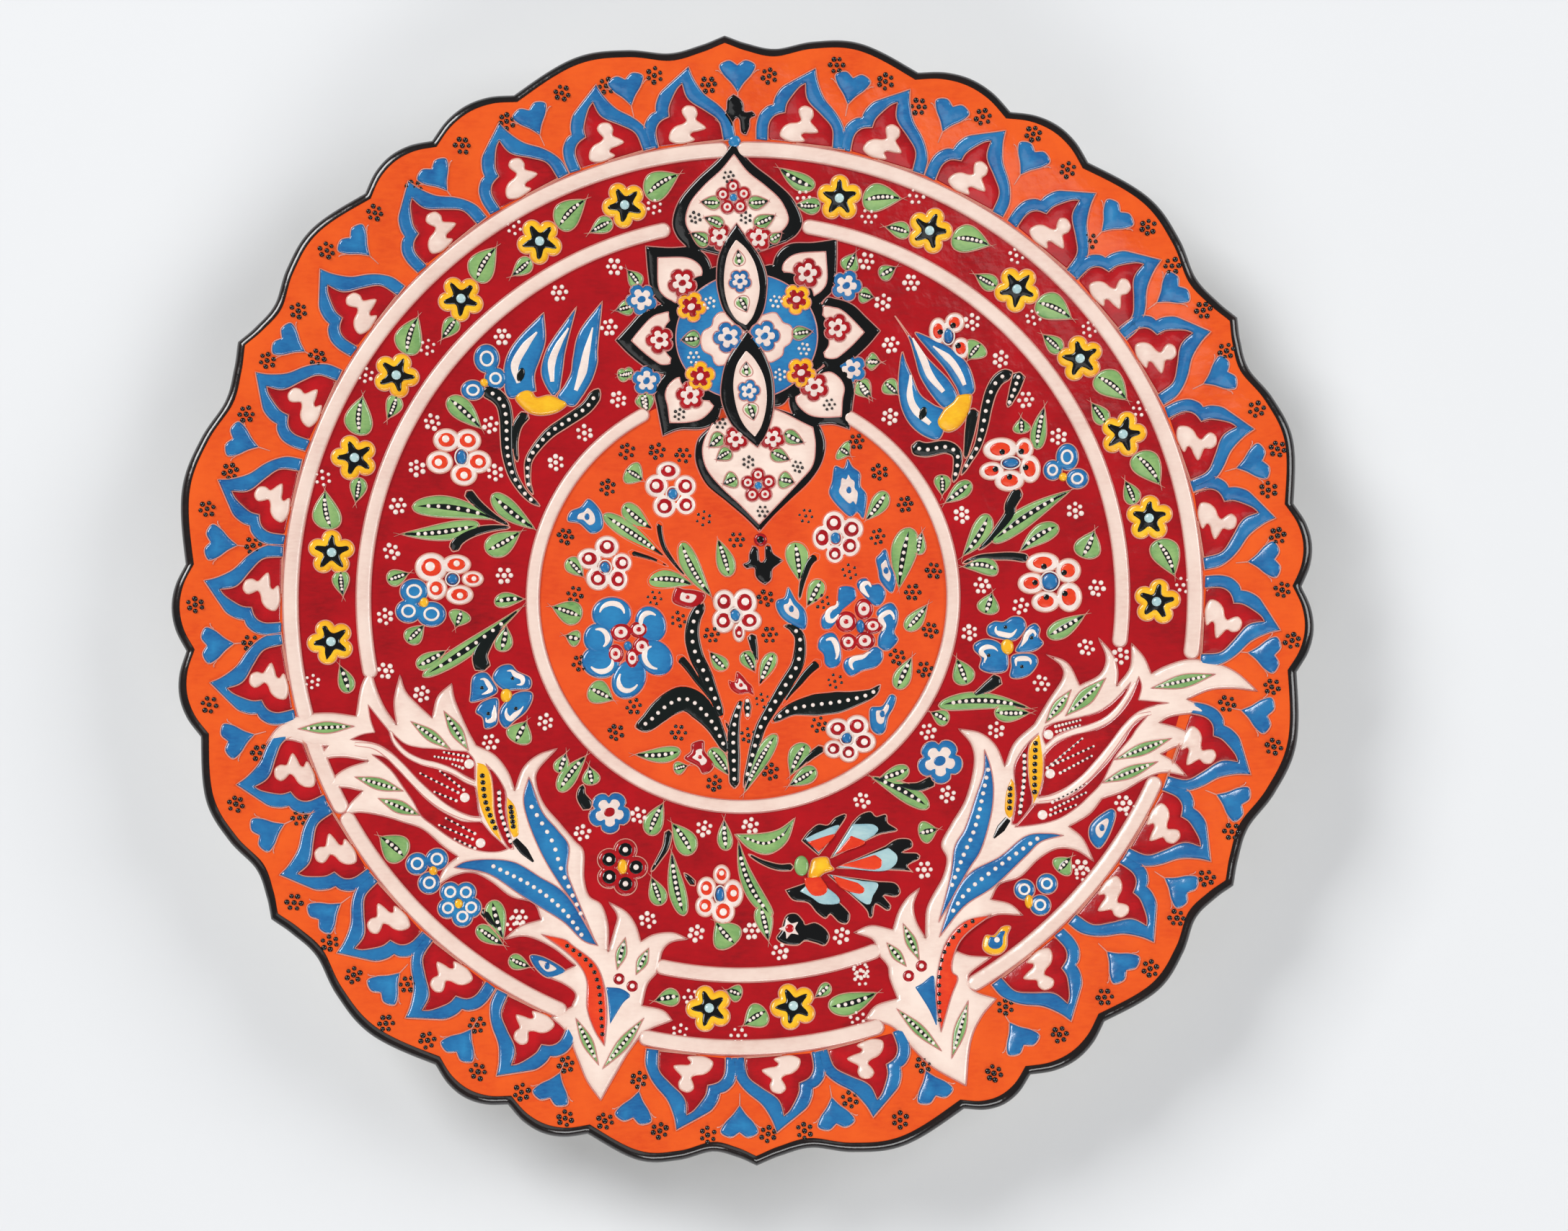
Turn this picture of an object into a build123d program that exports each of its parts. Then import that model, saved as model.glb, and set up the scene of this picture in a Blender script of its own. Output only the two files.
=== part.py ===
from build123d import *
import math
import os

# Hand painted ceramic plate with a scalloped rim: one fired clay body, its glaze grounds and
# banded rings, and the relief enamels laid on them, colour by colour.
# Millimetres. +Z is up along the plate's axis, the foot ring stands on z = 0, and +Y points to
# the top of the painted pattern, where one of the rim's six cusps is.

# ---- driving dimensions ----
BOWL_RADIUS = 536.0          # radius of the sphere that the dished face follows
FACE_HEIGHT = 12.0           # height of the face at the centre of the plate
WALL = 5.5                   # clay thickness of the dish
LIP_RADIUS = 145.5           # where the dish turns into the flatter lip
LIP_SLOPE = math.radians(5)
LIP_WALL = 4.0               # clay thickness at the edge
BLANK_RADIUS = 157.0         # round blank that the scalloped edge is cut from
FOOT_OUTER = 62.0
FOOT_INNER = 54.0
FOOT_DRAFT = 1.5             # how much wider the foot ring is at its root, on each side

CUSP_RADIUS = 151.6          # the six pointed cusps of the rim
DIP_RADIUS = 148.1           # the hollow on each side of a cusp
LOBE_RADIUS = 152.5
NOTCH_RADIUS = 148.8         # the sharp notches between lobes

EDGE_BAND_WIDTH = 1.8        # black band on the face, measured in from the edge
EDGE_BAND_THICK = 0.35
GROUND = 0.3                 # thickness of every glaze ground
RING_HEIGHT = 0.9
RELIEF_1 = 0.8               # top of the first enamel layer above the clay
RELIEF_2 = 1.1               # top of the second, painted on the first
RELIEF_3 = 1.4

OUTER_RING = (119.5, 123.5)  # inner and outer radius of the three cream rings
MIDDLE_RING = (100.5, 104.3)
INNER_RING = (55.4, 58.9)
# Angles between which each ring stands in relief. Elsewhere a motif crosses it.
OUTER_ARCS = [(-9, 87.5), (91, 194), (209, 244.5), (257, 285), (299.5, 332)]
MIDDLE_ARCS = [(-9.5, 78), (101, 190), (256.5, 288.5)]
INNER_ARCS = [(117, 418)]

PRISM_HEIGHT = 60.0          # taller than the plate, for cutting

BOWL_CENTRE = FACE_HEIGHT + BOWL_RADIUS

# Angles of the rim's cusps, counter-clockwise from +X, each with the three notches after it.
SCALLOPS = [
    (27.0, (49.3, 59.0, 69.5)),
    (90.0, (112.8, 122.6, 131.5)),
    (151.8, (175.5, 184.5, 193.5)),
    (213.5, (235.8, 244.2, 252.8)),
    (270.0, (291.5, 299.0, 308.2)),
    (327.0, (349.6, 358.4, 367.0)),
]


# ---- surfaces ----
def height(radius, lift=0.0):
    """Height of the dished face at a radius, or of a surface lifted above it along its normal."""
    return BOWL_CENTRE - math.sqrt((BOWL_RADIUS - lift) ** 2 - radius ** 2)


def polar(angle, radius):
    """Point on the flat plan of the plate, from an angle in degrees and a radius."""
    return (radius * math.cos(math.radians(angle)), radius * math.sin(math.radians(angle)))


def dish_arc(inner, outer, lift):
    """Arc of the dished face's section between two radii."""
    middle = (inner + outer) / 2
    return ThreePointArc(
        (inner, 0, height(inner, lift)),
        (middle, 0, height(middle, lift)),
        (outer, 0, height(outer, lift)),
    )


def band(inner, outer, low, high):
    """Ring-shaped layer of the dish between two radii and two lifts above the clay."""
    bottom = dish_arc(inner, outer, low)
    top = dish_arc(inner, outer, high)
    sides = [Line(bottom @ 0, top @ 0), Line(bottom @ 1, top @ 1)]
    return revolve(make_face([bottom, top] + sides), Axis.Z)


def lip_height(radius, lift):
    """Height of the lip's face beyond the dish."""
    return height(LIP_RADIUS, lift) + (radius - LIP_RADIUS) * math.tan(LIP_SLOPE)


def face_skin(inner, low, high):
    """Layer of the whole face, dish and lip, from one radius out to the edge of the blank."""
    bottom = dish_arc(inner, LIP_RADIUS, low)
    top = dish_arc(inner, LIP_RADIUS, high)
    low_end = (BLANK_RADIUS, 0, lip_height(BLANK_RADIUS, low))
    high_end = (BLANK_RADIUS, 0, lip_height(BLANK_RADIUS, high))
    edges = [bottom, top, Line(bottom @ 0, top @ 0), Line(bottom @ 1, low_end)]
    edges += [Line(top @ 1, high_end), Line(low_end, high_end)]
    return revolve(make_face(edges), Axis.Z)


def body_blank(grow):
    """Round dish before its edge is cut, grown by a thickness all over."""
    top = dish_arc(0, LIP_RADIUS, grow)
    bottom = dish_arc(0, LIP_RADIUS, -WALL - grow)
    top_end = (BLANK_RADIUS, 0, lip_height(BLANK_RADIUS, grow))
    bottom_end = (BLANK_RADIUS, 0, lip_height(BLANK_RADIUS, 0) - LIP_WALL - grow)
    edges = [top, bottom, Line(top @ 0, bottom @ 0), Line(top @ 1, top_end)]
    edges += [Line(bottom @ 1, bottom_end), Line(top_end, bottom_end)]
    return revolve(make_face(edges), Axis.Z)


# ---- outlines ----
def outline(stretches):
    """Closed outline of smooth stretches. Each starts at a corner, where the last one ends."""
    edges = []
    for index, stretch in enumerate(stretches):
        points = stretch + [stretches[(index + 1) % len(stretches)][0]]
        if len(points) == 2:
            edges.append(Line(*points))
        elif len(points) == 3:
            edges.append(ThreePointArc(*points))
        else:
            edges.append(Spline(*points))
    return make_face(edges)


def polygon(stretches):
    """Closed outline with straight edges, for the many-pointed shapes."""
    points = [point for stretch in stretches for point in stretch]
    return make_face(Polyline(*points, close=True))


def scallop_outline(inset):
    """The rim's outline, drawn in by an inset."""
    def place(angle, radius):
        return polar(angle, radius - inset)

    def long_lobe(cusp, notch):
        """Cusp, the hollow beside it and the shoulder and crown of the lobe up to a notch."""
        span = notch - cusp
        return [
            place(cusp, CUSP_RADIUS),
            place(cusp + 0.11 * span, CUSP_RADIUS - 2.2),
            place(cusp + 0.26 * span, DIP_RADIUS),
            place(cusp + 0.45 * span, LOBE_RADIUS - 1.5),
            place(cusp + 0.68 * span, LOBE_RADIUS),
        ]

    stretches = []
    for index, (cusp, notches) in enumerate(SCALLOPS):
        first, second, third = notches
        following = SCALLOPS[(index + 1) % len(SCALLOPS)][0] + 360 * (index == len(SCALLOPS) - 1)
        stretches.append(long_lobe(cusp, first))
        for start, end in ((first, second), (second, third)):
            stretches.append([
                place(start, NOTCH_RADIUS),
                place((start + end) / 2, LOBE_RADIUS - 0.3),
            ])
        crown = long_lobe(following, third)[1:]
        stretches.append([place(third, NOTCH_RADIUS)] + crown[::-1])
    return outline(stretches)


def leaf(start, end, width):
    """Pointed leaf between two points."""
    (x1, y1), (x2, y2) = start, end
    length = math.hypot(x2 - x1, y2 - y1)
    side = (-(y2 - y1) / length * width / 2, (x2 - x1) / length * width / 2)
    middle = ((x1 + x2) / 2, (y1 + y2) / 2)
    left = (middle[0] + side[0], middle[1] + side[1])
    right = (middle[0] - side[0], middle[1] - side[1])
    return make_face([ThreePointArc(start, left, end), ThreePointArc(end, right, start)])


def disc(centre, radius):
    """Round spot of paint."""
    return Pos(*centre) * Circle(radius).face()


def star(centre, turn, outer, inner, points=5):
    """Star with straight sides."""
    corners = []
    for index in range(2 * points):
        angle = turn + index * 180 / points
        dx, dy = polar(angle, outer if index % 2 == 0 else inner)
        corners.append((centre[0] + dx, centre[1] + dy))
    return make_face(Polyline(*corners, close=True))


def ring_of_discs(centre, turn, count, distance, radius):
    """Discs spaced evenly round a centre."""
    discs = []
    for index in range(count):
        dx, dy = polar(turn + index * 360 / count, distance)
        discs.append(disc((centre[0] + dx, centre[1] + dy), radius))
    return discs


# ---- solids ----
def normal_plane(x, y, lift):
    """Plane square to the plate's face at a point, raised above the clay by a lift."""
    distance = math.hypot(x, y)
    if distance < LIP_RADIUS:
        origin = Vector(x, y, height(distance))
        normal = (Vector(0, 0, BOWL_CENTRE) - origin).normalized()
    else:
        origin = Vector(x, y, lip_height(distance, 0))
        slope = math.sin(LIP_SLOPE) / distance
        normal = Vector(-x * slope, -y * slope, math.cos(LIP_SLOPE))
    return Plane(origin + normal * lift, x_dir=(1, 0, -normal.X / normal.Z), z_dir=normal)


def layer(faces, low, high):
    """Flat slabs of enamel, one for each outline, tangent to the dish and within two lifts."""
    solids = []
    for face in faces:
        box = face.bounding_box()
        middle = box.center()
        sag = (box.diagonal / 2) ** 2 / (2 * BOWL_RADIUS) + 0.005
        plane = normal_plane(middle.X, middle.Y, low + sag)
        slab = extrude(Pos(-middle.X, -middle.Y) * face, high - low - sag)
        solids += (plane * slab).solids()
    return solids


def draped(faces, low, high):
    """Broad areas of enamel that follow the dish's curve between two lifts above the clay."""
    skin = band(0, LIP_RADIUS, low, high)
    solids = []
    for face in faces:
        solids += (skin & extrude(face, PRISM_HEIGHT)).solids()
    return solids


def apart(faces, claimed):
    """The outlines less what is already painted, leaving a hair's breadth between them."""
    kept = []
    for face in faces:
        box = face.bounding_box()
        for other in claimed:
            near = other.bounding_box()
            if near.min.X > box.max.X or near.max.X < box.min.X:
                continue
            if near.min.Y > box.max.Y or near.max.Y < box.min.Y:
                continue
            face = face - other
            if face is None or not face.faces():
                break
        if face is not None:
            kept += [piece for piece in face.faces() if piece.area > 1.0]
    return kept


def beads(spots, radius, lift, thickness):
    """Small round dots of enamel, each square to the face below it."""
    solids = []
    for x, y in spots:
        solids += (normal_plane(x, y, lift) * extrude(Circle(radius), thickness)).solids()
    return solids


def rosette_face(centre, reach, radius):
    """Outline of a rosette: six dabs of the brush that run together round a middle one."""
    corners = []
    for step in range(6):
        corners.append([
            centre_point(centre, 60 * step - 30, 0.72 * (reach + radius)),
            centre_point(centre, 60 * step, reach + radius),
        ])
    return outline(corners)


def centre_point(centre, angle, distance):
    """Point at an angle and distance from a centre."""
    dx, dy = polar(angle, distance)
    return (centre[0] + dx, centre[1] + dy)


def rosettes(centres, reach, radius, claimed=()):
    """Rosettes at the given centres, but none where something else is painted."""
    faces = []
    for centre in centres:
        face = rosette_face(centre, reach, radius)
        if len(apart([face], claimed)) == 1:
            faces += apart([face], claimed)
    return layer(faces, GROUND, RELIEF_1)


def save(name, solids):
    """Write one node."""
    export_step(Compound(children=list(solids)), f"parts/{name}.step")


# ---- clay body, grounds and rings ----
def clay_body():
    """Dished body with its scalloped edge."""
    return (body_blank(0) & extrude(scallop_outline(0), PRISM_HEIGHT)).solids()


def foot_ring():
    """Turned foot ring that the body stands on, cut to meet the dish's underside."""
    root_inner = FOOT_INNER - FOOT_DRAFT
    root_outer = FOOT_OUTER + FOOT_DRAFT
    section = Polyline(
        (FOOT_INNER, 0, 0),
        (FOOT_OUTER, 0, 0),
        (root_outer, 0, height(root_outer, -WALL) + 1),
        (root_inner, 0, height(root_inner, -WALL) + 1),
        close=True,
    )
    return (revolve(make_face(section), Axis.Z) - body_blank(0)).solids()


def edge_band():
    """Black glaze wrapped over the edge of the body."""
    outside = extrude(scallop_outline(-EDGE_BAND_THICK), PRISM_HEIGHT)
    inside = extrude(scallop_outline(EDGE_BAND_WIDTH), PRISM_HEIGHT)
    body = body_blank(0) & extrude(scallop_outline(0), PRISM_HEIGHT)
    return ((body_blank(EDGE_BAND_THICK) & outside) - inside - body).solids()


def back_glaze():
    """Clear glaze under the dish, outside the foot ring and inside it."""
    inner = FOOT_OUTER + FOOT_DRAFT + 0.5
    top = dish_arc(inner, LIP_RADIUS, -WALL)
    bottom = dish_arc(inner, LIP_RADIUS, -WALL - GROUND)
    lip = lip_height(BLANK_RADIUS, 0) - LIP_WALL
    top_end = (BLANK_RADIUS, 0, lip)
    bottom_end = (BLANK_RADIUS, 0, lip - GROUND)
    edges = [top, bottom, Line(top @ 0, bottom @ 0), Line(top @ 1, top_end)]
    edges += [Line(bottom @ 1, bottom_end), Line(top_end, bottom_end)]
    outside = revolve(make_face(edges), Axis.Z)
    outside = outside & extrude(scallop_outline(EDGE_BAND_WIDTH), PRISM_HEIGHT)
    inside = band(0, FOOT_INNER - FOOT_DRAFT - 0.5, -WALL - GROUND, -WALL)
    return outside.solids() + inside.solids()


def sector(radii, start, end, low, high):
    """Part of a ring-shaped layer between two angles."""
    bottom = dish_arc(*radii, low)
    top = dish_arc(*radii, high)
    sides = [Line(bottom @ 0, top @ 0), Line(bottom @ 1, top @ 1)]
    section = Rot(0, 0, start) * make_face([bottom, top] + sides)
    return revolve(section, Axis.Z, end - start)


def cream_ring(radii, arcs):
    """Banded ring, flush with the grounds all round and raised in relief along some arcs."""
    solids = band(*radii, 0, GROUND).solids()
    for start, end in arcs:
        solids += sector(radii, start, end, GROUND, RING_HEIGHT).solids()
    return solids


# ---- rim ----
PALMETTE_ANGLES = [
    6, 15.8, 27.3, 36.7, 46.8, 58.7, 70, 80.5, 94.3, 104.5, 115.8, 127.5, 141, 154.2, 166.5,
    177.5, 188.5, 199.8, 210.5, 220.8, 230.8, 242.2, 262, 272.5, 282.7, 305.8, 317.8, 328.2,
    338.3, 354,
]
# Outlines of a palmette as degrees ahead of its tip and radius.
PALMETTE_BAND = [
    [(6.0, 124.2), (6.3, 127.5), (5.8, 130.6)],
    [(4.6, 132.8), (4.4, 135.5), (3.7, 138.5), (2.3, 141.3)],
    [(-0.2, 144.2), (-0.6, 141.0), (-1.6, 137.8), (-3.0, 134.5), (-4.4, 131.3), (-4.9, 128.0)],
    [(-4.8, 124.2)],
    [(-3.8, 124.2), (-3.6, 128.7), (-2.5, 132.1), (-0.9, 135.3), (0.3, 137.8)],
    [(0.9, 139.6), (1.8, 138.4), (2.8, 135.8)],
    [(3.0, 132.4), (4.3, 131.0), (4.8, 128.4)],
    [(4.7, 124.2)],
]
PALMETTE_HEART = [
    [(4.0, 124.6), (4.1, 127.9), (3.6, 130.4)],
    [(2.4, 131.8), (2.1, 135.2), (1.5, 137.4)],
    [(0.9, 138.4), (0.4, 136.8), (-0.8, 134.4), (-2.2, 131.2), (-3.0, 128.2)],
    [(-3.1, 124.6)],
]
PALMETTE_CLOUD = [
    [(2.4, 124.9), (2.9, 127.0), (1.7, 129.0), (0.4, 130.2), (0.6, 132.6), (-0.3, 133.4),
     (-1.2, 131.8), (-0.9, 129.8), (-2.2, 128.0), (-1.4, 126.6), (-0.2, 126.8)],
    [(-0.2, 124.9)],
]
HEARTS = [
    (88.7, 142), (76, 141.5), (64.7, 142), (54.5, 141.5), (43.2, 142.6), (33, 141.8),
    (22.3, 141.5), (12, 142), (1.3, 141), (173, 141.5), (161.5, 141.5), (149.3, 140.5),
    (136, 141.8), (124.4, 141.2), (112, 142), (101, 141.8), (268.3, 142), (257, 141),
    (248, 142), (237, 142), (226.8, 141.5), (216.5, 140.5), (205.5, 142), (194.8, 141),
    (184.2, 142), (351, 141.5), (344.5, 142.3), (334.7, 142.5), (323.8, 141.5), (313.4, 142),
    (300, 140.5), (289.3, 142), (278.5, 142),
]
# A heart as degrees ahead of its middle and radius from its middle.
HEART = [
    [(0.0, 1.6), (1.0, 2.7), (1.9, 1.4), (1.5, -0.8), (0.6, -3.0)],
    [(0.0, -5.0), (-0.6, -3.0), (-1.5, -0.8), (-1.9, 1.4), (-1.0, 2.7)],
]
RIM_ROSETTES = [
    (85.2, 140.8), (78, 145.3), (72.5, 144), (68.2, 140.3), (61.3, 144.3), (55.7, 146.3),
    (50.5, 144), (40, 146.6), (43.5, 133.2), (35.2, 144.8), (29.4, 145), (24.4, 145),
    (17.4, 146), (12.8, 147.6), (8.8, 143.2), (3.8, 143.7), (172.8, 132), (169.5, 145),
    (165, 141.2), (158.5, 141.8), (152.2, 142.5), (149.2, 131.5), (145.8, 142),
    (138.7, 145.3), (132.2, 143.2), (127.2, 141.5), (120.2, 143.3), (114.7, 143.3),
    (108, 144.5), (103.2, 142.8), (97.8, 142.8), (92, 138.7), (265, 144.3), (260, 144.5),
    (256.7, 132.5), (254.2, 144.8), (250.2, 146.6), (248.3, 134), (245, 144.8), (240, 145),
    (237.3, 134.8), (233.8, 145), (229.3, 147.2), (228.3, 136.8), (223.4, 144.5),
    (219.2, 143.5), (213.5, 144.5), (205.6, 132.3), (201.4, 145.7), (197, 135.5),
    (190.5, 145), (184.3, 132.3), (180.8, 145.6), (358, 144), (352.7, 146.8),
    (347.6, 143.3), (344.9, 133), (341.5, 147.2), (331.7, 145), (326.2, 145),
    (321, 144.5), (315.2, 147), (309.8, 144.5), (303.7, 144.7), (300.6, 131),
    (295.8, 144.3), (289.3, 134.7), (285, 146.3), (280.4, 138), (275.1, 144), (271.3, 144),
]

# ---- border between the outer and middle rings ----
BORDER_RADIUS = 111.5
BORDER_FLOWERS = [
    105, 118, 131.7, 145.8, 158.8, 172.5, 184.7, 74.5, 61, 46.2, 33, 20.8, 8.5, 356.8,
    275.2, 264,
]
LEAFY_FLOWERS = [105, 118, 131.7, 145.8, 158.8, 172.5, 74.5, 61, 46.2, 33, 20.8, 8.5]
BORDER_LEAVES = [
    ((-20, -108), (-25.5, -109.5), 4), ((-1.2, -107), (-7, -106.5), 3.6),
    ((4.5, -111.5), (-2, -115.5), 4.5), ((18, -111.5), (30, -106), 4),
    ((17, -108.5), (21, -105), 3), ((-106.5, -14), (-106.8, -24), 4.4),
    ((114.5, -8), (111, -14), 4), ((-51, -101), (-55, -104.5), 2.4),
]
BORDER_ROSETTES = [
    (79.5, 109.8), (64.6, 118), (69.8, 108.8), (49.2, 118), (35.5, 117.8), (41.8, 109),
    (23, 117.8), (162.8, 117.6), (148, 117.8), (140, 109.2), (120, 117.8), (101, 109),
    (268, 117.8), (260.5, 117.6), (261.3, 109), (234, 107.5), (190, 117.8), (359, 117.8),
    (328.8, 117.8), (318.5, 117.8), (283.5, 117.6), (285.5, 108),
]

# ---- pendant that hangs from the top of the rim into the medallion ----
DISC_CENTRE = (3.3, 71.8)
UPPER_PANEL = [
    [(-12.3, 95.9), (-15.6, 99.5), (-15.9, 103.5), (-13.5, 109), (-8.5, 114.3), (-3.2, 119)],
    [(1.5, 124), (6.2, 118.2), (12, 113), (17, 108.3), (19.4, 102), (18, 98.6)],
    [(14.9, 96.4)],
]
LOWER_PANEL = [
    [(-8, 47.5), (-11.2, 44), (-12.2, 40), (-10.5, 34), (-5.5, 28), (1, 22)],
    [(5.2, 17.6), (10, 22.6), (17, 29), (22.3, 35.5), (23.8, 41)],
    [(22.6, 47)],
]
PETAL_ANGLES = (44.5, 137.5, 181.5, 0.5, 227.3, 317.7)
# A pendant petal as degrees from its middle and radius from the centre of the blue disc.
PETAL = [
    [(-20, 22.2), (-21.5, 26), (-16, 30.5), (-7, 32.6)],
    [(0, 36.3), (7, 32.6), (16, 30.5), (21.5, 26)],
    [(20, 22.2)],
]
FINIAL = [
    [(3, 14.3), (1.9, 10.8), (0.2, 8.9), (3.3, 7.6), (6.1, 3.5), (8.4, 7.6), (11.3, 9.9),
     (9.2, 11.4), (7.9, 14.3)],
]

# ---- sprays at the lower left and right ----
LEFT_SPRAY = [
    [(-100.7, -17), (-103.2, -22)],
    [(-104.6, -30), (-112, -29), (-120, -29.8), (-125, -32.8)],
    [(-128, -37), (-122, -36.2), (-116, -38)],
    [(-112, -38), (-114.3, -40.2)],
    [(-116, -43), (-113, -41.5), (-108, -41)],
    [(-101.5, -42.2), (-107, -44), (-110.5, -46.5)],
    [(-112.5, -49.8), (-108, -49.2)],
    [(-103, -50.3), (-106.5, -54)],
    [(-108.5, -58), (-104.5, -56), (-98, -57), (-92, -59), (-87, -61), (-82, -65.5)],
    [(-78, -68.5), (-81.5, -71.5)],
    [(-83.7, -76.5), (-79, -73.6), (-74, -72.9), (-69, -75.5), (-64, -79.5), (-58, -81.5)],
    [(-56, -86), (-61.5, -87.6)],
    [(-66, -91), (-60, -90.3), (-53, -93.5)],
    [(-47, -98.5)],
    [(-54, -101.5), (-50, -103.3), (-47, -106)],
    [(-48, -109.3)],
    [(-53.5, -112), (-49.5, -116), (-46.5, -123), (-44, -129)],
    [(-40.5, -134), (-37, -128), (-33, -121.5), (-28.5, -116.5)],
    [(-21.5, -113.7), (-24, -111)],
    [(-29.5, -109.6), (-28, -104), (-25.2, -100.5), (-24, -95.5), (-21.5, -93)],
    [(-17, -92.3), (-21, -90.5), (-26, -90.8)],
    [(-29.6, -92.6), (-31, -88), (-33.5, -84.5)],
    [(-38, -81.8), (-35.8, -85.5), (-36.5, -89)],
    [(-38.3, -95), (-38.3, -88), (-40, -82.5), (-43.3, -80), (-44.6, -75), (-44.6, -68),
     (-47, -65), (-51, -60), (-55, -55), (-57, -49.5), (-56.5, -45.5)],
    [(-51.3, -39.8), (-56.5, -41.5), (-60.5, -45)],
    [(-62.8, -51), (-64.5, -46), (-68, -41.3)],
    [(-73, -38.5), (-75.5, -33.5), (-78.5, -26)],
    [(-79.3, -21.5), (-83, -25)],
    [(-84.6, -30.8), (-88.5, -27), (-91.5, -23.5)],
    [(-93, -19), (-94.6, -26)],
    [(-94, -32.5), (-97, -28), (-99.3, -22.5)],
]
RIGHT_SPRAY = [
    [(104.2, -17), (107.3, -21)],
    [(109, -25.5), (113, -23.6), (119, -22.2), (125, -23.2), (131, -26.3)],
    [(136.3, -31.7), (130, -30.6), (124, -30.7)],
    [(118, -32.9), (121.8, -35)],
    [(124, -38), (119, -36.8), (113.5, -37.3)],
    [(110.5, -38.8), (115, -40.3), (118.5, -42.4)],
    [(121.3, -46), (115, -45.4)],
    [(110.5, -47.2), (113.8, -49.5)],
    [(117, -53.5), (111, -52.2), (106, -53.6), (100, -56.8)],
    [(94.5, -58.5), (91, -62.5)],
    [(85.5, -65.6), (89, -69)],
    [(91.6, -75.2), (87, -72), (82, -71.4), (77, -74), (72, -78.5), (66.5, -80.3)],
    [(64, -84.3), (69, -85.7)],
    [(72.3, -88.8), (65, -88.5), (58.5, -92)],
    [(53.5, -97.3), (57.5, -99)],
    [(63.5, -99.6), (58.5, -103)],
    [(57.2, -104.5), (58.5, -108.3)],
    [(64.3, -110.6), (60, -115.5), (57, -122)],
    [(55.4, -133), (47, -128), (41, -122), (36.5, -117)],
    [(29.5, -115), (32.5, -111.5)],
    [(38.3, -109.8), (36.5, -104.5), (36, -101), (33.3, -97.5), (32.3, -94)],
    [(27.3, -91.9), (32, -90.2)],
    [(37.7, -91.5), (39.5, -86.5), (42, -83)],
    [(45.2, -80.6), (43.4, -85), (44, -89.5)],
    [(46.3, -94), (46.8, -87), (48.5, -83), (51.5, -78), (52.8, -73), (51.5, -69),
     (54.5, -63.5), (58.5, -57), (61, -48), (60.5, -42.5)],
    [(57.2, -38), (63, -39.4), (67, -43)],
    [(69.2, -48.7), (72, -42.5)],
    [(77.5, -37.7), (81.5, -31.5), (85.6, -25.5), (85.2, -22)],
    [(81.5, -18.9), (87, -21.5)],
    [(90, -27.7), (95.5, -25), (97.3, -20.5)],
    [(95.5, -15), (99, -19.5), (100.2, -24)],
    [(99.8, -28.3), (103.5, -23.5)],
]
SPRAY_RED = [
    [[(-96, -34.5), (-88, -39.3), (-79, -40.4)], [(-74, -44.5)], [(-73.8, -47.3), (-85, -42)]],
    [[(-100, -40), (-93, -43.8), (-82, -47)], [(-73, -50.3)], [(-72.6, -58), (-82, -55.8)]],
    [[(-100.5, -41.5), (-93, -47), (-86, -54.8), (-78, -59.6)], [(-71.5, -60.3)],
     [(-63.5, -67), (-76, -66.8), (-88, -57)]],
    [[(101, -35.2), (92, -38), (84, -39.3)], [(80.3, -42.5), (90, -40.4)]],
    [[(102, -38.5), (93, -41.3), (84, -44)], [(80.5, -47)], [(80, -57), (89, -53.5)]],
    [[(101, -43), (92, -52), (84, -57.8)], [(77, -59.7)], [(71, -65), (82, -64.5), (93, -57)]],
]
SPRAY_BLUE = [
    [[(-59, -47.5), (-57.5, -52), (-51.5, -62), (-48.3, -67), (-48.8, -74)],
     [(-41.5, -93), (-51.5, -76.5), (-58.5, -63.5), (-60.4, -53)]],
    [[(-78.5, -71.5), (-70, -69.7), (-60, -74), (-52, -77.5)], [(-42, -94.5), (-51, -86.5)],
     [(-56, -83), (-65, -77), (-72, -73)]],
    [[(64.2, -44.5), (66, -53), (65.3, -61.5), (61.5, -71.5)],
     [(50.5, -89.5), (54.6, -74), (57, -64.5), (63, -53.5)]],
    [[(83.5, -68.3), (74, -68), (66, -73.6), (59, -77.5)], [(51.5, -90.5), (61, -83.5)],
     [(66, -78.7), (75, -72.6)]],
    [[(-38.8, -104.8), (-34.8, -105.6)], [(-33, -107.2), (-35, -111)], [(-38.3, -114)]],
    [[(43.3, -107.3)], [(47.6, -104.3), (48.3, -110)], [(48.3, -117.5), (46.4, -112.8)]],
]
SPRAY_YELLOW = [
    [[(-72.7, -43.5), (-69.2, -49), (-68.4, -57)], [(-67, -64.3), (-71, -57.5), (-72.4, -50)]],
    [[(-65.3, -52.5), (-62.5, -58.5)], [(-62.3, -63.5), (-64.6, -58.5)]],
    [[(78.7, -39.8), (79, -49)], [(76, -58.6), (75.1, -49.5)]],
    [[(70.8, -52), (71.4, -57)], [(70, -62.5)], [(69, -62), (69, -57)]],
]
SPRAY_ORANGE = [
    [[(-55.5, -90.2), (-47, -93.8), (-41, -100), (-39.3, -110)],
     [(-39.8, -120), (-43.6, -111), (-43.8, -103), (-48, -96)]],
    [[(64, -88.7), (56, -91), (50.5, -99), (49, -109)], [(49.8, -119.5)],
     [(53.5, -106), (53, -101.5), (56.5, -94)]],
]
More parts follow.
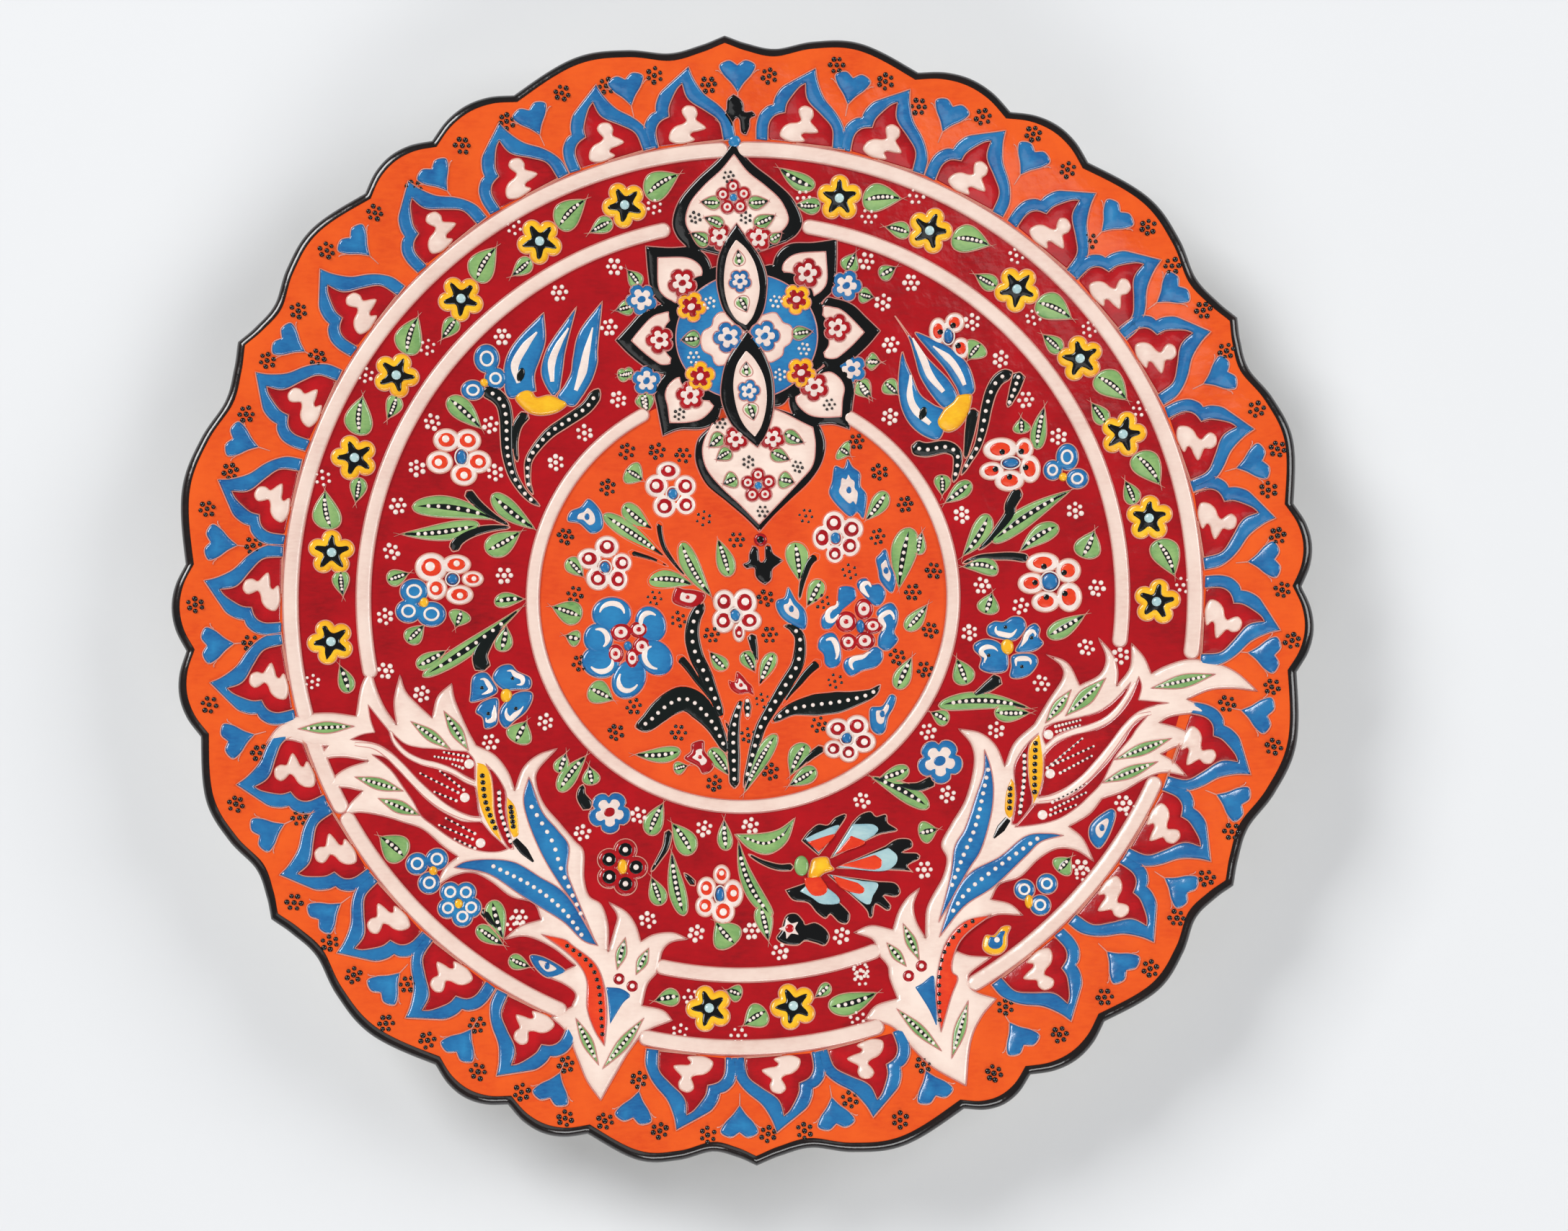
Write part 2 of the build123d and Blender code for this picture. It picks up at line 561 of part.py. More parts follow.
SPRAY_EYES = [
    ((-119, -33.3), (-107, -33.5), 2.8), ((-103, -46.8), (-92.5, -50), 2.6),
    ((-98, -53), (-88.5, -56.8), 2.4), ((-89.5, -32.3), (-80.5, -38.8), 3),
    ((-81.5, -30), (-75.8, -39.5), 3), ((-34, -92), (-36, -99.5), 2.8),
    ((-28, -95), (-31, -101.3), 2.8), ((-46.5, -113), (-41, -124), 2.8),
    ((-30, -113.5), (-39.6, -125), 3), ((109, -29.5), (125.5, -26.8), 3.2),
    ((98.5, -48), (110.5, -43), 2.6), ((95, -53.8), (107, -49.6), 2.4),
    ((86.5, -35.5), (96.7, -28), 3.2), ((80.5, -37.5), (87.5, -29.5), 2.6),
    ((41, -90.5), (44.3, -99.5), 2.8), ((36.5, -95.5), (40.8, -101), 2.6),
    ((39, -112.8), (49, -123.5), 2.8), ((56.5, -111.5), (52, -125), 3),
]

# ---- field between the middle and inner rings ----
FIELD_LEAVES = [
    ((-79, 57), (-69.8, 48), 4.6), ((-90, 26), (-66, 23.5), 5.4), ((-68, 31), (-56.5, 20.3), 4.4),
    ((-92, 19), (-70, 21.8), 4.2), ((-70.5, 13), (-60, 19.8), 5), ((-98, 6), (-90.3, 9), 4),
    ((-93.5, -12.5), (-86.5, -5.5), 4.4), ((-76, -0.8), (-78, -6), 4.6),
    ((-89, -17.5), (-80.7, -12), 3.8), ((-86, -19.6), (-60.5, -1.5), 3.4),
    ((-69, 0.5), (-60.2, 0.8), 3.2), ((-66.5, -14.5), (-64.4, -6), 4),
    ((-63, -39), (-59.5, -32), 5.6), ((-51.3, -47.6), (-49, -41.3), 3.4),
    ((-52, -53), (-43.5, -42), 4), ((-41.5, -51), (-43, -45), 3.8),
    ((-28, -65), (-23, -55.5), 4.2), ((-14.5, -71), (-21, -61), 4.6), ((-6.3, -70.5), (-6.8, -60.8), 3.4),
    ((4, -91), (-3, -70.3), 3.4), ((5, -93.5), (2, -84), 3.4), ((-24, -84), (-26.6, -75.5), 3.8),
    ((-18, -88), (-21.3, -70.5), 3.6), ((-3.5, -96.5), (-9.3, -88.5), 6),
    ((49, -60.8), (34, -50.8), 4), ((44, -48), (35.5, -51), 3.4), ((44.5, -66), (51, -65.6), 4.6),
    ((55.5, -36.5), (50, -33.2), 3.4), ((52, -31.3), (76, -31.3), 3.8), ((65, -34.5), (76.5, -34.3), 3),
    ((60.5, -28.5), (57.3, -19.5), 4.6), ((81.5, -14.5), (92.3, -8.7), 4), ((64.5, -7.5), (68, -1.5), 4.6),
    ((71, 3), (60, 6.3), 4), ((90.5, 5.5), (95.5, 14.5), 5.4), ((87.3, 17), (75.8, 9.8), 4.2),
    ((68.3, 21), (60.3, 9.3), 4.4), ((90, 25.8), (68, 12), 4.6), ((76.8, 40.3), (77.2, 45.6), 3.6),
    ((81, 36), (83.2, 48.3), 3.2), ((55, 33), (55, 26), 3.6), ((64, 29.8), (56, 24), 3.6),
    ((68.3, 67.5), (63.5, 62.8), 4.6), ((39.8, 58), (44, 54), 3.6), ((33, 58.3), (35.8, 53.3), 3.6),
    ((35.3, 63.6), (39.8, 63.3), 3.6), ((-34, 62.6), (-28.5, 62.2), 2.8), ((-26.4, 57.6), (-25, 52), 3.4),
    ((-96.5, -62.5), (-89, -68.5), 5), ((-70.5, -80), (-65, -84.3), 4), ((-62.5, -96), (-59, -98.3), 2.8),
    ((80, -77), (84.5, -76), 4), ((13, -60.8), (-3.6, -65), 4.6),
]
WHITE_FLOWERS = [
    ((-75.5, 40.3), 18, 5), ((-78.5, 7.2), 100, 5), ((74.3, 34.2), 20, 5), ((83, 1.2), 40, 5),
    ((-8.5, -80.4), 20, 5),
]
BLUE_FLOWERS = [((-66, -25), 40, 4), ((71, -16), 50, 5)]
RED_FLOWER = ((-34.3, -72.3), 20)
FIELD_ROSETTES = [
    (-32.3, 91.3), (-47.5, 84.6), (-34.4, 75.6), (-63.8, 73), (-82.8, 70), (-83.5, 50.3),
    (-68, 49.5), (-87.5, 37.3), (-67, 36), (-50.2, 38.8), (-42, 46.4), (-32.5, 55.5),
    (-93, 27.3), (-95.2, 14.8), (-97.2, -2.5), (-97, -17.6), (-87.7, -24.3), (-64.8, 7.5),
    (-54.8, -32.8), (-69.3, -37.5), (-45.2, -62.8), (-12, -62.2), (0, -62.4), (-27.8, -86.2),
    (-15.4, -90.5), (0, -90.3), (8.3, -96.5), (23.7, -92.8), (47, -76), (54, -55.7),
    (30.8, -56.2), (49, -38.5), (67.3, -38.3), (79.8, -26.8), (100.8, -20), (92.3, -17.3),
    (61, -12.5), (75, -5.8), (95.3, -1.8), (65, 0.8), (61, 20.2), (90.5, 19.8), (87, 40.3),
    (78.3, 50.5), (71.8, 62), (64.9, 72.3), (42, 67.6), (41.3, 48.4), (36.6, 90.3),
    (48.5, 83.9), (72.3, 69), (98.3, -59.3), (87.6, -76.2), (-61.6, -84.8),
]
STEMS = [
    ((-70, 57.5), (-55.5, 27), 3.4), ((-41, 55.8), (-57, 32), 3.2), ((-77, 31), (-63, 22), 2.6),
    ((-78.5, 15.5), (-64, 20.8), 2.6), ((-72.5, -17), (-65.5, -5.8), 3.4),
    ((-44.5, -57), (-45, -50), 3), ((-22, -62.5), (-27, -74), 2.6), ((11, -73), (0, -70), 2.4),
    ((49.5, -52), (38.5, -53), 3), ((69.5, -24.5), (61, -29.3), 3.2), ((78.5, 6.8), (66, 8.6), 2.6),
    ((77, 27), (68, 13.4), 3), ((70, 57), (60.5, 31), 3), ((47.8, 39.2), (58, 38), 3),
    ((17.5, -91), (8, -92.5), 3), ((-14, -79), (-18.5, -75), 2.4),
]
TULIP_PETALS = [
    ((-59.5, 57.5), (-51, 78), 8), ((-51, 58.5), (-45, 78), 6), ((-46, 56), (-38.5, 78), 6),
    ((55, 43.5), (46, 62), 8), ((58, 51.5), (48.5, 66), 5.5), ((62.5, 54), (51, 69.5), 7),
]
TULIP_CUPS = [
    [[(-60.5, 56.3), (-57, 58.3)], [(-54.5, 56.5), (-50, 56.8)], [(-46.3, 54.6), (-54, 51.9)]],
    [[(54.7, 45.5), (57.2, 50.3), (60.5, 52.8)], [(63.8, 52.8), (61.5, 46.5), (57.3, 43.3)]],
]
CARNATION_PETALS = [
    ((20.5, -71.5), (30, -62.5), 6), ((22, -74), (40, -73), 7), ((21, -76.5), (33, -82), 6),
    ((16.5, -70.5), (22, -63.5), 5), ((17, -77), (22.5, -84), 6),
]
CARNATION_TIPS = [
    [[(31, -62.5), (29.5, -60.6), (33, -59.8)], [(39.5, -65.2), (35, -66)]],
    [[(38.5, -69), (43.5, -68)], [(44.8, -73), (43.6, -77), (40.4, -74)]],
    [[(34, -80.5), (38, -79.2)], [(39.5, -82.5), (36.5, -86), (32.4, -87.8), (32.5, -84)]],
    [[(15, -66), (18.5, -63), (22, -61.5)], [(25.3, -60.8), (22.8, -64)]],
    [[(10, -80.7), (13.5, -80)], [(25.5, -88.5), (21.6, -87), (15, -83.8)]],
]

# ---- medallion ----
MEDALLION_LEAVES = [
    ((-33.5, 35.3), (-26.5, 32.6), 4.6), ((-33.5, 26.3), (-24, 19.5), 4), ((-38.3, 24), (-22, 12), 3.6),
    ((-48.5, 13.5), (-43.3, 7), 3.8), ((-27.5, 5), (-14.5, 4), 4), ((-16.5, 18), (-9, 2), 4),
    ((-2.5, 4.5), (-6.5, 16.5), 3.8), ((14, 17), (15.5, 5), 4.6), ((22.5, 5), (17.5, -2.5), 4),
    ((46, 19.5), (42.5, 1.2), 5), ((48, 8.3), (49.5, 16), 2.8), ((43, -11.8), (50, -4), 3.6),
    ((40.3, -27.8), (45.3, -18.3), 3.6), ((-43.5, -3.5), (-51.5, -1.5), 5), ((-43.8, -10), (-48.3, -9.3), 3.4),
    ((-45, -24.3), (-37.5, -24.5), 4.6), ((-4.3, -20.6), (-9, -15), 3.2), ((-1.3, -14.3), (2.6, -20.5), 3.4),
    ((8.8, -15), (3.9, -23.5), 3.2), ((-15.8, -41), (-30, -42.3), 3.2), ((-21.5, -46.7), (-16.2, -45.3), 2.8),
    ((-11, -40), (-5.2, -48), 3.6), ((12.5, -37.3), (-1, -52), 3.4), ((17.8, -39), (11.5, -48.5), 4.2),
    ((20.3, -47.5), (11.3, -51.5), 3.4), ((26, 42), (30.2, 37.8), 4), ((41, 28.3), (34.2, 20.7), 3.6),
]
MEDALLION_STEMS = [
    ((-12, -1.5), (-6.8, -33), 4.6), ((-32, -33), (-9, -34), 6), ((-4, -29), (-4, -52), 3.4),
    ((14.5, -9), (6, -33), 4.4), ((36, -26), (10, -31.5), 5), ((2.6, -36), (-1.2, -51), 3),
    ((-22.5, 21.5), (-16, 7), 2.6), ((-31, 13.3), (-20.5, 9.3), 2.4), ((22, 11.5), (15.5, 0), 2.8),
    ((1.8, -9.5), (3.4, -17), 2.2), ((-19, -15), (-12.5, -22), 2.6), ((21, -18), (12.5, -26.5), 2.8),
    ((20.5, -41.3), (13.5, -47.5), 2.8), ((0, -27), (0, -33), 2),
]
MEDALLION_FLOWERS = [
    ((-19, 29.2), 100, 5), ((-38, 9.3), 85, 5), ((25.8, 15.3), 100, 5), ((-2.6, -4.8), 60, 5),
    ((27, -39.3), 60, 5),
]
ROSES = [((-32.3, -12.5), 110), ((31.5, -9), 75)]
MEDALLION_ROSETTES = [
    (-30.8, 41.3), (-22.7, 40.8), (-15.8, 39.6), (-36.7, 31.7), (-10.8, 22), (-47.8, 18.5),
    (-46.2, 2), (-44.8, -16.8), (-24.3, 1), (-17.8, -5.8), (-9.2, -10.3), (-1.5, 16.2),
    (6.2, -0.3), (7.2, -10.3), (7, -10), (4.7, -28.5), (-30.5, -28.8), (-36, -35),
    (-18.3, -36.2), (-9.3, -50), (0.3, -37.8), (6.2, -47.5), (20, -35.5), (24.5, -24),
    (21.7, -1.8), (46, 0), (29, 6), (37, 15.2), (17.8, 21.8), (32, 41.8), (38.2, 33.2),
    (44.8, 24.3), (51.8, 5.8), (50.6, -10.5), (48.8, -21.3), (41.8, -17.8),
]


def relative_polar(stretches, angle, radius=0.0):
    """Outline given in degrees and radius, turned to an angle and moved out by a radius."""
    placed = []
    for stretch in stretches:
        placed.append([polar(angle + turn, radius + out) for turn, out in stretch])
    return outline(placed)


def petal(angle):
    """One outer petal of the pendant."""
    placed = []
    for stretch in PETAL:
        points = []
        for turn, out in stretch:
            dx, dy = polar(angle + turn, out)
            points.append((DISC_CENTRE[0] + dx, DISC_CENTRE[1] + dy))
        placed.append(points)
    return outline(placed)


def flipped(stretches, mirror_y):
    """Outline turned upside down about a height."""
    return [[(x, 2 * mirror_y - y) for x, y in stretch] for stretch in stretches]


def grow_panel(stretches, factor):
    """Outline drawn in towards its own middle."""
    points = [point for stretch in stretches for point in stretch]
    middle = (sum(x for x, y in points) / len(points), sum(y for x, y in points) / len(points))
    return outline([
        [(middle[0] + (x - middle[0]) * factor, middle[1] + (y - middle[1]) * factor) for x, y in stretch]
        for stretch in stretches
    ])


def flowers(centres, petal_radius, distance):
    """Petal discs of round flowers, each given by a centre, a turn and a petal count."""
    petals = []
    for centre, turn, count in centres:
        petals += ring_of_discs(centre, turn, count, distance, petal_radius)
    return petals


def main():
    os.makedirs("parts", exist_ok=True)
    first = (GROUND, RELIEF_1)
    second = (RELIEF_1, RELIEF_2)
    third = (RELIEF_2, RELIEF_3)

    save("clay_body", clay_body())
    save("foot_ring", foot_ring())
    save("back_glaze", back_glaze())
    save("edge_band_black", edge_band())
    rim = face_skin(OUTER_RING[1], 0, GROUND) & extrude(scallop_outline(EDGE_BAND_WIDTH), PRISM_HEIGHT)
    save("rim_ground_orange", rim.solids())
    save("border_ground_red", band(MIDDLE_RING[1], OUTER_RING[0], 0, GROUND).solids())
    save("field_ground_red", band(INNER_RING[1], MIDDLE_RING[0], 0, GROUND).solids())
    save("medallion_ground_orange", band(0, INNER_RING[0], 0, GROUND).solids())
    save("ring_outer_cream", cream_ring(OUTER_RING, OUTER_ARCS))
    save("ring_middle_cream", cream_ring(MIDDLE_RING, MIDDLE_ARCS))
    save("ring_inner_cream", cream_ring(INNER_RING, INNER_ARCS))

    # The sprays and the pendant lie over everything else, so the rest keeps clear of them.
    sprays = [polygon(LEFT_SPRAY), polygon(RIGHT_SPRAY)]
    save("sprays_cream", draped(sprays, *first))
    save("sprays_red", draped([outline(s) for s in SPRAY_RED], *second))
    save("sprays_blue", draped([outline(s) for s in SPRAY_BLUE], *second))
    save("sprays_yellow", draped([outline(s) for s in SPRAY_YELLOW], *second))
    save("sprays_orange", draped([outline(s) for s in SPRAY_ORANGE], *second))
    save("sprays_green", layer([leaf(*entry) for entry in SPRAY_EYES], *second))

    round_field = disc(DISC_CENTRE, 22.2)
    panels = [outline(UPPER_PANEL) - round_field, outline(LOWER_PANEL) - round_field]
    finials = [polygon(FINIAL), polygon(flipped(FINIAL, 69.6))]
    petals = apart([petal(angle) for angle in PETAL_ANGLES], [round_field])
    pendant = panels + [round_field] + petals
    save("pendant_outline_black", draped(pendant, *first) + layer(finials, *first))
    insides = [grow_panel(UPPER_PANEL, 0.8), grow_panel(LOWER_PANEL, 0.8)]
    save("pendant_panels_cream", draped([inside - round_field for inside in insides], *second))
    save("pendant_disc_blue", draped([disc(DISC_CENTRE, 19.3)], *second))
    flower_spots = [(DISC_CENTRE[0] + side * 13, y) for side in (-1, 1) for y in (80.3, 61.2)]
    save("pendant_flowers_yellow", layer([star(c, 20, 2.6, 1.5) for c in flower_spots], *third))
    red_spots = [centre_point(DISC_CENTRE, angle, 27.5) for angle in PETAL_ANGLES]
    save("pendant_flowers_red", layer([star(c, 20, 3.0, 1.7) for c in red_spots], *second))
    over = sprays + pendant + finials

    bands = [relative_polar(PALMETTE_BAND, a) for a in PALMETTE_ANGLES]
    save("rim_palmettes_blue", layer(bands, *first))
    save("rim_palmettes_red", layer([relative_polar(PALMETTE_HEART, a) for a in PALMETTE_ANGLES], *first))
    save("rim_palmettes_cream", layer([relative_polar(PALMETTE_CLOUD, a) for a in PALMETTE_ANGLES], *second))
    hearts = [relative_polar(HEART, a, r) for a, r in HEARTS]
    save("rim_hearts_blue", layer(hearts, *first))
    dots = [polar(a, r) for a, r in RIM_ROSETTES]
    save("rim_rosettes_black", rosettes(dots, 1.1, 0.5, bands + hearts + finials))

    centres = [(angle, polar(angle, BORDER_RADIUS)) for angle in BORDER_FLOWERS]
    border_petals = [face for a, c in centres for face in ring_of_discs(c, a, 5, 3.75, 2.1)]
    save("border_flowers_yellow", layer(apart(border_petals, over), *first))
    save("border_stars_black", layer([star(c, a, 4.6, 1.8) for a, c in centres], *second))
    save("border_eyes_pale_blue", beads([c for a, c in centres], 1.2, RELIEF_2 + 0.05, 0.3))
    leaves = [leaf(*entry) for entry in BORDER_LEAVES]
    for angle in LEAFY_FLOWERS:
        leaves.append(leaf(polar(angle - 4.2, 112.6), polar(angle - 8.0, 116), 4.2))
        leaves.append(leaf(polar(angle + 5.6, 107.6), polar(angle + 3.0, 109), 2.8))
    leaves = apart(leaves, over + border_petals)
    save("border_leaves_green", layer(leaves, *first))
    dots = [polar(a, r) for a, r in BORDER_ROSETTES]
    save("border_rosettes_white", rosettes(dots, 0.9, 0.4, over + leaves + border_petals))

    tulips = apart([leaf(*entry) for entry in TULIP_PETALS], over)
    save("tulips_blue", layer(tulips, *first))
    save("tulip_cups_yellow", layer([outline(s) for s in TULIP_CUPS], *second))
    carnation = [leaf(*entry) for entry in CARNATION_PETALS]
    save("carnation_red", layer(carnation, *first))
    save("carnation_black", layer([outline(s) for s in CARNATION_TIPS], *second))
    save("carnation_calyx_yellow", layer([disc((19, -74.3), 2.6)], *second))
    white = flowers(WHITE_FLOWERS, 2.7, 5.2)
    save("field_flowers_white", layer(white, *first))
    save("field_flowers_orange", layer(flowers(WHITE_FLOWERS, 1.7, 5.2), *second))
    blue = flowers(BLUE_FLOWERS, 3.4, 6.0)
    save("field_flowers_blue", layer(blue, *first))
    eyes = [disc(centre, 1.7) for centre, turn, count in WHITE_FLOWERS + BLUE_FLOWERS]
    save("field_flower_eyes", layer(eyes, *first))
    dark = ring_of_discs(*RED_FLOWER, 5, 5.4, 2.8)
    save("field_flower_black", layer(dark, *first))
    painted = over + tulips + carnation + white + blue + eyes + dark
    stems = apart([leaf(*entry) for entry in STEMS], painted)
    save("field_stems_black", layer(stems, *first))
    leaves = apart([leaf(*entry) for entry in FIELD_LEAVES], painted + stems)
    save("field_leaves_green", layer(leaves, *first))
    save("field_rosettes_white", rosettes(FIELD_ROSETTES, 1.2, 0.5, painted + stems + leaves))

    white = flowers(MEDALLION_FLOWERS, 2.5, 4.8)
    save("medallion_flowers_white", layer(white, *first))
    save("medallion_flowers_red", layer(flowers(MEDALLION_FLOWERS, 1.6, 4.8), *second))
    roses = [face for c, turn in ROSES for face in ring_of_discs(c, turn, 5, 8.6, 3.6)]
    save("medallion_roses_blue", layer(roses, *first))
    hearts = [face for c, turn in ROSES for face in ring_of_discs(c, turn + 36, 5, 3.6, 1.5)]
    save("medallion_roses_red", layer(hearts, *second))
    painted = over + white + roses + hearts
    stems = apart([leaf(*entry) for entry in MEDALLION_STEMS], painted)
    save("medallion_stems_black", layer(stems, *first))
    leaves = apart([leaf(*entry) for entry in MEDALLION_LEAVES], painted + stems)
    save("medallion_leaves_green", layer(leaves, *first))
    save("medallion_rosettes_black", rosettes(MEDALLION_ROSETTES, 1.2, 0.55, painted + stems + leaves))


main()
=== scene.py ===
import math
import random

import bpy
import numpy as np
from mathutils import Matrix, Vector
from mathutils.geometry import delaunay_2d_cdt


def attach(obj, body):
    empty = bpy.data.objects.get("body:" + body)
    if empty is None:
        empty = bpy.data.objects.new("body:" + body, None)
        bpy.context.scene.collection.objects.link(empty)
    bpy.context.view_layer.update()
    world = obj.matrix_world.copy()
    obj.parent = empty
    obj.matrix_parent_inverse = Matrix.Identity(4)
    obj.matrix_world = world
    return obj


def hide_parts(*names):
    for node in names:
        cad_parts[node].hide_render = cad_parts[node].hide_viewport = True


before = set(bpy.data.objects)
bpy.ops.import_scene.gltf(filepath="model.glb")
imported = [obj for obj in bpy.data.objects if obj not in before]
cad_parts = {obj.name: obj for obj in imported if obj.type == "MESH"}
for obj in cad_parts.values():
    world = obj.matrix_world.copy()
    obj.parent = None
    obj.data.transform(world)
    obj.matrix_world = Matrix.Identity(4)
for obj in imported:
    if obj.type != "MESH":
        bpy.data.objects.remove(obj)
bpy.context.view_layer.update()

# Hand painted ceramic plate. Every length below is in millimetres on the plan of the plate, with
# +Y at the top of the pattern. The meshes are made in metres.

random.seed(7)

MM = 0.001
BOWL_RADIUS = 536.0
FACE_HEIGHT = 12.0
WALL = 5.5
LIP_WALL = 4.0
FOOT_OUTER = 62.0
FOOT_INNER = 54.0
CUSP_RADIUS = 151.6
DIP_RADIUS = 148.1
LOBE_RADIUS = 152.5
NOTCH_RADIUS = 148.8
GROUND = 0.3
# Heights above the clay: where an enamel on a ground starts, and one on the sprays' cream.
LOW = 0.25
ON_CREAM = 0.86
# How far each surface reaches down into what it lies on.
GLAZE_SINK = 0.1
ENAMEL_SINK = 0.15
# Thickness of the clear glaze under the dish.
BACK_GLAZE = 0.3
# How much wider or larger than first read from the photograph.
LEAF_WIDER = 1.18
WHITE_PETAL_WIDER = 1.1
BLUE_PETAL_WIDER = 1.15
ROSE_PETAL_WIDER = 1.2
TULIP_PETAL_WIDER = 1.12
OUTER_RING = (119.5, 123.5)
MIDDLE_RING = (100.5, 104.3)
INNER_RING = (55.4, 58.9)
SCALLOPS = [
    (27.0, (49.3, 59.0, 69.5)),
    (90.0, (112.8, 122.6, 131.5)),
    (151.8, (175.5, 184.5, 193.5)),
    (213.5, (235.8, 244.2, 252.8)),
    (270.0, (291.5, 299.0, 308.2)),
    (327.0, (349.6, 358.4, 367.0)),
]


# ---- the face's shape ----
STEP = 0.25
RADII = np.arange(0.0, 170.0, STEP)
DISH_SLOPE = RADII / np.sqrt(BOWL_RADIUS**2 - np.minimum(RADII, 160.0) ** 2)
LIP_SLOPE = math.tan(math.radians(5))
BLEND = np.clip((RADII - 142.5) / 6.0, 0.0, 1.0)
SLOPES = DISH_SLOPE * (1 - BLEND) + LIP_SLOPE * BLEND
HEIGHTS = FACE_HEIGHT + np.concatenate([[0.0], np.cumsum((SLOPES[1:] + SLOPES[:-1]) / 2 * STEP)])


def lifted(points, lift):
    """Places in space for flat plan points, lifted above the clay along the face's normal."""
    points = np.asarray(points, float).reshape(-1, 2)
    radius = np.hypot(points[:, 0], points[:, 1])
    slope = np.interp(radius, RADII, SLOPES)
    length = np.sqrt(1 + slope**2)
    safe = np.maximum(radius, 1e-6)
    inward = -slope / length / safe
    lift = np.broadcast_to(lift, radius.shape)
    x = points[:, 0] * (1 + inward * lift)
    y = points[:, 1] * (1 + inward * lift)
    z = np.interp(radius, RADII, HEIGHTS) + lift / length
    return np.stack([x, y, z], axis=1)


def polar(angle, radius):
    """Plan point from an angle in degrees and a radius."""
    return (radius * math.cos(math.radians(angle)), radius * math.sin(math.radians(angle)))


# ---- curves ----
def catmull(points, closed, step):
    """Smooth line through the points, sampled about every step."""
    points = [np.array(p, float) for p in points]
    count = len(points)
    if count < 3 and not closed:
        start, end = points
        pieces = max(1, int(np.linalg.norm(end - start) / step))
        return [start + (end - start) * k / pieces for k in range(pieces + 1)]
    line = []
    for i in range(count if closed else count - 1):
        b, c = points[i], points[(i + 1) % count]
        a = points[i - 1] if closed or i > 0 else 2 * b - c
        d = points[(i + 2) % count] if closed or i + 2 < count else 2 * c - b
        pieces = max(2, int(np.linalg.norm(c - b) / step + 0.5))
        for k in range(pieces):
            t = k / pieces
            line.append(0.5 * (2 * b + (c - a) * t + (2 * a - 5 * b + 4 * c - d) * t**2
                               + (3 * b - a - 3 * c + d) * t**3))
    if not closed:
        line.append(points[-1])
    return line


def shape(stretches, step=0.7):
    """Closed outline of smooth stretches that meet at corners. Each starts at a corner."""
    line = []
    for index, stretch in enumerate(stretches):
        following = stretches[(index + 1) % len(stretches)][0]
        line += catmull(list(stretch) + [following], False, step)[:-1]
    return line


def blob(points, step=0.6):
    """Closed smooth outline with no corners."""
    return catmull(points, True, step)


def ellipse(x, y, across, along, turn=0.0, step=0.6):
    """Ellipse from its half sizes."""
    count = max(12, int(2 * math.pi * max(across, along) / step))
    turn = math.radians(turn)
    line = []
    for k in range(count):
        a = 2 * math.pi * k / count
        dx, dy = across * math.cos(a), along * math.sin(a)
        line.append(np.array((x + dx * math.cos(turn) - dy * math.sin(turn),
                              y + dx * math.sin(turn) + dy * math.cos(turn))))
    return line


def mirrored(stretches, middle):
    """Stretches mirrored left to right about a line."""
    return [[(2 * middle - x, y) for x, y in stretch] for stretch in stretches]


def smaller(line, factor):
    """Outline drawn in towards its middle."""
    line = np.array(line)
    middle = line.mean(axis=0)
    return [middle + (p - middle) * factor for p in line]


def along(line, fraction):
    """Point a fraction of the way along a line."""
    line = np.array(line, float)
    steps = np.concatenate([[0], np.cumsum(np.linalg.norm(np.diff(line, axis=0), axis=1))])
    return np.array([np.interp(fraction * steps[-1], steps, line[:, k]) for k in (0, 1)])


# ---- meshes ----
SHEETS = {}


def collect(piece, points, faces, tint=None):
    """Adds a closed surface to a piece's mesh."""
    verts, polygons, tints = SHEETS.setdefault(piece, ([], [], []))
    offset = sum(len(v) for v in verts)
    verts.append(np.asarray(points, float) * MM)
    polygons.extend([tuple(int(i) + offset for i in face) for face in faces])
    tints.append(np.full(len(points), 1.0) if tint is None else np.asarray(tint, float))


def distances(points, line):
    """Distance of each point from a set of segments (start, end)."""
    starts, ends = line
    best = np.full(len(points), 1e9)
    for low in range(0, len(points), 2000):
        chunk = points[low:low + 2000, None, :]
        run = ends - starts
        t = ((chunk - starts) * run).sum(-1) / np.maximum((run**2).sum(-1), 1e-12)
        near = starts + np.clip(t, 0, 1)[..., None] * run
        best[low:low + 2000] = np.sqrt(((chunk - near) ** 2).sum(-1)).min(axis=1)
    return best


def inside(points, line):
    """Which points are inside a closed outline."""
    line = np.array(line)
    x, y = points[:, 0][:, None], points[:, 1][:, None]
    x1, y1 = line[:, 0], line[:, 1]
    x2, y2 = np.roll(x1, -1), np.roll(y1, -1)
    crosses = (y1 > y) != (y2 > y)
    run = np.where(y2 == y1, 1e-12, y2 - y1)
    return (crosses & (x < (x2 - x1) * (y - y1) / run + x1)).sum(axis=1) % 2 == 1


def loops_of(pairs):
    """Closed loops of vertex numbers from boundary edges."""
    following = {}
    for a, b in pairs:
        following.setdefault(a, []).append(b)
    loops = []
    while following:
        start = next(iter(following))
        loop, here = [start], start
        while True:
            there = following[here].pop()
            if not following[here]:
                del following[here]
            if there == start or there not in following:
                break
            loop.append(there)
            here = there
        if len(loop) > 5:
            loops.append(loop)
    return loops


def anticlockwise(line):
    """Outline turned, if it has to be, so that it runs anticlockwise."""
    line = np.array(line, float)
    x, y = line[:, 0], line[:, 1]
    if (x * np.roll(y, -1) - y * np.roll(x, -1)).sum() < 0:
        line = line[::-1]
    return list(line)


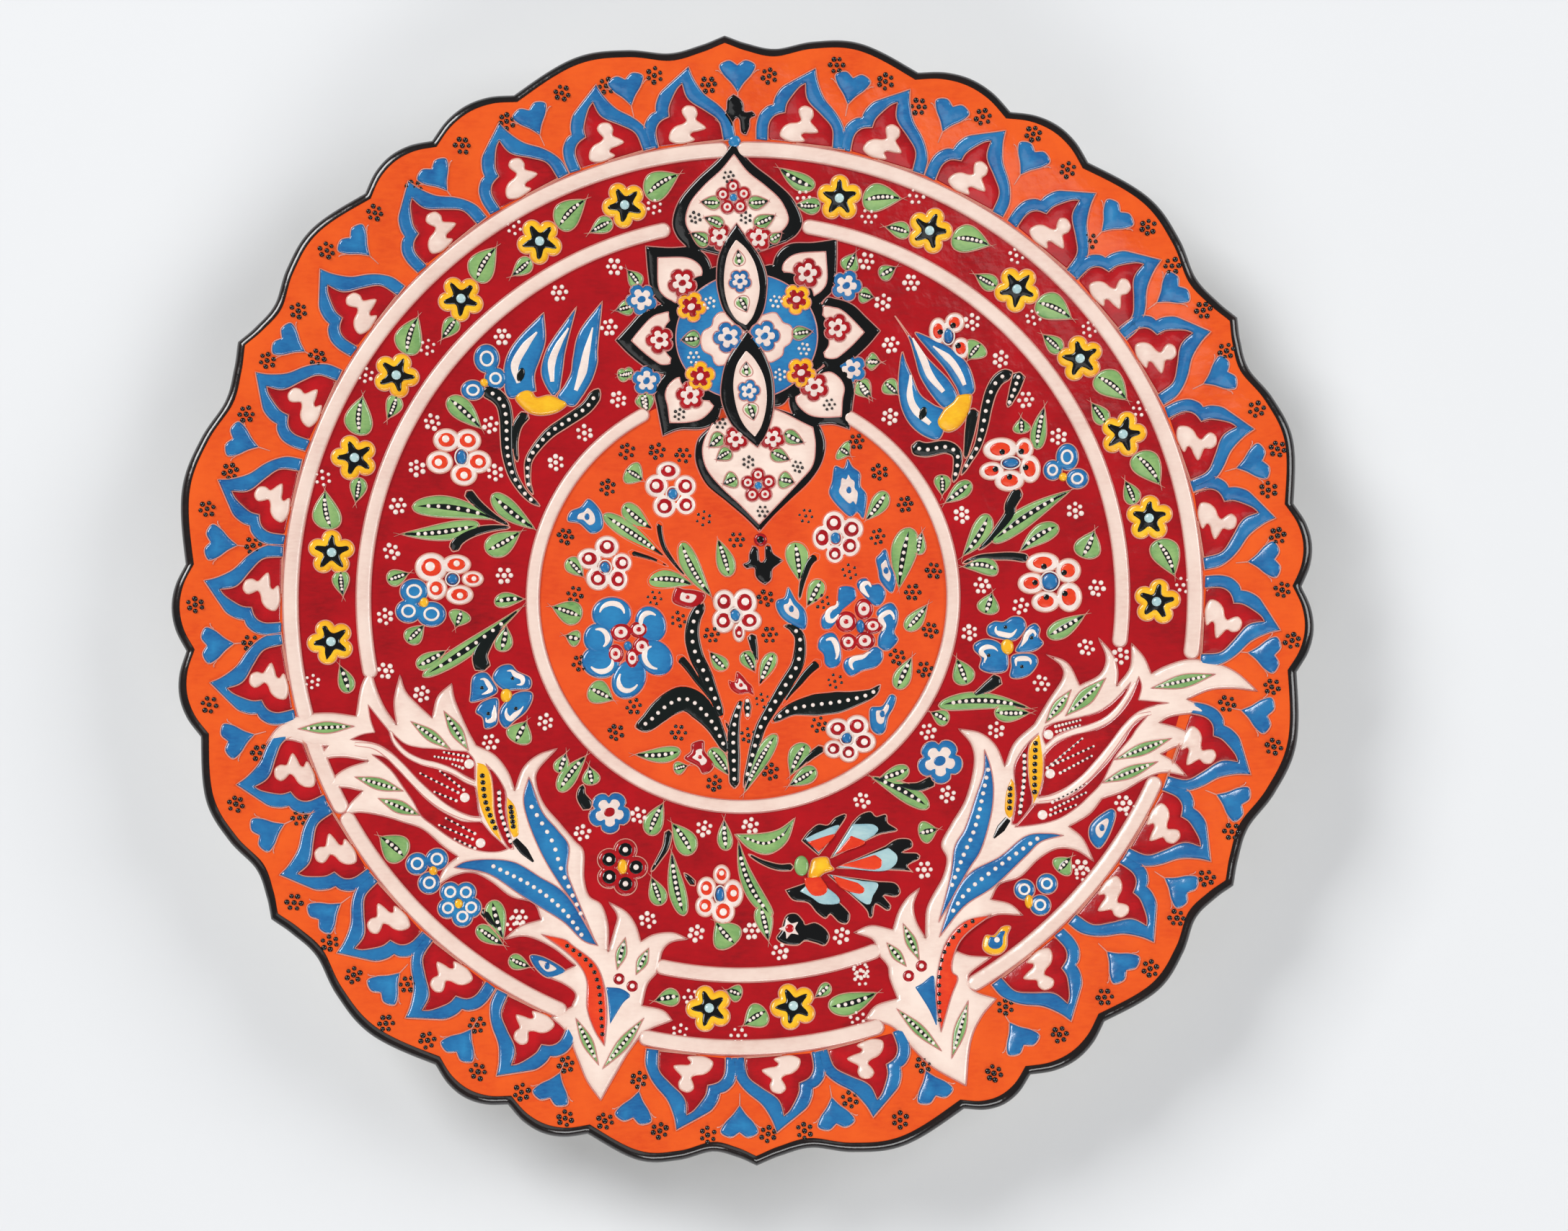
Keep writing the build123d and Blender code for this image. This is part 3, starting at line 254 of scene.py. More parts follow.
def raised(piece, outlines, low, top, edge=0.8, holes=(), cell=3.0):
    """Raised area of enamel over the union of some outlines. It swells over its edge, as a loaded
    brush leaves it. Returns its boundary lines."""
    verts, faces = [], []
    lines = [anticlockwise(line) for line in list(outlines) + list(holes)]
    for line in lines:
        faces.append(list(range(len(verts), len(verts) + len(line))))
        verts += [tuple(p) for p in line]
    starts = np.concatenate([np.array(line) for line in lines])
    ends = np.concatenate([np.roll(np.array(line), -1, axis=0) for line in lines])
    extra = []
    for line in lines:
        line = np.array(line)
        run = np.roll(line, -1, axis=0) - np.roll(line, 1, axis=0)
        normal = np.stack([-run[:, 1], run[:, 0]], axis=1)
        normal /= np.maximum(np.linalg.norm(normal, axis=1), 1e-9)[:, None]
        for offset in (0.3 * edge, edge):
            for side in (-1, 1):
                extra.append((line + side * offset * normal, 0.93 * offset))
    box_low, box_high = starts.min(axis=0), starts.max(axis=0)
    grid = np.stack(np.meshgrid(np.arange(box_low[0], box_high[0], cell),
                                np.arange(box_low[1], box_high[1], cell)), axis=-1).reshape(-1, 2)
    extra.append((grid, edge + 0.35 * cell))
    chosen = []
    for points, clear in extra:
        if not len(points):
            continue
        keep = np.zeros(len(points), bool)
        for line in outlines:
            keep |= inside(points, line)
        for line in holes:
            keep &= ~inside(points, line)
        points = points[keep]
        if len(points):
            chosen.append(points[distances(points, (starts, ends)) >= clear])
    inner = np.concatenate(chosen) if chosen else np.zeros((0, 2))
    verts = [Vector(p) for p in verts] + [Vector(p) for p in inner]
    result = delaunay_2d_cdt(verts, [], faces, 1, 1e-4, True)
    flat = np.array([tuple(v) for v in result[0]])
    triangles = []
    for triangle, sources in zip(result[2], result[5]):
        if sources and all(source < len(outlines) for source in sources):
            triangles.append(tuple(triangle))
    edges = {}
    for triangle in triangles:
        for k in range(3):
            edges[(triangle[k], triangle[(k + 1) % 3])] = True
    boundary = [(a, b) for a, b in edges if (b, a) not in edges]
    if not boundary:
        return []
    used = sorted({i for triangle in triangles for i in triangle})
    number = {old: new for new, old in enumerate(used)}
    flat = flat[used]
    triangles = [tuple(number[i] for i in triangle) for triangle in triangles]
    boundary = [(number[a], number[b]) for a, b in boundary]
    rim = (flat[[a for a, b in boundary]], flat[[b for a, b in boundary]])
    depth = distances(flat, rim)
    swell = np.sqrt(np.maximum(0, 1 - (1 - np.minimum(depth / edge, 1)) ** 2))
    above = lifted(flat, low + (top - low) * swell)
    below = lifted(flat, low - ENAMEL_SINK)
    count = len(flat)
    surface = list(triangles) + [(c + count, b + count, a + count) for a, b, c in triangles]
    surface += [(b, a, a + count, b + count) for a, b in boundary]
    tint = np.clip(depth / 1.6, 0, 1)
    collect(piece, np.concatenate([above, below]), surface, np.concatenate([tint, tint]))
    return [[flat[i] for i in loop] for loop in loops_of(boundary)]


def stroke(piece, line, width, low, height, closed=False, taper=0.0):
    """Rounded bead of enamel drawn along a line. A width may be a list that varies along it."""
    line = np.array(line, float)
    count = len(line)
    if count < 2:
        return
    if closed:
        run = np.roll(line, -1, axis=0) - np.roll(line, 1, axis=0)
    else:
        run = np.gradient(line, axis=0)
    run /= np.maximum(np.linalg.norm(run, axis=1), 1e-9)[:, None]
    side = np.stack([-run[:, 1], run[:, 0]], axis=1)
    at = np.linspace(0, 1, count)
    if isinstance(width, (list, tuple)):
        wide = np.interp(at, np.linspace(0, 1, len(width)), width)
    else:
        wide = np.full(count, float(width))
    if taper and not closed:
        ends = np.minimum(at, 1 - at) / taper
        wide = wide * np.sqrt(np.clip(ends, 0.06, 1))
    tall = height * np.minimum(1, wide / max(wide.max(), 1e-6) + 0.25)
    profile = [(-0.5, 0.0), (-0.34, 0.72), (0.0, 1.0), (0.34, 0.72), (0.5, 0.0)]
    rows = [lifted(line + side * (o * wide)[:, None], low + h * tall) for o, h in profile]
    rows.append(lifted(line, low - ENAMEL_SINK))
    points = np.stack(rows, axis=1).reshape(-1, 3)
    n = len(rows)
    faces = []
    for i in range(count if closed else count - 1):
        j = (i + 1) % count
        for k in range(n):
            m = (k + 1) % n
            faces.append((i * n + k, i * n + m, j * n + m, j * n + k))
    if not closed:
        faces.append(tuple(range(n))[::-1])
        faces.append(tuple((count - 1) * n + k for k in range(n)))
    collect(piece, points, faces)


def dot(piece, x, y, radius, low, height, sides=10):
    """Small dome of enamel."""
    rings = [(1.0, -0.12), (1.0, 0.0), (0.86, 0.5 * height), (0.5, 0.87 * height)]
    points = []
    for share, lift in rings:
        circle = [(x + radius * share * math.cos(2 * math.pi * k / sides),
                   y + radius * share * math.sin(2 * math.pi * k / sides)) for k in range(sides)]
        points.append(lifted(circle, low + lift))
    points.append(lifted([(x, y)], low + height))
    faces = [tuple(range(sides))[::-1]]
    for ring in range(len(rings) - 1):
        for k in range(sides):
            m = (k + 1) % sides
            faces.append((ring * sides + k, ring * sides + m, (ring + 1) * sides + m, (ring + 1) * sides + k))
    last = (len(rings) - 1) * sides
    tip = len(rings) * sides
    faces += [(last + k, last + (k + 1) % sides, tip) for k in range(sides)]
    collect(piece, np.concatenate(points), faces)


def dots_along(piece, line, count, radius, low, height, start=0.0, share=1.0):
    """Row of dots spread evenly over a share of a line."""
    for k in range(count):
        dot(piece, *along(line, start + share * (k + 0.5) / count), radius, low, height, 8)


def lathe(piece, rows, closed_loop):
    """Surface turned about the plate's axis from rows of points, one row for each profile point.
    A row that lies on the axis becomes one point."""
    points, numbers = [], []
    for row in rows:
        row = np.asarray(row)
        if np.hypot(row[:, 0], row[:, 1]).max() < 1e-6:
            numbers.append([len(points)] * len(row))
            points.append(row[0])
        else:
            numbers.append(list(range(len(points), len(points) + len(row))))
            points.extend(row)
    faces = []
    turn = len(numbers[0])
    for i in range(len(rows) if closed_loop else len(rows) - 1):
        low, high = numbers[i], numbers[(i + 1) % len(rows)]
        for k in range(turn):
            m = (k + 1) % turn
            face = []
            for index in (low[k], low[m], high[m], high[k]):
                if index not in face:
                    face.append(index)
            if len(face) > 2:
                faces.append(tuple(face))
    collect(piece, points, faces)


# ---- the scalloped outline ----
def scallop_line():
    """Angle and radius of the edge, sampled closely with every corner kept."""
    def half(cusp, notch):
        span = notch - cusp
        return [(cusp, CUSP_RADIUS), (cusp + 0.11 * span, CUSP_RADIUS - 2.2),
                (cusp + 0.26 * span, DIP_RADIUS), (cusp + 0.45 * span, LOBE_RADIUS - 1.5),
                (cusp + 0.68 * span, LOBE_RADIUS), (notch, NOTCH_RADIUS)]

    line = []
    for index, (cusp, notches) in enumerate(SCALLOPS):
        first, second, third = notches
        following = SCALLOPS[(index + 1) % 6][0] + 360 * (index == 5)
        line += catmull(half(cusp, first), False, 0.45)[:-1]
        for start, end in ((first, second), (second, third)):
            middle = (start + end) / 2
            line += catmull([(start, NOTCH_RADIUS), (start * 0.75 + end * 0.25, LOBE_RADIUS - 1.2),
                             (middle, LOBE_RADIUS - 0.3), (start * 0.25 + end * 0.75, LOBE_RADIUS - 1.2),
                             (end, NOTCH_RADIUS)], False, 0.45)[:-1]
        line += catmull(half(following, third)[::-1], False, 0.45)[:-1]
    return np.array(line)


EDGE = scallop_line()
EDGE_WAY = np.stack([np.cos(np.radians(EDGE[:, 0])), np.sin(np.radians(EDGE[:, 0]))], axis=1)


def edge_row(inset, lift):
    """Row of points all round, at an inset from the scalloped edge."""
    return lifted(EDGE_WAY * (EDGE[:, 1] - inset)[:, None], lift)


def round_row(radius, lift):
    """Row of points all round at one radius."""
    return lifted(EDGE_WAY * radius, lift)


def flat_row(radius, z):
    """Row of points all round at one radius and height."""
    return np.concatenate([EDGE_WAY * radius, np.full((len(EDGE), 1), z)], axis=1)


def wall_at(radius):
    """Clay thickness at a radius."""
    return float(np.interp(radius, [125, 150], [WALL, LIP_WALL]))


def under_row(radius, extra=0.0):
    """Row of points on the underside."""
    return round_row(radius, -wall_at(radius) - extra)


def build_body():
    """Clay body with the foot ring, its glaze grounds, edge and back."""
    rows = [round_row(r, 0.0) for r in (0, 20, 40, 60, 80, 100, 115, 130, 140)]
    rows += [edge_row(3.0, 0.0), edge_row(0.8, -0.6), edge_row(0.4, -2.0), edge_row(0.8, -3.4)]
    rows += [edge_row(3.0, -4.0)] + [under_row(r) for r in (140, 130, 115, 100, 80, 65.5)]
    # The foot ring has rounded edges and runs out into the underside in hollows.
    under = float(np.interp(FOOT_OUTER + 2, RADII, HEIGHTS)) - WALL
    outside = [(1.6, under - 0.5), (0.9, under - 1.6), (0.2, 1.0), (-0.4, 0.25), (-1.2, 0.0)]
    inside_foot = [(1.2, 0.0), (0.4, 0.25), (-0.1, 1.0), (-0.8, under - 2.6), (-1.5, under - 1.6)]
    rows += [flat_row(FOOT_OUTER + out, z) for out, z in outside]
    rows += [flat_row(FOOT_INNER + out, z) for out, z in inside_foot]
    rows += [under_row(r) for r in (51, 40, 20, 0)]
    lathe("clay_body", rows, False)

    def ground(piece, radii, top=GROUND):
        rows = [round_row(r, top) for r in np.linspace(*radii, max(3, int((radii[1] - radii[0]) / 6)))]
        rows += [round_row(r, -GLAZE_SINK) for r in radii[::-1]]
        lathe(piece, rows, radii[0] > 0)

    # The grounds meet under the middle of each ring, so no clay shows where a ring is cut away.
    inner, middle, outer = (sum(radii) / 2 for radii in (INNER_RING, MIDDLE_RING, OUTER_RING))
    ground("medallion_ground_orange", (0, inner))
    ground("field_ground_red", (inner, middle))
    ground("border_ground_red", (middle, outer))
    top = [round_row(r, GROUND) for r in (outer, 130, 136, 141)]
    top += [edge_row(i, GROUND) for i in (5.0, 3.0, 1.7)]
    lathe("rim_ground_orange", top + [edge_row(1.7, -GLAZE_SINK), round_row(outer, -GLAZE_SINK)], True)

    rows = []
    for k in range(15):
        a = math.pi / 2 - math.pi * k / 14
        rows.append(edge_row(2.0 - 2.3 * math.cos(a), -1.95 + 2.42 * math.sin(a)))
    rows += [edge_row(2.3, -4.1), edge_row(2.3, 0.1)]
    lathe("edge_band_black", rows, True)

    rows = [under_row(r, BACK_GLAZE) for r in (64.6, 80, 100, 115, 130, 140)] + [edge_row(1.9, -4.3)]
    rows += [edge_row(1.9, -3.8), under_row(140, -GLAZE_SINK), under_row(115, -GLAZE_SINK),
             under_row(64.6, -GLAZE_SINK)]
    lathe("back_glaze", rows, True)
    rows = [under_row(r, BACK_GLAZE) for r in (0, 20, 40, 51.4)]
    rows += [under_row(r, -GLAZE_SINK) for r in (51.4, 20, 0)]
    lathe("back_glaze", rows, False)


build_body()


def rosette(piece, x, y, reach=1.75, radius=0.68, count=6, low=LOW):
    """Cluster of raised dots round a middle one."""
    turn = random.uniform(0, 60)
    dot(piece, x, y, radius * random.uniform(0.95, 1.15), low, 0.6)
    for k in range(count):
        dx, dy = polar(turn + k * 360 / count + random.uniform(-6, 6), reach * random.uniform(0.93, 1.1))
        dot(piece, x + dx, y + dy, radius * random.uniform(0.85, 1.12), low, 0.55)


def contour(piece, lines, width=0.38, height=0.45, low=LOW):
    """Fine raised lines drawn round the boundaries of an area."""
    for line in lines:
        stroke(piece, line, width, low, height, closed=True)


# ---- raised rings ----
def ring(piece, radii, arcs, top=0.95):
    """Raised band with a soft top along some arcs, and a thin red line on each side of it."""
    for start, end in arcs:
        count = int((end - start) * 1.5)
        angles = [start + (end - start) * k / count for k in range(count + 1)]
        middle = (radii[0] + radii[1]) / 2
        half = (radii[1] - radii[0]) / 2
        turn = math.degrees(half / middle)
        outer = [polar(a, radii[1]) for a in angles]
        inner = [polar(a, radii[0]) for a in angles[::-1]]
        caps = []
        for centre, way in ((end, 1), (start, -1)):
            cap = []
            for k in range(1, 8):
                t = math.pi * k / 8
                cap.append(polar(centre + way * turn * math.sin(t), middle + way * half * math.cos(t)))
            caps.append(cap)
        line = [np.array(p) for p in outer + caps[0] + inner + caps[1]]
        raised(piece, [line], LOW, top, edge=0.7, cell=4.0)
        contour("ring_lines", [line], 0.4, 0.55)


ring("ring_outer_cream", OUTER_RING, [(-9.5, 88), (91, 194), (208.5, 245), (256.5, 285.5), (299, 333)])
ring("ring_outer_cream", OUTER_RING, [(196, 206.5)], top=0.8)
ring("ring_middle_cream", MIDDLE_RING, [(-9.0, 78), (100.5, 190), (256.5, 288.5)])
ring("ring_inner_cream", INNER_RING, [(117, 417.5)])


# ---- rim ----
PALMETTE_ANGLES = [
    6, 15.8, 27.3, 36.7, 46.8, 58.7, 70, 80.5, 94.3, 104.5, 115.8, 127.5, 141, 154.2, 166.5,
    177.5, 188.5, 199.8, 210.5, 220.8, 230.8, 242.2, 262, 272.5, 282.7, 305.8, 317.8, 328.2,
    338.3, 354,
]
PALMETTE_OUTER = [
    [(6, 124.2), (6, 128), (5.6, 131), (4.75, 133)],
    [(4.1, 133.5), (3.9, 135.5), (3.25, 138), (2.25, 139.7), (1.25, 141.3)],
    [(-0.3, 143.9), (-0.75, 140.5), (-1.75, 136.5), (-3.25, 133.5), (-4.25, 131), (-5, 128)],
    [(-5.25, 124.2)],
]
PALMETTE_INNER = [
    [(4.5, 124.2), (4.5, 128), (4.1, 130), (3.5, 131)],
    [(2.6, 131.6), (2.5, 133.8), (2, 136), (1.25, 138.5)],
    [(0.6, 139.7), (0.35, 136.5), (-0.25, 134.5), (-1.75, 132), (-3.25, 129)],
    [(-3.7, 124.2)],
]
PALMETTE_CLOUD = [
    (3.0, 125.5), (2.75, 127.5), (2.0, 128.8), (1.1, 129.2), (0.6, 130.0), (0.9, 131.5), (1.0, 132.8),
    (0.4, 133.8), (-0.5, 133.2), (-0.75, 131.5), (-0.5, 130), (-1.25, 128.5), (-1.6, 127.5),
    (-0.75, 127.0), (0.1, 126.8), (0.4, 126.0), (-0.1, 124.8), (0.75, 124.3), (2, 124.3),
]
HEARTS = [
    (88.7, 142), (76, 141.5), (64.7, 142), (54.5, 141.5), (43.2, 143), (33, 141.8), (22.3, 141.5),
    (12, 142), (1.3, 141), (173, 141.5), (161.5, 141.5), (149.3, 140.5), (136, 141.8),
    (124.4, 141.2), (112, 142), (101, 141.8), (268.3, 142), (257, 141), (248, 142), (237, 142),
    (226.8, 141.5), (216.5, 140.5), (205.5, 142), (194.8, 141), (184.2, 142), (351, 141.5),
    (344.5, 142.3), (334.7, 143), (323.8, 141.5), (313.4, 142), (300, 140.5), (289.3, 142),
    (278.5, 142),
]
HEART = [
    [(0.0, 1.5), (0.9, 2.8), (1.95, 1.6), (1.6, -0.8), (0.7, -3.2)],
    [(0.0, -5.6), (-0.7, -3.2), (-1.6, -0.8), (-1.95, 1.6), (-0.9, 2.8)],
]
RIM_ROSETTES = [
    (85.2, 140.8), (78, 145.5), (72.5, 144), (68.2, 140.3), (61.3, 144.3), (55.7, 146.7),
    (50.5, 144), (40, 146.8), (43.5, 133.5), (35.2, 145), (29.4, 145), (24.4, 145), (17.4, 146),
    (12.8, 148), (8.8, 143.2), (3.8, 143.7), (179.8, 146), (172.8, 132), (169.5, 145),
    (165, 141.2), (158.5, 141.8), (152.2, 142.5), (149.2, 131.5), (145.8, 142), (138.7, 145.5),
    (132.2, 143.2), (127.2, 141.5), (120.2, 143.3), (114.7, 143.3), (108, 144.5), (103.2, 142.8),
    (97.8, 142.8), (92, 138.7), (265, 144.3), (260, 144.5), (256.7, 132.5), (254.2, 144.8),
    (250.2, 147), (248.3, 134), (245, 144.8), (240, 145), (237.3, 134.8), (233.8, 145),
    (229.3, 148), (228.3, 136.8), (223.4, 144.5), (219.2, 143.5), (213.5, 144.5), (205.6, 132.3),
    (201.4, 145.7), (197, 135.5), (190.5, 145), (184.3, 132.3), (358, 144), (352.7, 147),
    (347.6, 143.3), (344.9, 133), (341.5, 147.3), (331.7, 145), (326.2, 145), (321, 144.5),
    (315.2, 147.5), (309.8, 144.5), (303.7, 144.7), (300.6, 131), (295.8, 144.3), (289.3, 134.7),
    (285, 146.3), (280.4, 138), (275.1, 144), (271.3, 144),
]


def turned(stretches, angle, radius=0.0):
    """Stretches given in degrees and radius, placed at an angle."""
    return [[polar(angle + a, radius + r) for a, r in stretch] for stretch in stretches]


def build_rim():
    """Palmettes, hearts and dot rosettes of the orange rim."""
    for angle in PALMETTE_ANGLES:
        outer = shape(turned(PALMETTE_OUTER, angle))
        inner = shape(turned(PALMETTE_INNER, angle))
        raised("rim_palmettes_blue", [outer], LOW, 0.85, edge=0.7, holes=[inner])
        raised("rim_palmettes_red", [inner], 0.15, 0.45, edge=0.5)
        stroke("rim_contours", outer[:-13], 0.38, LOW, 0.6)
        stroke("rim_contours", inner[:-10], 0.36, 0.3, 0.6)
        cloud = blob(turned([PALMETTE_CLOUD], angle)[0])
        raised("rim_palmettes_cream", [cloud], 0.4, 0.95, edge=0.6)
        contour("rim_contours", [cloud], 0.3, 0.3, low=0.4)
    for angle, radius in HEARTS:
        lines = raised("rim_hearts_blue", [shape(turned(HEART, angle, radius))], LOW, 0.8, edge=0.7)
        contour("rim_contours", lines)
        tail = [polar(angle, radius - 5.4), polar(angle, radius - 7), polar(angle, radius - 8.6)]
        stroke("rim_contours", tail, [0.4, 0.25], LOW, 0.35)
        for side in (-1, 1):
            wing = [polar(angle + side * a, radius + r) for a, r in ((1.75, -0.6), (2.1, 0.2), (2.4, 0.3))]
            stroke("rim_contours", catmull(wing, False, 0.5), 0.3, LOW, 0.35)
    for angle, radius in RIM_ROSETTES:
        rosette("rim_rosettes_black", *polar(angle, radius))


build_rim()


# ---- leaves and stems, shared by the border, the field, the medallion and the pendant ----
def leaf(piece, start, end, width, dots, bend=None, top=0.72, tails=True):
    """Leaf with a round base and a pointed tip, a black rib with white dots, and a contour whose
    two lines cross at the tip."""
    start, end = np.array(start, float), np.array(end, float)
    width = width * LEAF_WIDER
    run = end - start
    length = np.linalg.norm(run)
    way = run / length
    side = np.array([-way[1], way[0]])
    bend = random.uniform(-0.06, 0.06) * length if bend is None else bend
    spine = [start + run * t + side * 4 * bend * t * (1 - t) for t in (0, 0.25, 0.5, 0.75, 1)]
    spine = catmull(spine, False, max(0.5, length / 16))
    shares = [(0, 0), (0.03, 0.42), (0.12, 0.78), (0.28, 1.0), (0.45, 0.97), (0.65, 0.72), (0.85, 0.34),
              (1, 0)]
    left, right = [], []
    for share, half in shares:
        middle = along(spine, share)
        left.append(middle + side * half * width / 2)
        right.append(middle - side * half * width / 2)
    outline = catmull(right, False, 0.6) + catmull(left[::-1], False, 0.6)[1:-1]
    raised(piece, [outline], LOW, top, edge=0.7)
    detail = piece.split("_")[0]
    rib = [along(spine, t) for t in np.linspace(0.06, 0.93, 9)]
    wide = min(2.0, 0.46 * width)
    stroke(detail + "_ribs_black", rib, [0.2 * wide, wide, 0.9 * wide, 0.2 * wide], top - 0.06, 0.14)
    if dots:
        radius = min(0.56, 0.32 * length * 0.68 / dots + 0.12)
        dots_along(detail + "_dots_white", spine, dots, radius, top + 0.03, 0.3, 0.13, 0.68)
    tail = 1.6 if tails else 0.4
    path = [end + way * tail - side * 0.55] + catmull(left[::-1], False, 0.6)[1:]
    path += catmull(right, False, 0.6)[1:-1] + [end + way * tail + side * 0.55]
    stroke(detail + "_contours", path, 0.36, top - 0.47, 0.48, taper=0.03)


def stem(piece, points, width, dots=0, top=0.8):
    """Tapering stem along a smooth line, with a row of white dots on the dotted ones."""
    line = catmull(points, False, 0.8)
    widths = list(width) if isinstance(width, (list, tuple)) else [width, width * 0.8, width * 0.3]
    run = np.gradient(np.array(line), axis=0)
    run /= np.linalg.norm(run, axis=1)[:, None]
    side = np.stack([-run[:, 1], run[:, 0]], axis=1)
    at = np.linspace(0, 1, len(line))
    half = np.interp(at, np.linspace(0, 1, len(widths)), widths) / 2
    half = half * np.sqrt(np.clip(np.minimum(at / 0.06, (1 - at) / 0.06), 0.02, 1))
    left = [line[k] + side[k] * half[k] for k in range(len(line))]
    right = [line[k] - side[k] * half[k] for k in range(len(line))]
    lines = raised(piece, [right + left[::-1]], LOW, top, edge=0.6)
    detail = piece.split("_")[0]
    contour(detail + "_contours", lines)
    dots_along(detail + "_dots_white", line, dots, 0.58, top - 0.04, 0.34, 0.05, 0.9)


# ---- border ----
# Angles of the border's flowers, and of those with no leaves of their own.
BARE_BORDER_FLOWERS = (356.8, 185, 264, 275.5)
BORDER_FLOWERS = [
    74.5, 61, 46.2, 33, 20.8, 8.5, 356.8, 105, 118, 131.7, 145.8, 158.8, 172.5, 185, 264, 275.5,
]
BORDER_LEAVES = [
    ((-19.5, -107.5), (-26, -108.5), 4, 3), ((-3, -107.8), (-7, -106.3), 3.8, 3),
    ((3.5, -112), (-2.5, -115.5), 5.6, 4), ((20.5, -105.5), (16.5, -108.8), 2.8, 3),
    ((20, -111.5), (33, -108), 5, 5),
]
BORDER_ROSETTES = [
    (79.5, 109.8), (64.6, 118.3), (69.8, 108.8), (49.2, 118.2), (35.5, 118), (41.8, 109),
    (23, 118.2), (162.8, 117.7), (148, 118.3), (140, 109.2), (120, 118.3), (101, 109),
    (268, 118.3), (260.5, 118.3), (261.3, 109), (234, 107.5), (190, 117.8), (359, 118.5),
    (328.8, 118.2), (318.5, 118.2), (283.5, 118), (285.5, 108), (285.8, 106),
]


def build_border():
    """Yellow flowers, leaves and rosettes of the narrow red border."""
    for angle in BORDER_FLOWERS:
        x, y = polar(angle, 111.5)
        turn = angle + random.uniform(-20, 20)
        petals = []
        for k in range(5):
            dx, dy = polar(turn + 72 * k, 3.7)
            petals.append(ellipse(x + dx, y + dy, 2.5, 2.55, turn + 72 * k))
        lines = raised("border_flowers_yellow", petals, LOW, 0.85, edge=0.8)
        contour("border_contours", lines)
        star = []
        for k in range(5):
            for a, r in ((36, 2.3), (56, 3.2), (64, 4.3), (72, 4.8), (80, 4.3), (88, 3.2)):
                star.append(np.array((x, y)) + polar(turn + 72 * k + a, r * random.uniform(0.94, 1.06)))
        raised("border_stars_black", [catmull(star, True, 0.4)], 0.8, 1.05, edge=0.5)
        dot("border_eyes_pale_blue", x, y, 1.35, 0.95, 0.5, 14)
        if angle not in BARE_BORDER_FLOWERS:
            leaf("border_leaves_green", polar(angle - 3.2, 112.3), polar(angle - 8.2, 116.2), 6.2, 6,
                 bend=0.8)
            leaf("border_leaves_green", polar(angle + 2.4, 108.6), polar(angle + 6.0, 107.7), 3.8, 5)
    leaf("border_leaves_green", polar(78.2, 113), polar(83.3, 117), 4, 4)
    leaf("border_leaves_green", polar(192.5, 109), polar(188.5, 110), 3.6, 3)
    for start, end, width, dots in BORDER_LEAVES:
        leaf("border_leaves_green", start, end, width, dots)
    for angle, radius in BORDER_ROSETTES:
        rosette("border_rosettes_white", *polar(angle, radius), radius=0.52)
    rosette("border_rosettes_white", 28.8, -102, radius=0.52)


build_border()


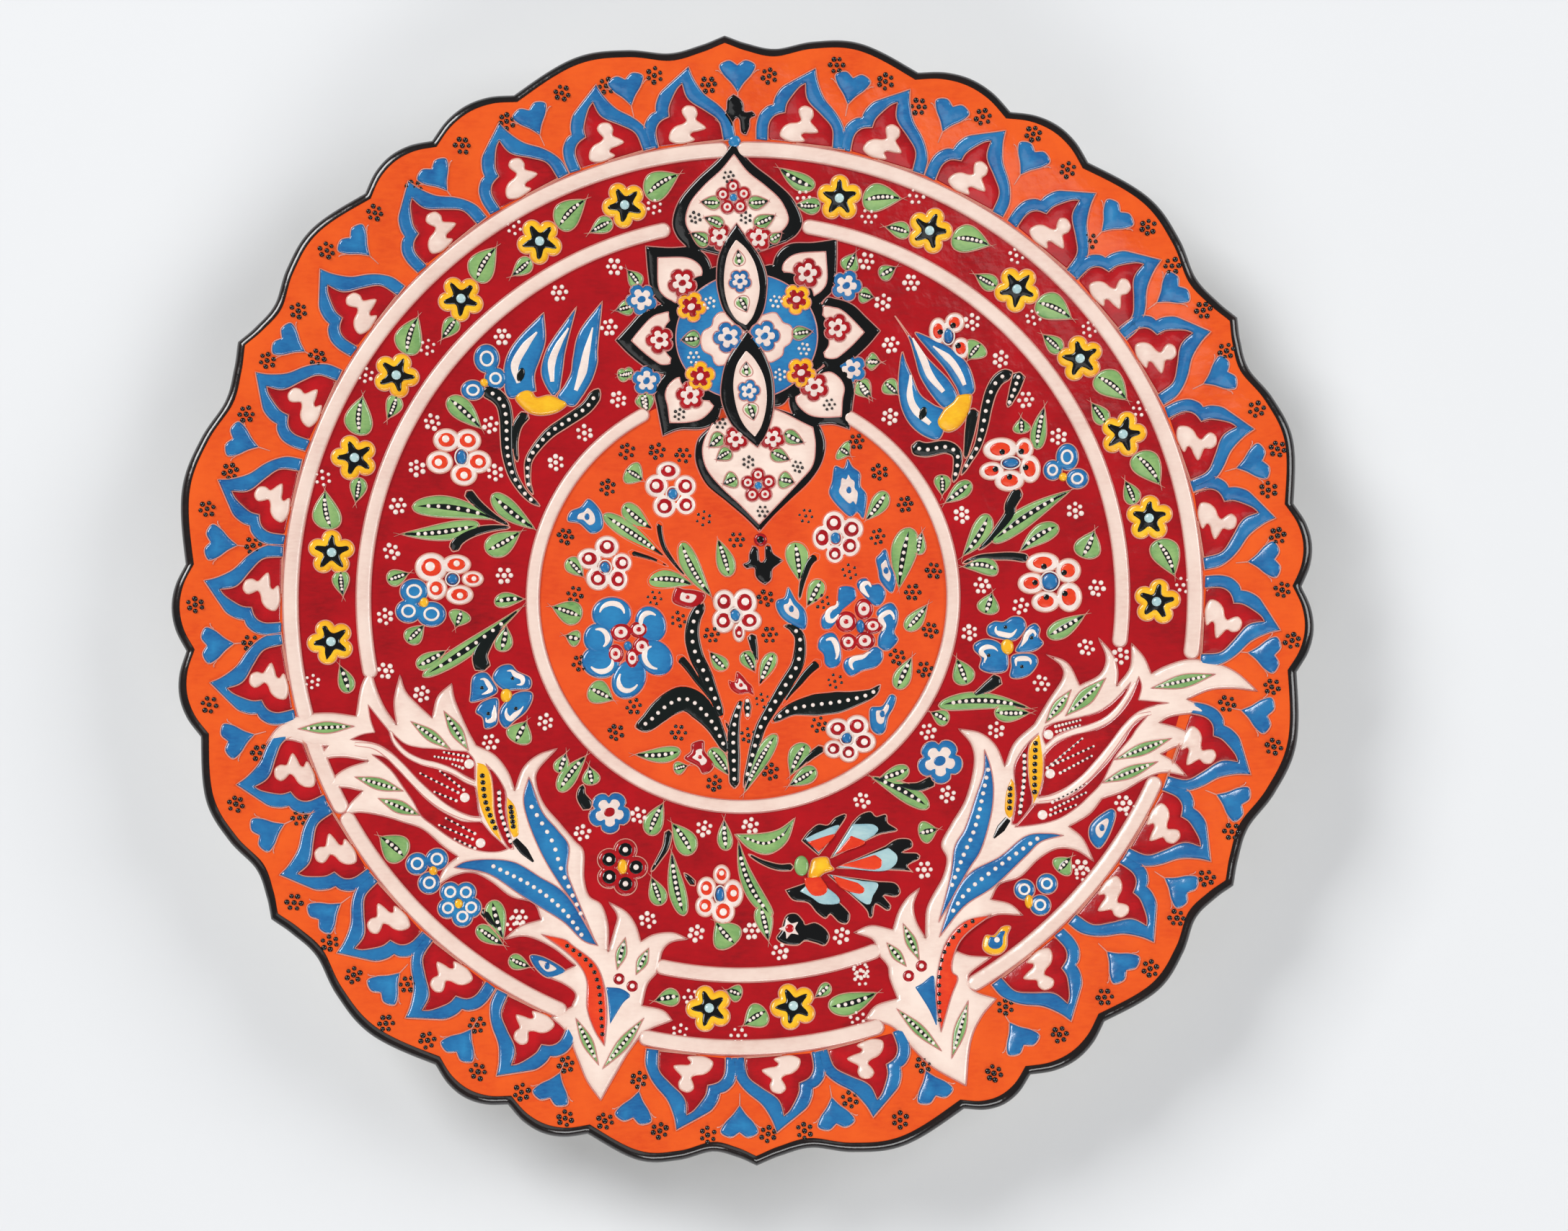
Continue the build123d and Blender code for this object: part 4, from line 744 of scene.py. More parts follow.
# ---- field ----
FIELD_LEAVES = [
    ((-78.5, 56.5), (-69.8, 48), 5, 5), ((-89, 27), (-66, 23), 5, 6, 1.4),
    ((-67.5, 30), (-56, 20.3), 4.5, 5), ((-71, 21.8), (-92.5, 19.5), 4.2, 8, 0.8),
    ((-69.5, 14.5), (-60, 19.8), 5.5, 5), ((-96, 6.8), (-90.3, 8.8), 3.8, 4),
    ((-91, -10), (-86.5, -5.5), 4.2, 4), ((-76.5, -1.5), (-78, -6), 5, 3),
    ((-88.5, -16.8), (-80.7, -12.5), 3.8, 4), ((-87, -19.5), (-59.8, -0.7), 3.6, 8),
    ((-67.5, 0.5), (-59.5, 1.2), 3.4, 3), ((-66, -13), (-64.5, -6), 4, 3),
    ((-62.5, -38), (-59.5, -32.3), 6, 3), ((-51, -46.5), (-49, -41.3), 3.6, 3),
    ((-51, -51.5), (-43.5, -42), 4, 6), ((-42, -50), (-42.8, -45), 4, 3),
    ((-27, -64), (-23, -55.5), 4.4, 5), ((-15.5, -69.5), (-20.8, -61), 5, 5),
    ((-6.3, -68.8), (-6.7, -60.5), 3.4, 4), ((5.5, -87), (-3, -66), 3.6, 10, 2.0),
    ((2.5, -84), (4.5, -93.5), 4, 5), ((-24, -83), (-26.5, -75.5), 4, 5),
    ((-18, -86), (-21, -68.5), 3.8, 8), ((-4.5, -94), (-9.5, -88), 7, 4),
    ((-92, -68.5), (-98.5, -62.7), 6.5, 4), ((-69, -80.5), (-66, -91), 4.6, 4),
    ((-73, -87.5), (-66, -92.5), 3.6, 5), ((-64.5, -96), (-59, -98.5), 3.4, 4),
    ((-32.5, 62), (-28.3, 62.3), 3, 4), ((-26, 56.5), (-25, 52), 3.6, 3),
    ((48.5, -59), (33, -50), 4.2, 6), ((43.5, -48.3), (35, -51), 3.6, 4),
    ((45.5, -66), (50.5, -65), 5, 3), ((54.5, -36), (50, -33.3), 3.6, 3),
    ((52, -31.5), (77, -33.5), 4, 10, 1.8), ((67, -34), (76.5, -34.5), 4, 5),
    ((60, -26), (57.5, -19), 5, 4), ((82, -14), (92.3, -8.5), 4.2, 5),
    ((65.5, -7), (67.5, -1.5), 5, 3), ((69.5, 4.5), (60, 6), 4.2, 5, -1.2),
    ((92, 7), (95.5, 14), 6, 4), ((86, 16), (75.5, 9.5), 4.4, 5),
    ((67.5, 20), (60, 9), 4.6, 5), ((68, 12.5), (90, 25.5), 4.6, 8),
    ((77, 41.5), (77, 45.7), 4, 3), ((81, 37), (83.5, 48.5), 3.6, 6),
    ((55, 31.5), (55, 26), 3.8, 4), ((63, 29), (55.8, 23.8), 3.8, 4),
    ((67, 66.5), (63.5, 62.5), 5.5, 4), ((40.5, 57.5), (44, 54), 4, 4),
    ((33.5, 57.5), (35.8, 53.5), 4, 3), ((36, 63.5), (39.5, 63), 4, 3),
    ((82, -77.5), (85.5, -74), 5, 3),
]
FIELD_ROSETTES = [
    (-63.5, 73), (-83, 50), (-67.5, 49), (-87.5, 37.5), (-66.5, 36), (-50, 38.5), (-42, 46.4),
    (-92.7, 27.3), (-94.7, 14.7), (-96.7, -2.9), (-96.7, -17.7), (-87.3, -24.2), (-64.7, 7.8),
    (-54.4, -32.5), (-34.4, 75), (-32.5, 55.4), (-69.2, -37.7), (-44.9, -62.8), (-29.7, -58.7),
    (-12.2, -62.6), (0.3, -62.3), (-27.7, -86.8), (-14.7, -90.8), (0.1, -90.6), (7.5, -96.4),
    (23.9, -92.6), (-61.8, -85.2), (42.5, 67.5), (41.6, 48), (64.7, 72.4), (72.1, 61.9),
    (78.6, 50.6), (86.9, 40.1), (60.2, 20.3), (90.7, 19.8), (64.9, 0.7), (75.1, -5.4),
    (95.6, -1.6), (61.1, -11.9), (92.2, -17.5), (101.2, -20.2), (79.9, -26.7), (30.6, -56.5),
    (49, -38.5), (67.3, -38.8), (53.5, -55.7), (46.6, -75.7), (99.9, -59.9), (88, -76.7),
    (-32.3, 91.3), (-47.5, 84.6), (36.6, 90.3), (48.5, 83.9), (40.7, 79),
]
# Centre of a white flower (x, y, half width, half height) and its petals, in the same form.
ORANGE_RING_FLOWERS = [
    ((-75.4, 40.3, 1.4, 2.0), [(-79.3, 45, 3.2, 2.8), (-73.6, 44.8, 3.2, 2.8), (-81.3, 39, 3.2, 2.8),
                               (-71, 39, 3.2, 2.8), (-74.9, 35.6, 3.2, 2.8)]),
    ((-78.6, 7, 1.5, 1.5), [(-84.2, 10.3, 3.9, 3.6), (-77.5, 11, 3.5, 2.4), (-73.2, 7, 2.6, 1.9),
                            (-83, 4.5, 2.6, 2.8), (-76.8, 2.7, 3.3, 2.4)]),
    ((-8.2, -80.7, 1.2, 2), [(-7.7, -75.3, 2, 2.4), (-11.8, -78.9, 2.3, 2.8), (-4.8, -80.5, 2.5, 3.4),
                             (-12.2, -83.6, 2.4, 2.6), (-7.5, -85.2, 2.8, 3)]),
]
ORANGE_DISC_FLOWERS = [
    ((73.9, 33.7, 2.2, 1.3), [(71.2, 37.6, 4.2, 2.8), (77.7, 37.4, 2.2, 2.6), (68.7, 31.8, 3, 2.2),
                              (79, 31.8, 2.5, 3.4), (73.4, 28.9, 3.6, 2.6)]),
    ((83.2, 0.9, 2.2, 2.3), [(81.5, 6.1, 4, 2.5), (88.2, 3.6, 3, 3), (78.3, 0.7, 3.3, 2.6),
                             (88.2, -3.6, 3, 3.6), (81.9, -4.5, 3.4, 2.6)]),
    ((58.2, 69, 1.3, 2), [(55.5, 70.5, 2.2, 3.2), (60, 72.5, 2.4, 2.4), (61.5, 65.5, 2.2, 2.6)]),
]
BLUE_RING_FLOWERS = [
    ((-86.3, 0.7, 1.3, 1.5), [(-88.9, 3.8, 3.3, 3), (-90.5, -1.6, 3, 2.8), (-84.4, -2.5, 3.4, 3)]),
    ((-84.5, -72.2, 1.2, 1.4), [(-88.7, -70.2, 2.6, 2.6), (-83.5, -69.1, 2.6, 2.6),
                                (-85.5, -75.4, 2.6, 2.6)]),
    ((-77.8, -81.2, 1.2, 1.4), [(-80, -78, 2.4, 2.4), (-75.9, -78.2, 2.4, 2.4), (-80.6, -82.3, 2.4, 2.4),
                                (-74.5, -82.3, 2.4, 2.4), (-76.8, -84.7, 2.4, 2.4)]),
    ((74.1, -85.2, 1.2, 1.9), [(73, -82, 2.4, 2.4), (79, -80.7, 2.4, 2.4), (77, -86.3, 2.4, 2.4)]),
    ((-68.7, 60.5, 1.2, 1.2), [(-67.8, 67, 3.0, 3.4), (-71.8, 58.5, 2.8, 2.4), (-65.6, 61.6, 2.6, 2.6)]),
    ((87.8, 29.1, 1.2, 1.2), [(89.1, 34.4, 2.6, 3.2), (85.1, 31.1, 2.2, 2.4), (91.6, 28.4, 2.6, 2.4)]),
]
BIG_BLUE_PETALS = [
    [(-73.6, -19.7), (-70.3, -18.6), (-68.3, -20.9), (-67.1, -24), (-70.7, -26), (-74.3, -26.7),
     (-74.3, -24.4)],
    [(-68.3, -20.4), (-66.7, -17.3), (-63.5, -16.6), (-61.5, -18.6), (-58.2, -20.4), (-58.4, -23.3),
     (-62.2, -23.6), (-65.3, -23.6)],
    [(-62.2, -24.5), (-58.2, -24.2), (-57.7, -26.2), (-59.5, -29.6), (-62.5, -32), (-65, -34),
     (-66.8, -31.5), (-66, -28)],
    [(-67.1, -25.8), (-71.2, -26.7), (-73, -29.4), (-71.2, -31), (-70.5, -34), (-67.5, -33), (-67, -30)],
    [(66, -10.5), (68, -9.2), (70.3, -9.4), (73, -8.1), (75.6, -8.7), (76.3, -11.4), (73.4, -14.6),
     (69.4, -14.1), (66.2, -12.8)],
    [(76.5, -11.5), (78.8, -10.3), (80.1, -11.9), (79.7, -13.9), (80.8, -15.9), (77.9, -17.9),
     (73.4, -17.7), (75, -14.6)],
    [(72.5, -18.6), (77.9, -18.6), (79.2, -20.9), (77, -24), (73.9, -25.1), (71.6, -24.5), (72, -21.8)],
    [(62.4, -15), (65.3, -13.9), (68.9, -15), (71.2, -18.6), (70.7, -22.7), (66.7, -23.3),
     (63.5, -21.8), (64, -19), (62.2, -16.8)],
]
BIG_BLUE_CENTRES = [(-64.7, -25.1, 1.6, 2.0), (71.1, -16.3, 1.8, 2.2)]
DOTTED_STEMS = [
    ([(-69.5, 57.5), (-66.7, 57.6), (-64, 55), (-63.1, 50.9), (-63.1, 45.5), (-62.9, 40.6), (-61.8, 35.6),
      (-59.7, 31.6), (-57.5, 28.9), (-54.6, 26.6)], 4.2, 15),
    ([(-37.6, 58.3), (-41.1, 53.5), (-47, 49.5), (-51.4, 46.6), (-55, 42.8), (-57.3, 39.2), (-57.7, 35.6),
      (-57.5, 32.5), (-56.4, 29.8)], 3.5, 15),
    ([(75.2, 58.3), (71.6, 56.7), (69.4, 53.6), (68, 49.5), (67.1, 45.5), (66.2, 41.9), (64.9, 38.3),
      (62.6, 34.7), (60.4, 31.1)], 3.5, 11),
    ([(77.2, 58.1), (75.6, 53.5), (73.6, 48.9)], 3.6, 5),
    ([(47.2, 39.7), (51, 38.5), (56.5, 39), (59.5, 37), (59.3, 33), (58.2, 29.3)], 4.2, 8),
]
PLAIN_STEMS = [
    ([(-57.3, 52.2), (-60, 49), (-61, 44.6), (-60.4, 38.8)], 3),
    ([(-74.3, 31.1), (-71.4, 27.5), (-67.8, 24.4), (-63.1, 21.5)], 2.8),
    ([(-78.4, 14.6), (-76.8, 17.5), (-73, 19.7), (-68, 20.8), (-62.8, 21)], 3),
    ([(-70.7, -18.2), (-71.6, -14.1), (-69.6, -10.1), (-67.1, -7.4), (-65.3, -5.6)], 4.6),
    ([(-42.7, -56.5), (-45, -52.9), (-44.5, -49.8)], 3.6),
    ([(-21.6, -62.8), (-22.5, -67.3), (-24.3, -70.4), (-26.6, -74)], 2.2),
    ([(-14.9, -78), (-17.8, -74.5)], 2), ([(11.7, -73.8), (7.7, -73.8), (3.2, -72.2), (-0.4, -70)], 2),
    ([(-71.6, -82.7), (-67.1, -89)], 2.5), ([(64.4, 49.1), (63.5, 44.6), (62.6, 40.1), (61.7, 35.6)], 3.4),
    ([(76.1, 26.6), (73.4, 22.2), (73, 19.5), (68.9, 14.6), (64.4, 10.5)], 3.5),
    ([(77.9, 7.4), (73.4, 8.3), (68.9, 8.5), (64.4, 8.5), (59.9, 7)], 2.5),
    ([(68.9, -24.5), (65.3, -27.1), (61.3, -29.4)], 3.6),
    ([(50.3, -51.6), (45.8, -53.4), (41.4, -52.9), (38.2, -52.2)], 3),
]
TULIP_PETALS = [
    [[(-55, 59), (-61.5, 57.4), (-62.7, 62.5), (-61.8, 67.5), (-58.6, 72.2)],
     [(-52.5, 78), (-52.3, 71.5), (-53.7, 67), (-55.2, 63)]],
    [[(-48.3, 59.4), (-50.1, 58), (-52.6, 63), (-51.7, 68), (-49.2, 72.2)],
     [(-43.5, 79.5), (-46.5, 69.3), (-47.4, 64.3)]],
    [[(-41.8, 58), (-44.5, 55.1), (-48.2, 57.2), (-46.3, 60.3), (-44.7, 63.4), (-44.1, 67), (-42.3, 73.3)],
     [(-36.5, 80.5), (-38, 69.3), (-38.2, 65.7), (-39.6, 61.6)]],
    [[(45.8, 63.9), (44.7, 56.7), (45.2, 50.9), (47.2, 46.4), (50.8, 43.2), (54.4, 42.6), (56.2, 48.6),
      (53, 50.9), (49.9, 53.6), (48.1, 58.1), (46.7, 61.6)]],
    [[(44.7, 73.8), (47.8, 68.4), (49.2, 63.4), (50.3, 59), (52.8, 54.5), (55.9, 50.9), (58.6, 51.8),
      (59.3, 53.6), (57.3, 57.6), (54.1, 61.2), (51, 64.8)]],
    [[(50.1, 69.5), (53.7, 68.1), (58.2, 65.7), (61.7, 62.5), (63.5, 59), (64, 54.5), (60.8, 53.3),
      (59.7, 55.8), (56.8, 60.7), (53.2, 65.2)]],
]
TULIP_CUPS = [
    [(-60.4, 55.8), (-59.7, 57.6), (-57.5, 58.5), (-55.9, 58), (-54.6, 56.3), (-51.4, 56.9), (-48.3, 55.8),
     (-46.3, 54.5), (-49.2, 52.2), (-53.7, 51.4), (-57.3, 52.4)],
    [(54.8, 47.3), (56.4, 49.5), (58.8, 51.3), (59.9, 52.7), (62.2, 53.3), (64, 52.7), (63.5, 49.5),
     (62.2, 46.4), (59.9, 43.9), (57.3, 43), (55, 44.1), (54.3, 45.9)],
]
TULIP_HIGHLIGHTS = [
    ([(-59.5, 60.3), (-60.3, 65), (-57.5, 70), (-54, 74)], [0.8, 1.7, 1.5, 0.4]),
    ([(-50.3, 60.5), (-50.3, 65.5), (-48.5, 70), (-45.4, 75)], [0.8, 1.6, 1.2, 0.3]),
    ([(-44, 58), (-42, 63), (-40.8, 68), (-38.8, 75)], [0.8, 1.8, 1.3, 0.3]),
    ([(47.6, 59), (47.3, 53), (49, 49), (52.5, 45.5)], [0.4, 1.3, 1.6, 0.9]),
    ([(48.5, 69), (51, 63.5), (53, 58.5), (56.4, 54)], [0.3, 1.3, 1.5, 0.9]),
    ([(54, 66.5), (58.5, 62.5), (61, 58.5), (62.2, 55.5)], [0.3, 1.4, 1.3, 0.8]),
]
CARNATION = [
    # black lobed edge, pale band, orange heart
    ([(18.5, -70.9), (14, -66.8), (15.8, -64.6), (18.5, -62.6), (21.2, -62.8), (23.4, -60.8), (26.1, -60.8)],
     [(18.5, -70.5), (14.9, -66.4), (18.9, -64.6), (24.3, -63.2)],
     [(18.5, -70.2), (15.6, -67.3), (23, -65.5)]),
    ([(21.6, -71.8), (27.9, -62.3), (30.1, -60.3), (32.8, -59.6), (34.2, -61), (36.9, -60.5), (37.3, -62.8),
      (39.8, -64.8), (36.9, -65.5), (33.7, -66.3)],
     [(22.2, -71.4), (27.9, -62.8), (33.7, -63.2), (33.7, -65.9)], [(22.8, -71), (27.4, -65.9), (31, -68.2)]),
    ([(23, -74.5), (36.4, -69.1), (39.6, -67.3), (43.1, -67.5), (43.6, -69.5), (40.9, -70.9), (44.9, -71.3),
      (45.4, -72.7), (42.2, -74.5), (44, -76.7), (41.4, -75.8)],
     [(23.4, -74.3), (37.3, -69.5), (39.6, -71.8), (38.7, -74.5), (34.6, -75.8)],
     [(24, -74), (33.7, -71.3), (35.5, -73.1), (33.7, -75.4)]),
    ([(20.7, -76.2), (34.2, -78.5), (38.7, -79.1), (40, -81.4), (38.7, -82.7), (35.5, -82.3), (37.3, -85),
      (36.4, -86.3), (33.3, -84.5), (32.4, -87.7), (31.5, -87.9), (30.1, -85)],
     [(21.2, -76.2), (29.7, -78.2), (34.2, -79.1), (32.8, -82.3), (30.6, -84.5)],
     [(22, -76.5), (28.8, -78.7), (30.6, -80.5), (29.2, -81.8), (24.3, -80)]),
    ([(17.1, -77.6), (9.3, -80), (11.3, -82.7), (15.3, -83.6), (17.6, -86.3), (19.8, -87.9), (21.2, -86.8),
      (23.4, -89), (25.4, -89.5), (26.3, -87.7), (25.2, -85.4)],
     [(17, -77.2), (13.1, -80.5), (16.2, -82.3), (18.9, -84.1), (23.4, -84.1), (23, -81.8)],
     [(14.4, -76.9), (18.9, -76.9), (20.7, -80), (19.4, -81.8), (16.7, -81.8), (14.9, -79.6)]),
]
CALYX = [(16.2, -73.6), (17.1, -71.8), (20.7, -71.5), (21.6, -73.6), (22.5, -74.9), (19.8, -75.8),
         (18, -77.1), (15.8, -77.1), (15.6, -75.8)]
SCALLOPED_STARS = [(-37.5, -57.6, 5.8, "field_flowers_red"), (51.9, -46.6, 6.2, "field_flower_eyes")]
BLACK_FLOWER = [(8.8, -87.9), (9.9, -86.5), (12.2, -86.5), (14, -88.6), (14.4, -89.5), (17.1, -89),
                (19.8, -90.8), (20.7, -93), (19.4, -95.1), (17.1, -94.4), (14.2, -93.7), (12.2, -94.8),
                (8.6, -94.4), (6.6, -92.8), (7.9, -90.8)]
ANEMONE = [(-37.8, -70.4), (-33.4, -67.9), (-30.6, -72.7), (-37.8, -75.1), (-33.5, -77.1)]


def open_flower(group, centre, petals, mark):
    """Flower of white petals, each with a mark, round an oval centre."""
    x, y, across, tall = centre
    outlines = [ellipse(px, py, rx * WHITE_PETAL_WIDER, ry * WHITE_PETAL_WIDER)
                for px, py, rx, ry in petals]
    lines = raised(group + "_flowers_white", outlines, LOW, 0.82, edge=0.8)
    contour(group + "_contours", lines)
    for px, py, rx, ry in petals:
        if mark == "disc":
            raised(group + "_flowers_orange", [ellipse(px, py, rx * 0.66, ry * 0.66)], 0.78, 1.05, edge=0.5)
            dot(group + "_flower_specks", px + (x - px) * 0.2, py + (y - py) * 0.2, 0.85, 1.0, 0.15, 10)
        else:
            piece = "_flowers_orange" if mark == "ring" else "_flowers_red"
            ring_line = ellipse(px, py, rx * 0.7, ry * 0.7)
            raised(group + piece, [ring_line], 0.78, 1.0, edge=0.4)
            away_x, away_y = px + (px - x) * 0.06, py + (py - y) * 0.06
            dot(group + "_dots_white", away_x, away_y, min(rx, ry) * 0.38, 0.95, 0.3, 12)
    raised(group + "_flower_eyes", [ellipse(x, y, across, tall)], 0.4, 1.15, edge=0.7)
    stroke(group + "_dots_white", ellipse(x, y, across + 0.35, tall + 0.35), 0.4, 0.75, 0.3, closed=True)


def ring_flower(group, centre, petals):
    """Flower of blue petals, each with a white ring, round a yellow centre."""
    x, y, across, tall = centre
    outlines = [ellipse(px, py, rx * BLUE_PETAL_WIDER, ry * BLUE_PETAL_WIDER)
                for px, py, rx, ry in petals]
    lines = raised(group + "_flowers_blue", outlines, LOW, 0.85, edge=0.8)
    contour(group + "_contours", lines)
    for px, py, rx, ry in petals:
        stroke(group + "_dots_white", ellipse(px, py, rx * 0.55, ry * 0.55), 0.7, 0.8, 0.25, closed=True)
    raised(group + "_flower_yellow", [ellipse(x, y, across, tall)], 0.4, 1.15, edge=0.7)


def highlight(group, outline, shift, width):
    """White brush stroke that follows part of a petal."""
    line = np.array(smaller(outline, 0.55))
    count = len(line)
    picked = [line[(shift + k) % count] for k in range(int(count * 0.55))]
    stroke(group + "_strokes_white", picked, [0.3, width, width, 0.3], 0.82, 0.22)


def lobed(x, y, radius, turn, lobes=5, notch=0.74):
    """Outline with round lobes."""
    line = []
    for k in range(lobes * 8):
        angle = 360 * k / (lobes * 8)
        swell = notch + (1 - notch) * abs(math.sin(math.radians(angle * lobes / 2))) ** 0.6
        line.append(np.array((x, y)) + polar(angle + turn, radius * swell))
    return line


def lobed_flower(outer, inner, heart, x, y, radius, turn, low):
    """Lobed flower in three colours, one painted over the other."""
    lines = raised(outer, [lobed(x, y, radius, turn)], low, low + 0.26, edge=0.5)
    contour(outer.split("_")[0] + "_contours", lines, 0.36, 0.34, low)
    raised(inner, [lobed(x, y, radius * 0.68, turn, notch=0.6)], low + 0.22, low + 0.4, edge=0.4)
    raised(heart, [ellipse(x, y, radius * 0.27, radius * 0.22, turn)], low + 0.36, low + 0.52, edge=0.3)


def build_field():
    """Flowers, tulips, carnation, stems and leaves of the wide red field."""
    for entry in FIELD_LEAVES:
        leaf("field_leaves_green", *entry)
    crescent = [[(-4, -64.5), (0, -68.6), (5, -70.2), (10, -67)], [(12.5, -60.5), (8, -63.5), (3, -64.5)]]
    lines = raised("field_leaves_green", [shape(crescent)], LOW, 0.72, edge=0.7)
    contour("field_contours", lines)
    rib = catmull([(-1.5, -65.5), (4, -67.3), (8.5, -65.5), (11, -62.5)], False, 0.7)
    stroke("field_ribs_black", rib, [0.4, 1.0, 0.8, 0.3], 0.66, 0.16)
    for k in range(8):
        dot("field_dots_white", *along(rib, 0.08 + 0.1 * k), 0.45, 0.76, 0.28, 8)
    for x, y in FIELD_ROSETTES:
        rosette("field_rosettes_white", x, y)
    for centre, petals in ORANGE_RING_FLOWERS:
        open_flower("field", centre, petals, "ring")
    for centre, petals in ORANGE_DISC_FLOWERS:
        open_flower("field", centre, petals, "disc")
    for centre, petals in BLUE_RING_FLOWERS:
        ring_flower("field", centre, petals)
    for index, petal in enumerate(BIG_BLUE_PETALS):
        outline = blob(petal)
        contour("field_contours", raised("field_flowers_blue", [outline], LOW, 0.88, edge=0.9))
        highlight("field", outline, 3 + index * 5, 1.5)
        dot("field_flower_specks", *np.mean(petal, axis=0), 0.55, 0.84, 0.2)
    for x, y, across, tall in BIG_BLUE_CENTRES:
        raised("field_flower_yellow", [ellipse(x, y, across, tall)], 0.3, 1.2, edge=0.8)
    for points, width, dots in DOTTED_STEMS:
        stem("field_stems_black", points, width, dots)
    for points, width in PLAIN_STEMS:
        stem("field_stems_black", points, width)
    for petal in TULIP_PETALS:
        outline = smaller(shape(petal) if len(petal) > 1 else blob(petal[0]), TULIP_PETAL_WIDER)
        contour("field_contours", raised("tulips_blue", [outline], LOW, 0.9, edge=1.0))
    for points, widths in TULIP_HIGHLIGHTS:
        stroke("tulips_white", catmull(points, False, 0.7), [1.5 * w for w in widths], 0.84, 0.25)
    for x, y, across, tall in ((-58.8, 62.5, 1.1, 2.0), (50.6, 48.4, 1.1, 1.9)):
        raised("tulips_dark", [ellipse(x, y, across, tall, -20)], 0.84, 1.15, edge=0.5)
    for cup in TULIP_CUPS:
        contour("field_contours", raised("tulip_cups_yellow", [blob(cup)], 0.3, 1.15, edge=0.9))
    for edge, pale, heart in CARNATION:
        outline = shape([[edge[0]], list(edge[1:])], 0.6)
        contour("field_contours", raised("carnation_black", [outline], LOW, 0.8, edge=0.6))
        raised("carnation_pale", [shape([[pale[0]], list(pale[1:])], 0.6)], 0.75, 0.95, edge=0.5)
        raised("carnation_red", [shape([[heart[0]], list(heart[1:])], 0.6)], 0.9, 1.1, edge=0.5)
    contour("field_contours", raised("carnation_calyx_yellow", [blob(CALYX)], 0.3, 1.3, edge=0.9))
    raised("field_leaves_green", [ellipse(13.8, -73.6, 2.0, 2.8)], LOW, 0.9, edge=0.7)
    for x, y, radius, heart in SCALLOPED_STARS:
        lobed_flower("field_flowers_blue", "field_flowers_white", heart, x, y, radius, 20, 0.4)
    contour("field_contours", raised("field_flower_black", [blob(BLACK_FLOWER)], LOW, 0.85, edge=0.8))
    star = [np.array((10.2, -90.4)) + polar(36 * k, 2.9 if k % 2 else 1.5) for k in range(10)]
    raised("field_flowers_white", [catmull(star, True, 0.5)], 0.8, 1.02, edge=0.4)
    dot("field_flowers_red", 10.2, -90.4, 1.2, 0.98, 0.3, 12)
    petals = [ellipse(x, y, 3.1, 3.0) for x, y in ANEMONE]
    contour("field_contours", raised("field_flowers_red", petals, LOW, 0.82, edge=0.8))
    for x, y in ANEMONE:
        raised("field_flower_black", [ellipse(x, y, 1.9, 1.9)], 0.78, 0.95, edge=0.4)
        dot("field_dots_white", x, y, 0.8, 0.9, 0.3)
    raised("field_flower_yellow", [ellipse(-34.2, -72.4, 1.4, 2.1)], 0.3, 1.15, edge=0.7)


build_field()


# ---- medallion ----
MEDALLION_LEAVES = [
    ((-31, 36), (-26.5, 33), 5.5, 4), ((-32, 26.5), (-24, 19.5), 4.4, 5), ((-37.5, 24), (-20.5, 11.5), 4, 10),
    ((-47.5, 12), (-43.3, 7), 4, 4), ((-26, 5.5), (-13.5, 4), 4.6, 6, 1.0),
    ((-16.5, 16), (-8.5, 0.5), 4.4, 9),
    ((-3.5, 6), (-6.5, 16.5), 4.2, 6), ((14.5, 15), (15.5, 4), 5.5, 5), ((21.5, 4.3), (17.3, -3), 4.2, 4),
    ((46, 17.5), (42.5, 0.8), 6, 6), ((48, 10), (49.3, 16), 3.2, 4), ((44, -10.5), (50, -3.8), 3.8, 5),
    ((41, -26.5), (45.3, -18), 4, 4), ((-44, -4), (-52, -1), 5.5, 5), ((-44.5, -10), (-48.5, -9), 3.8, 2),
    ((-42.5, -23.5), (-36, -27), 5.5, 4), ((-5, -19.5), (-9.5, -14.5), 3.6, 4),
    ((-0.3, -14.8), (2.7, -20.5), 3.8, 5), ((8, -15.3), (3.7, -24.3), 3.6, 5),
    ((-18, -41.5), (-30.5, -42), 3.6, 5),
    ((-20, -46.5), (-16.3, -45.5), 3, 4), ((-10, -41), (-5, -48.5), 3.8, 6),
    ((8, -37.5), (-1.2, -53.5), 3.8, 11),
    ((16, -40.5), (11.5, -49), 4.8, 5), ((18.5, -47.5), (11, -51.8), 4, 5), ((27.5, 40), (30.2, 38), 5, 3),
    ((40, 27.5), (34, 20), 4, 5),
]
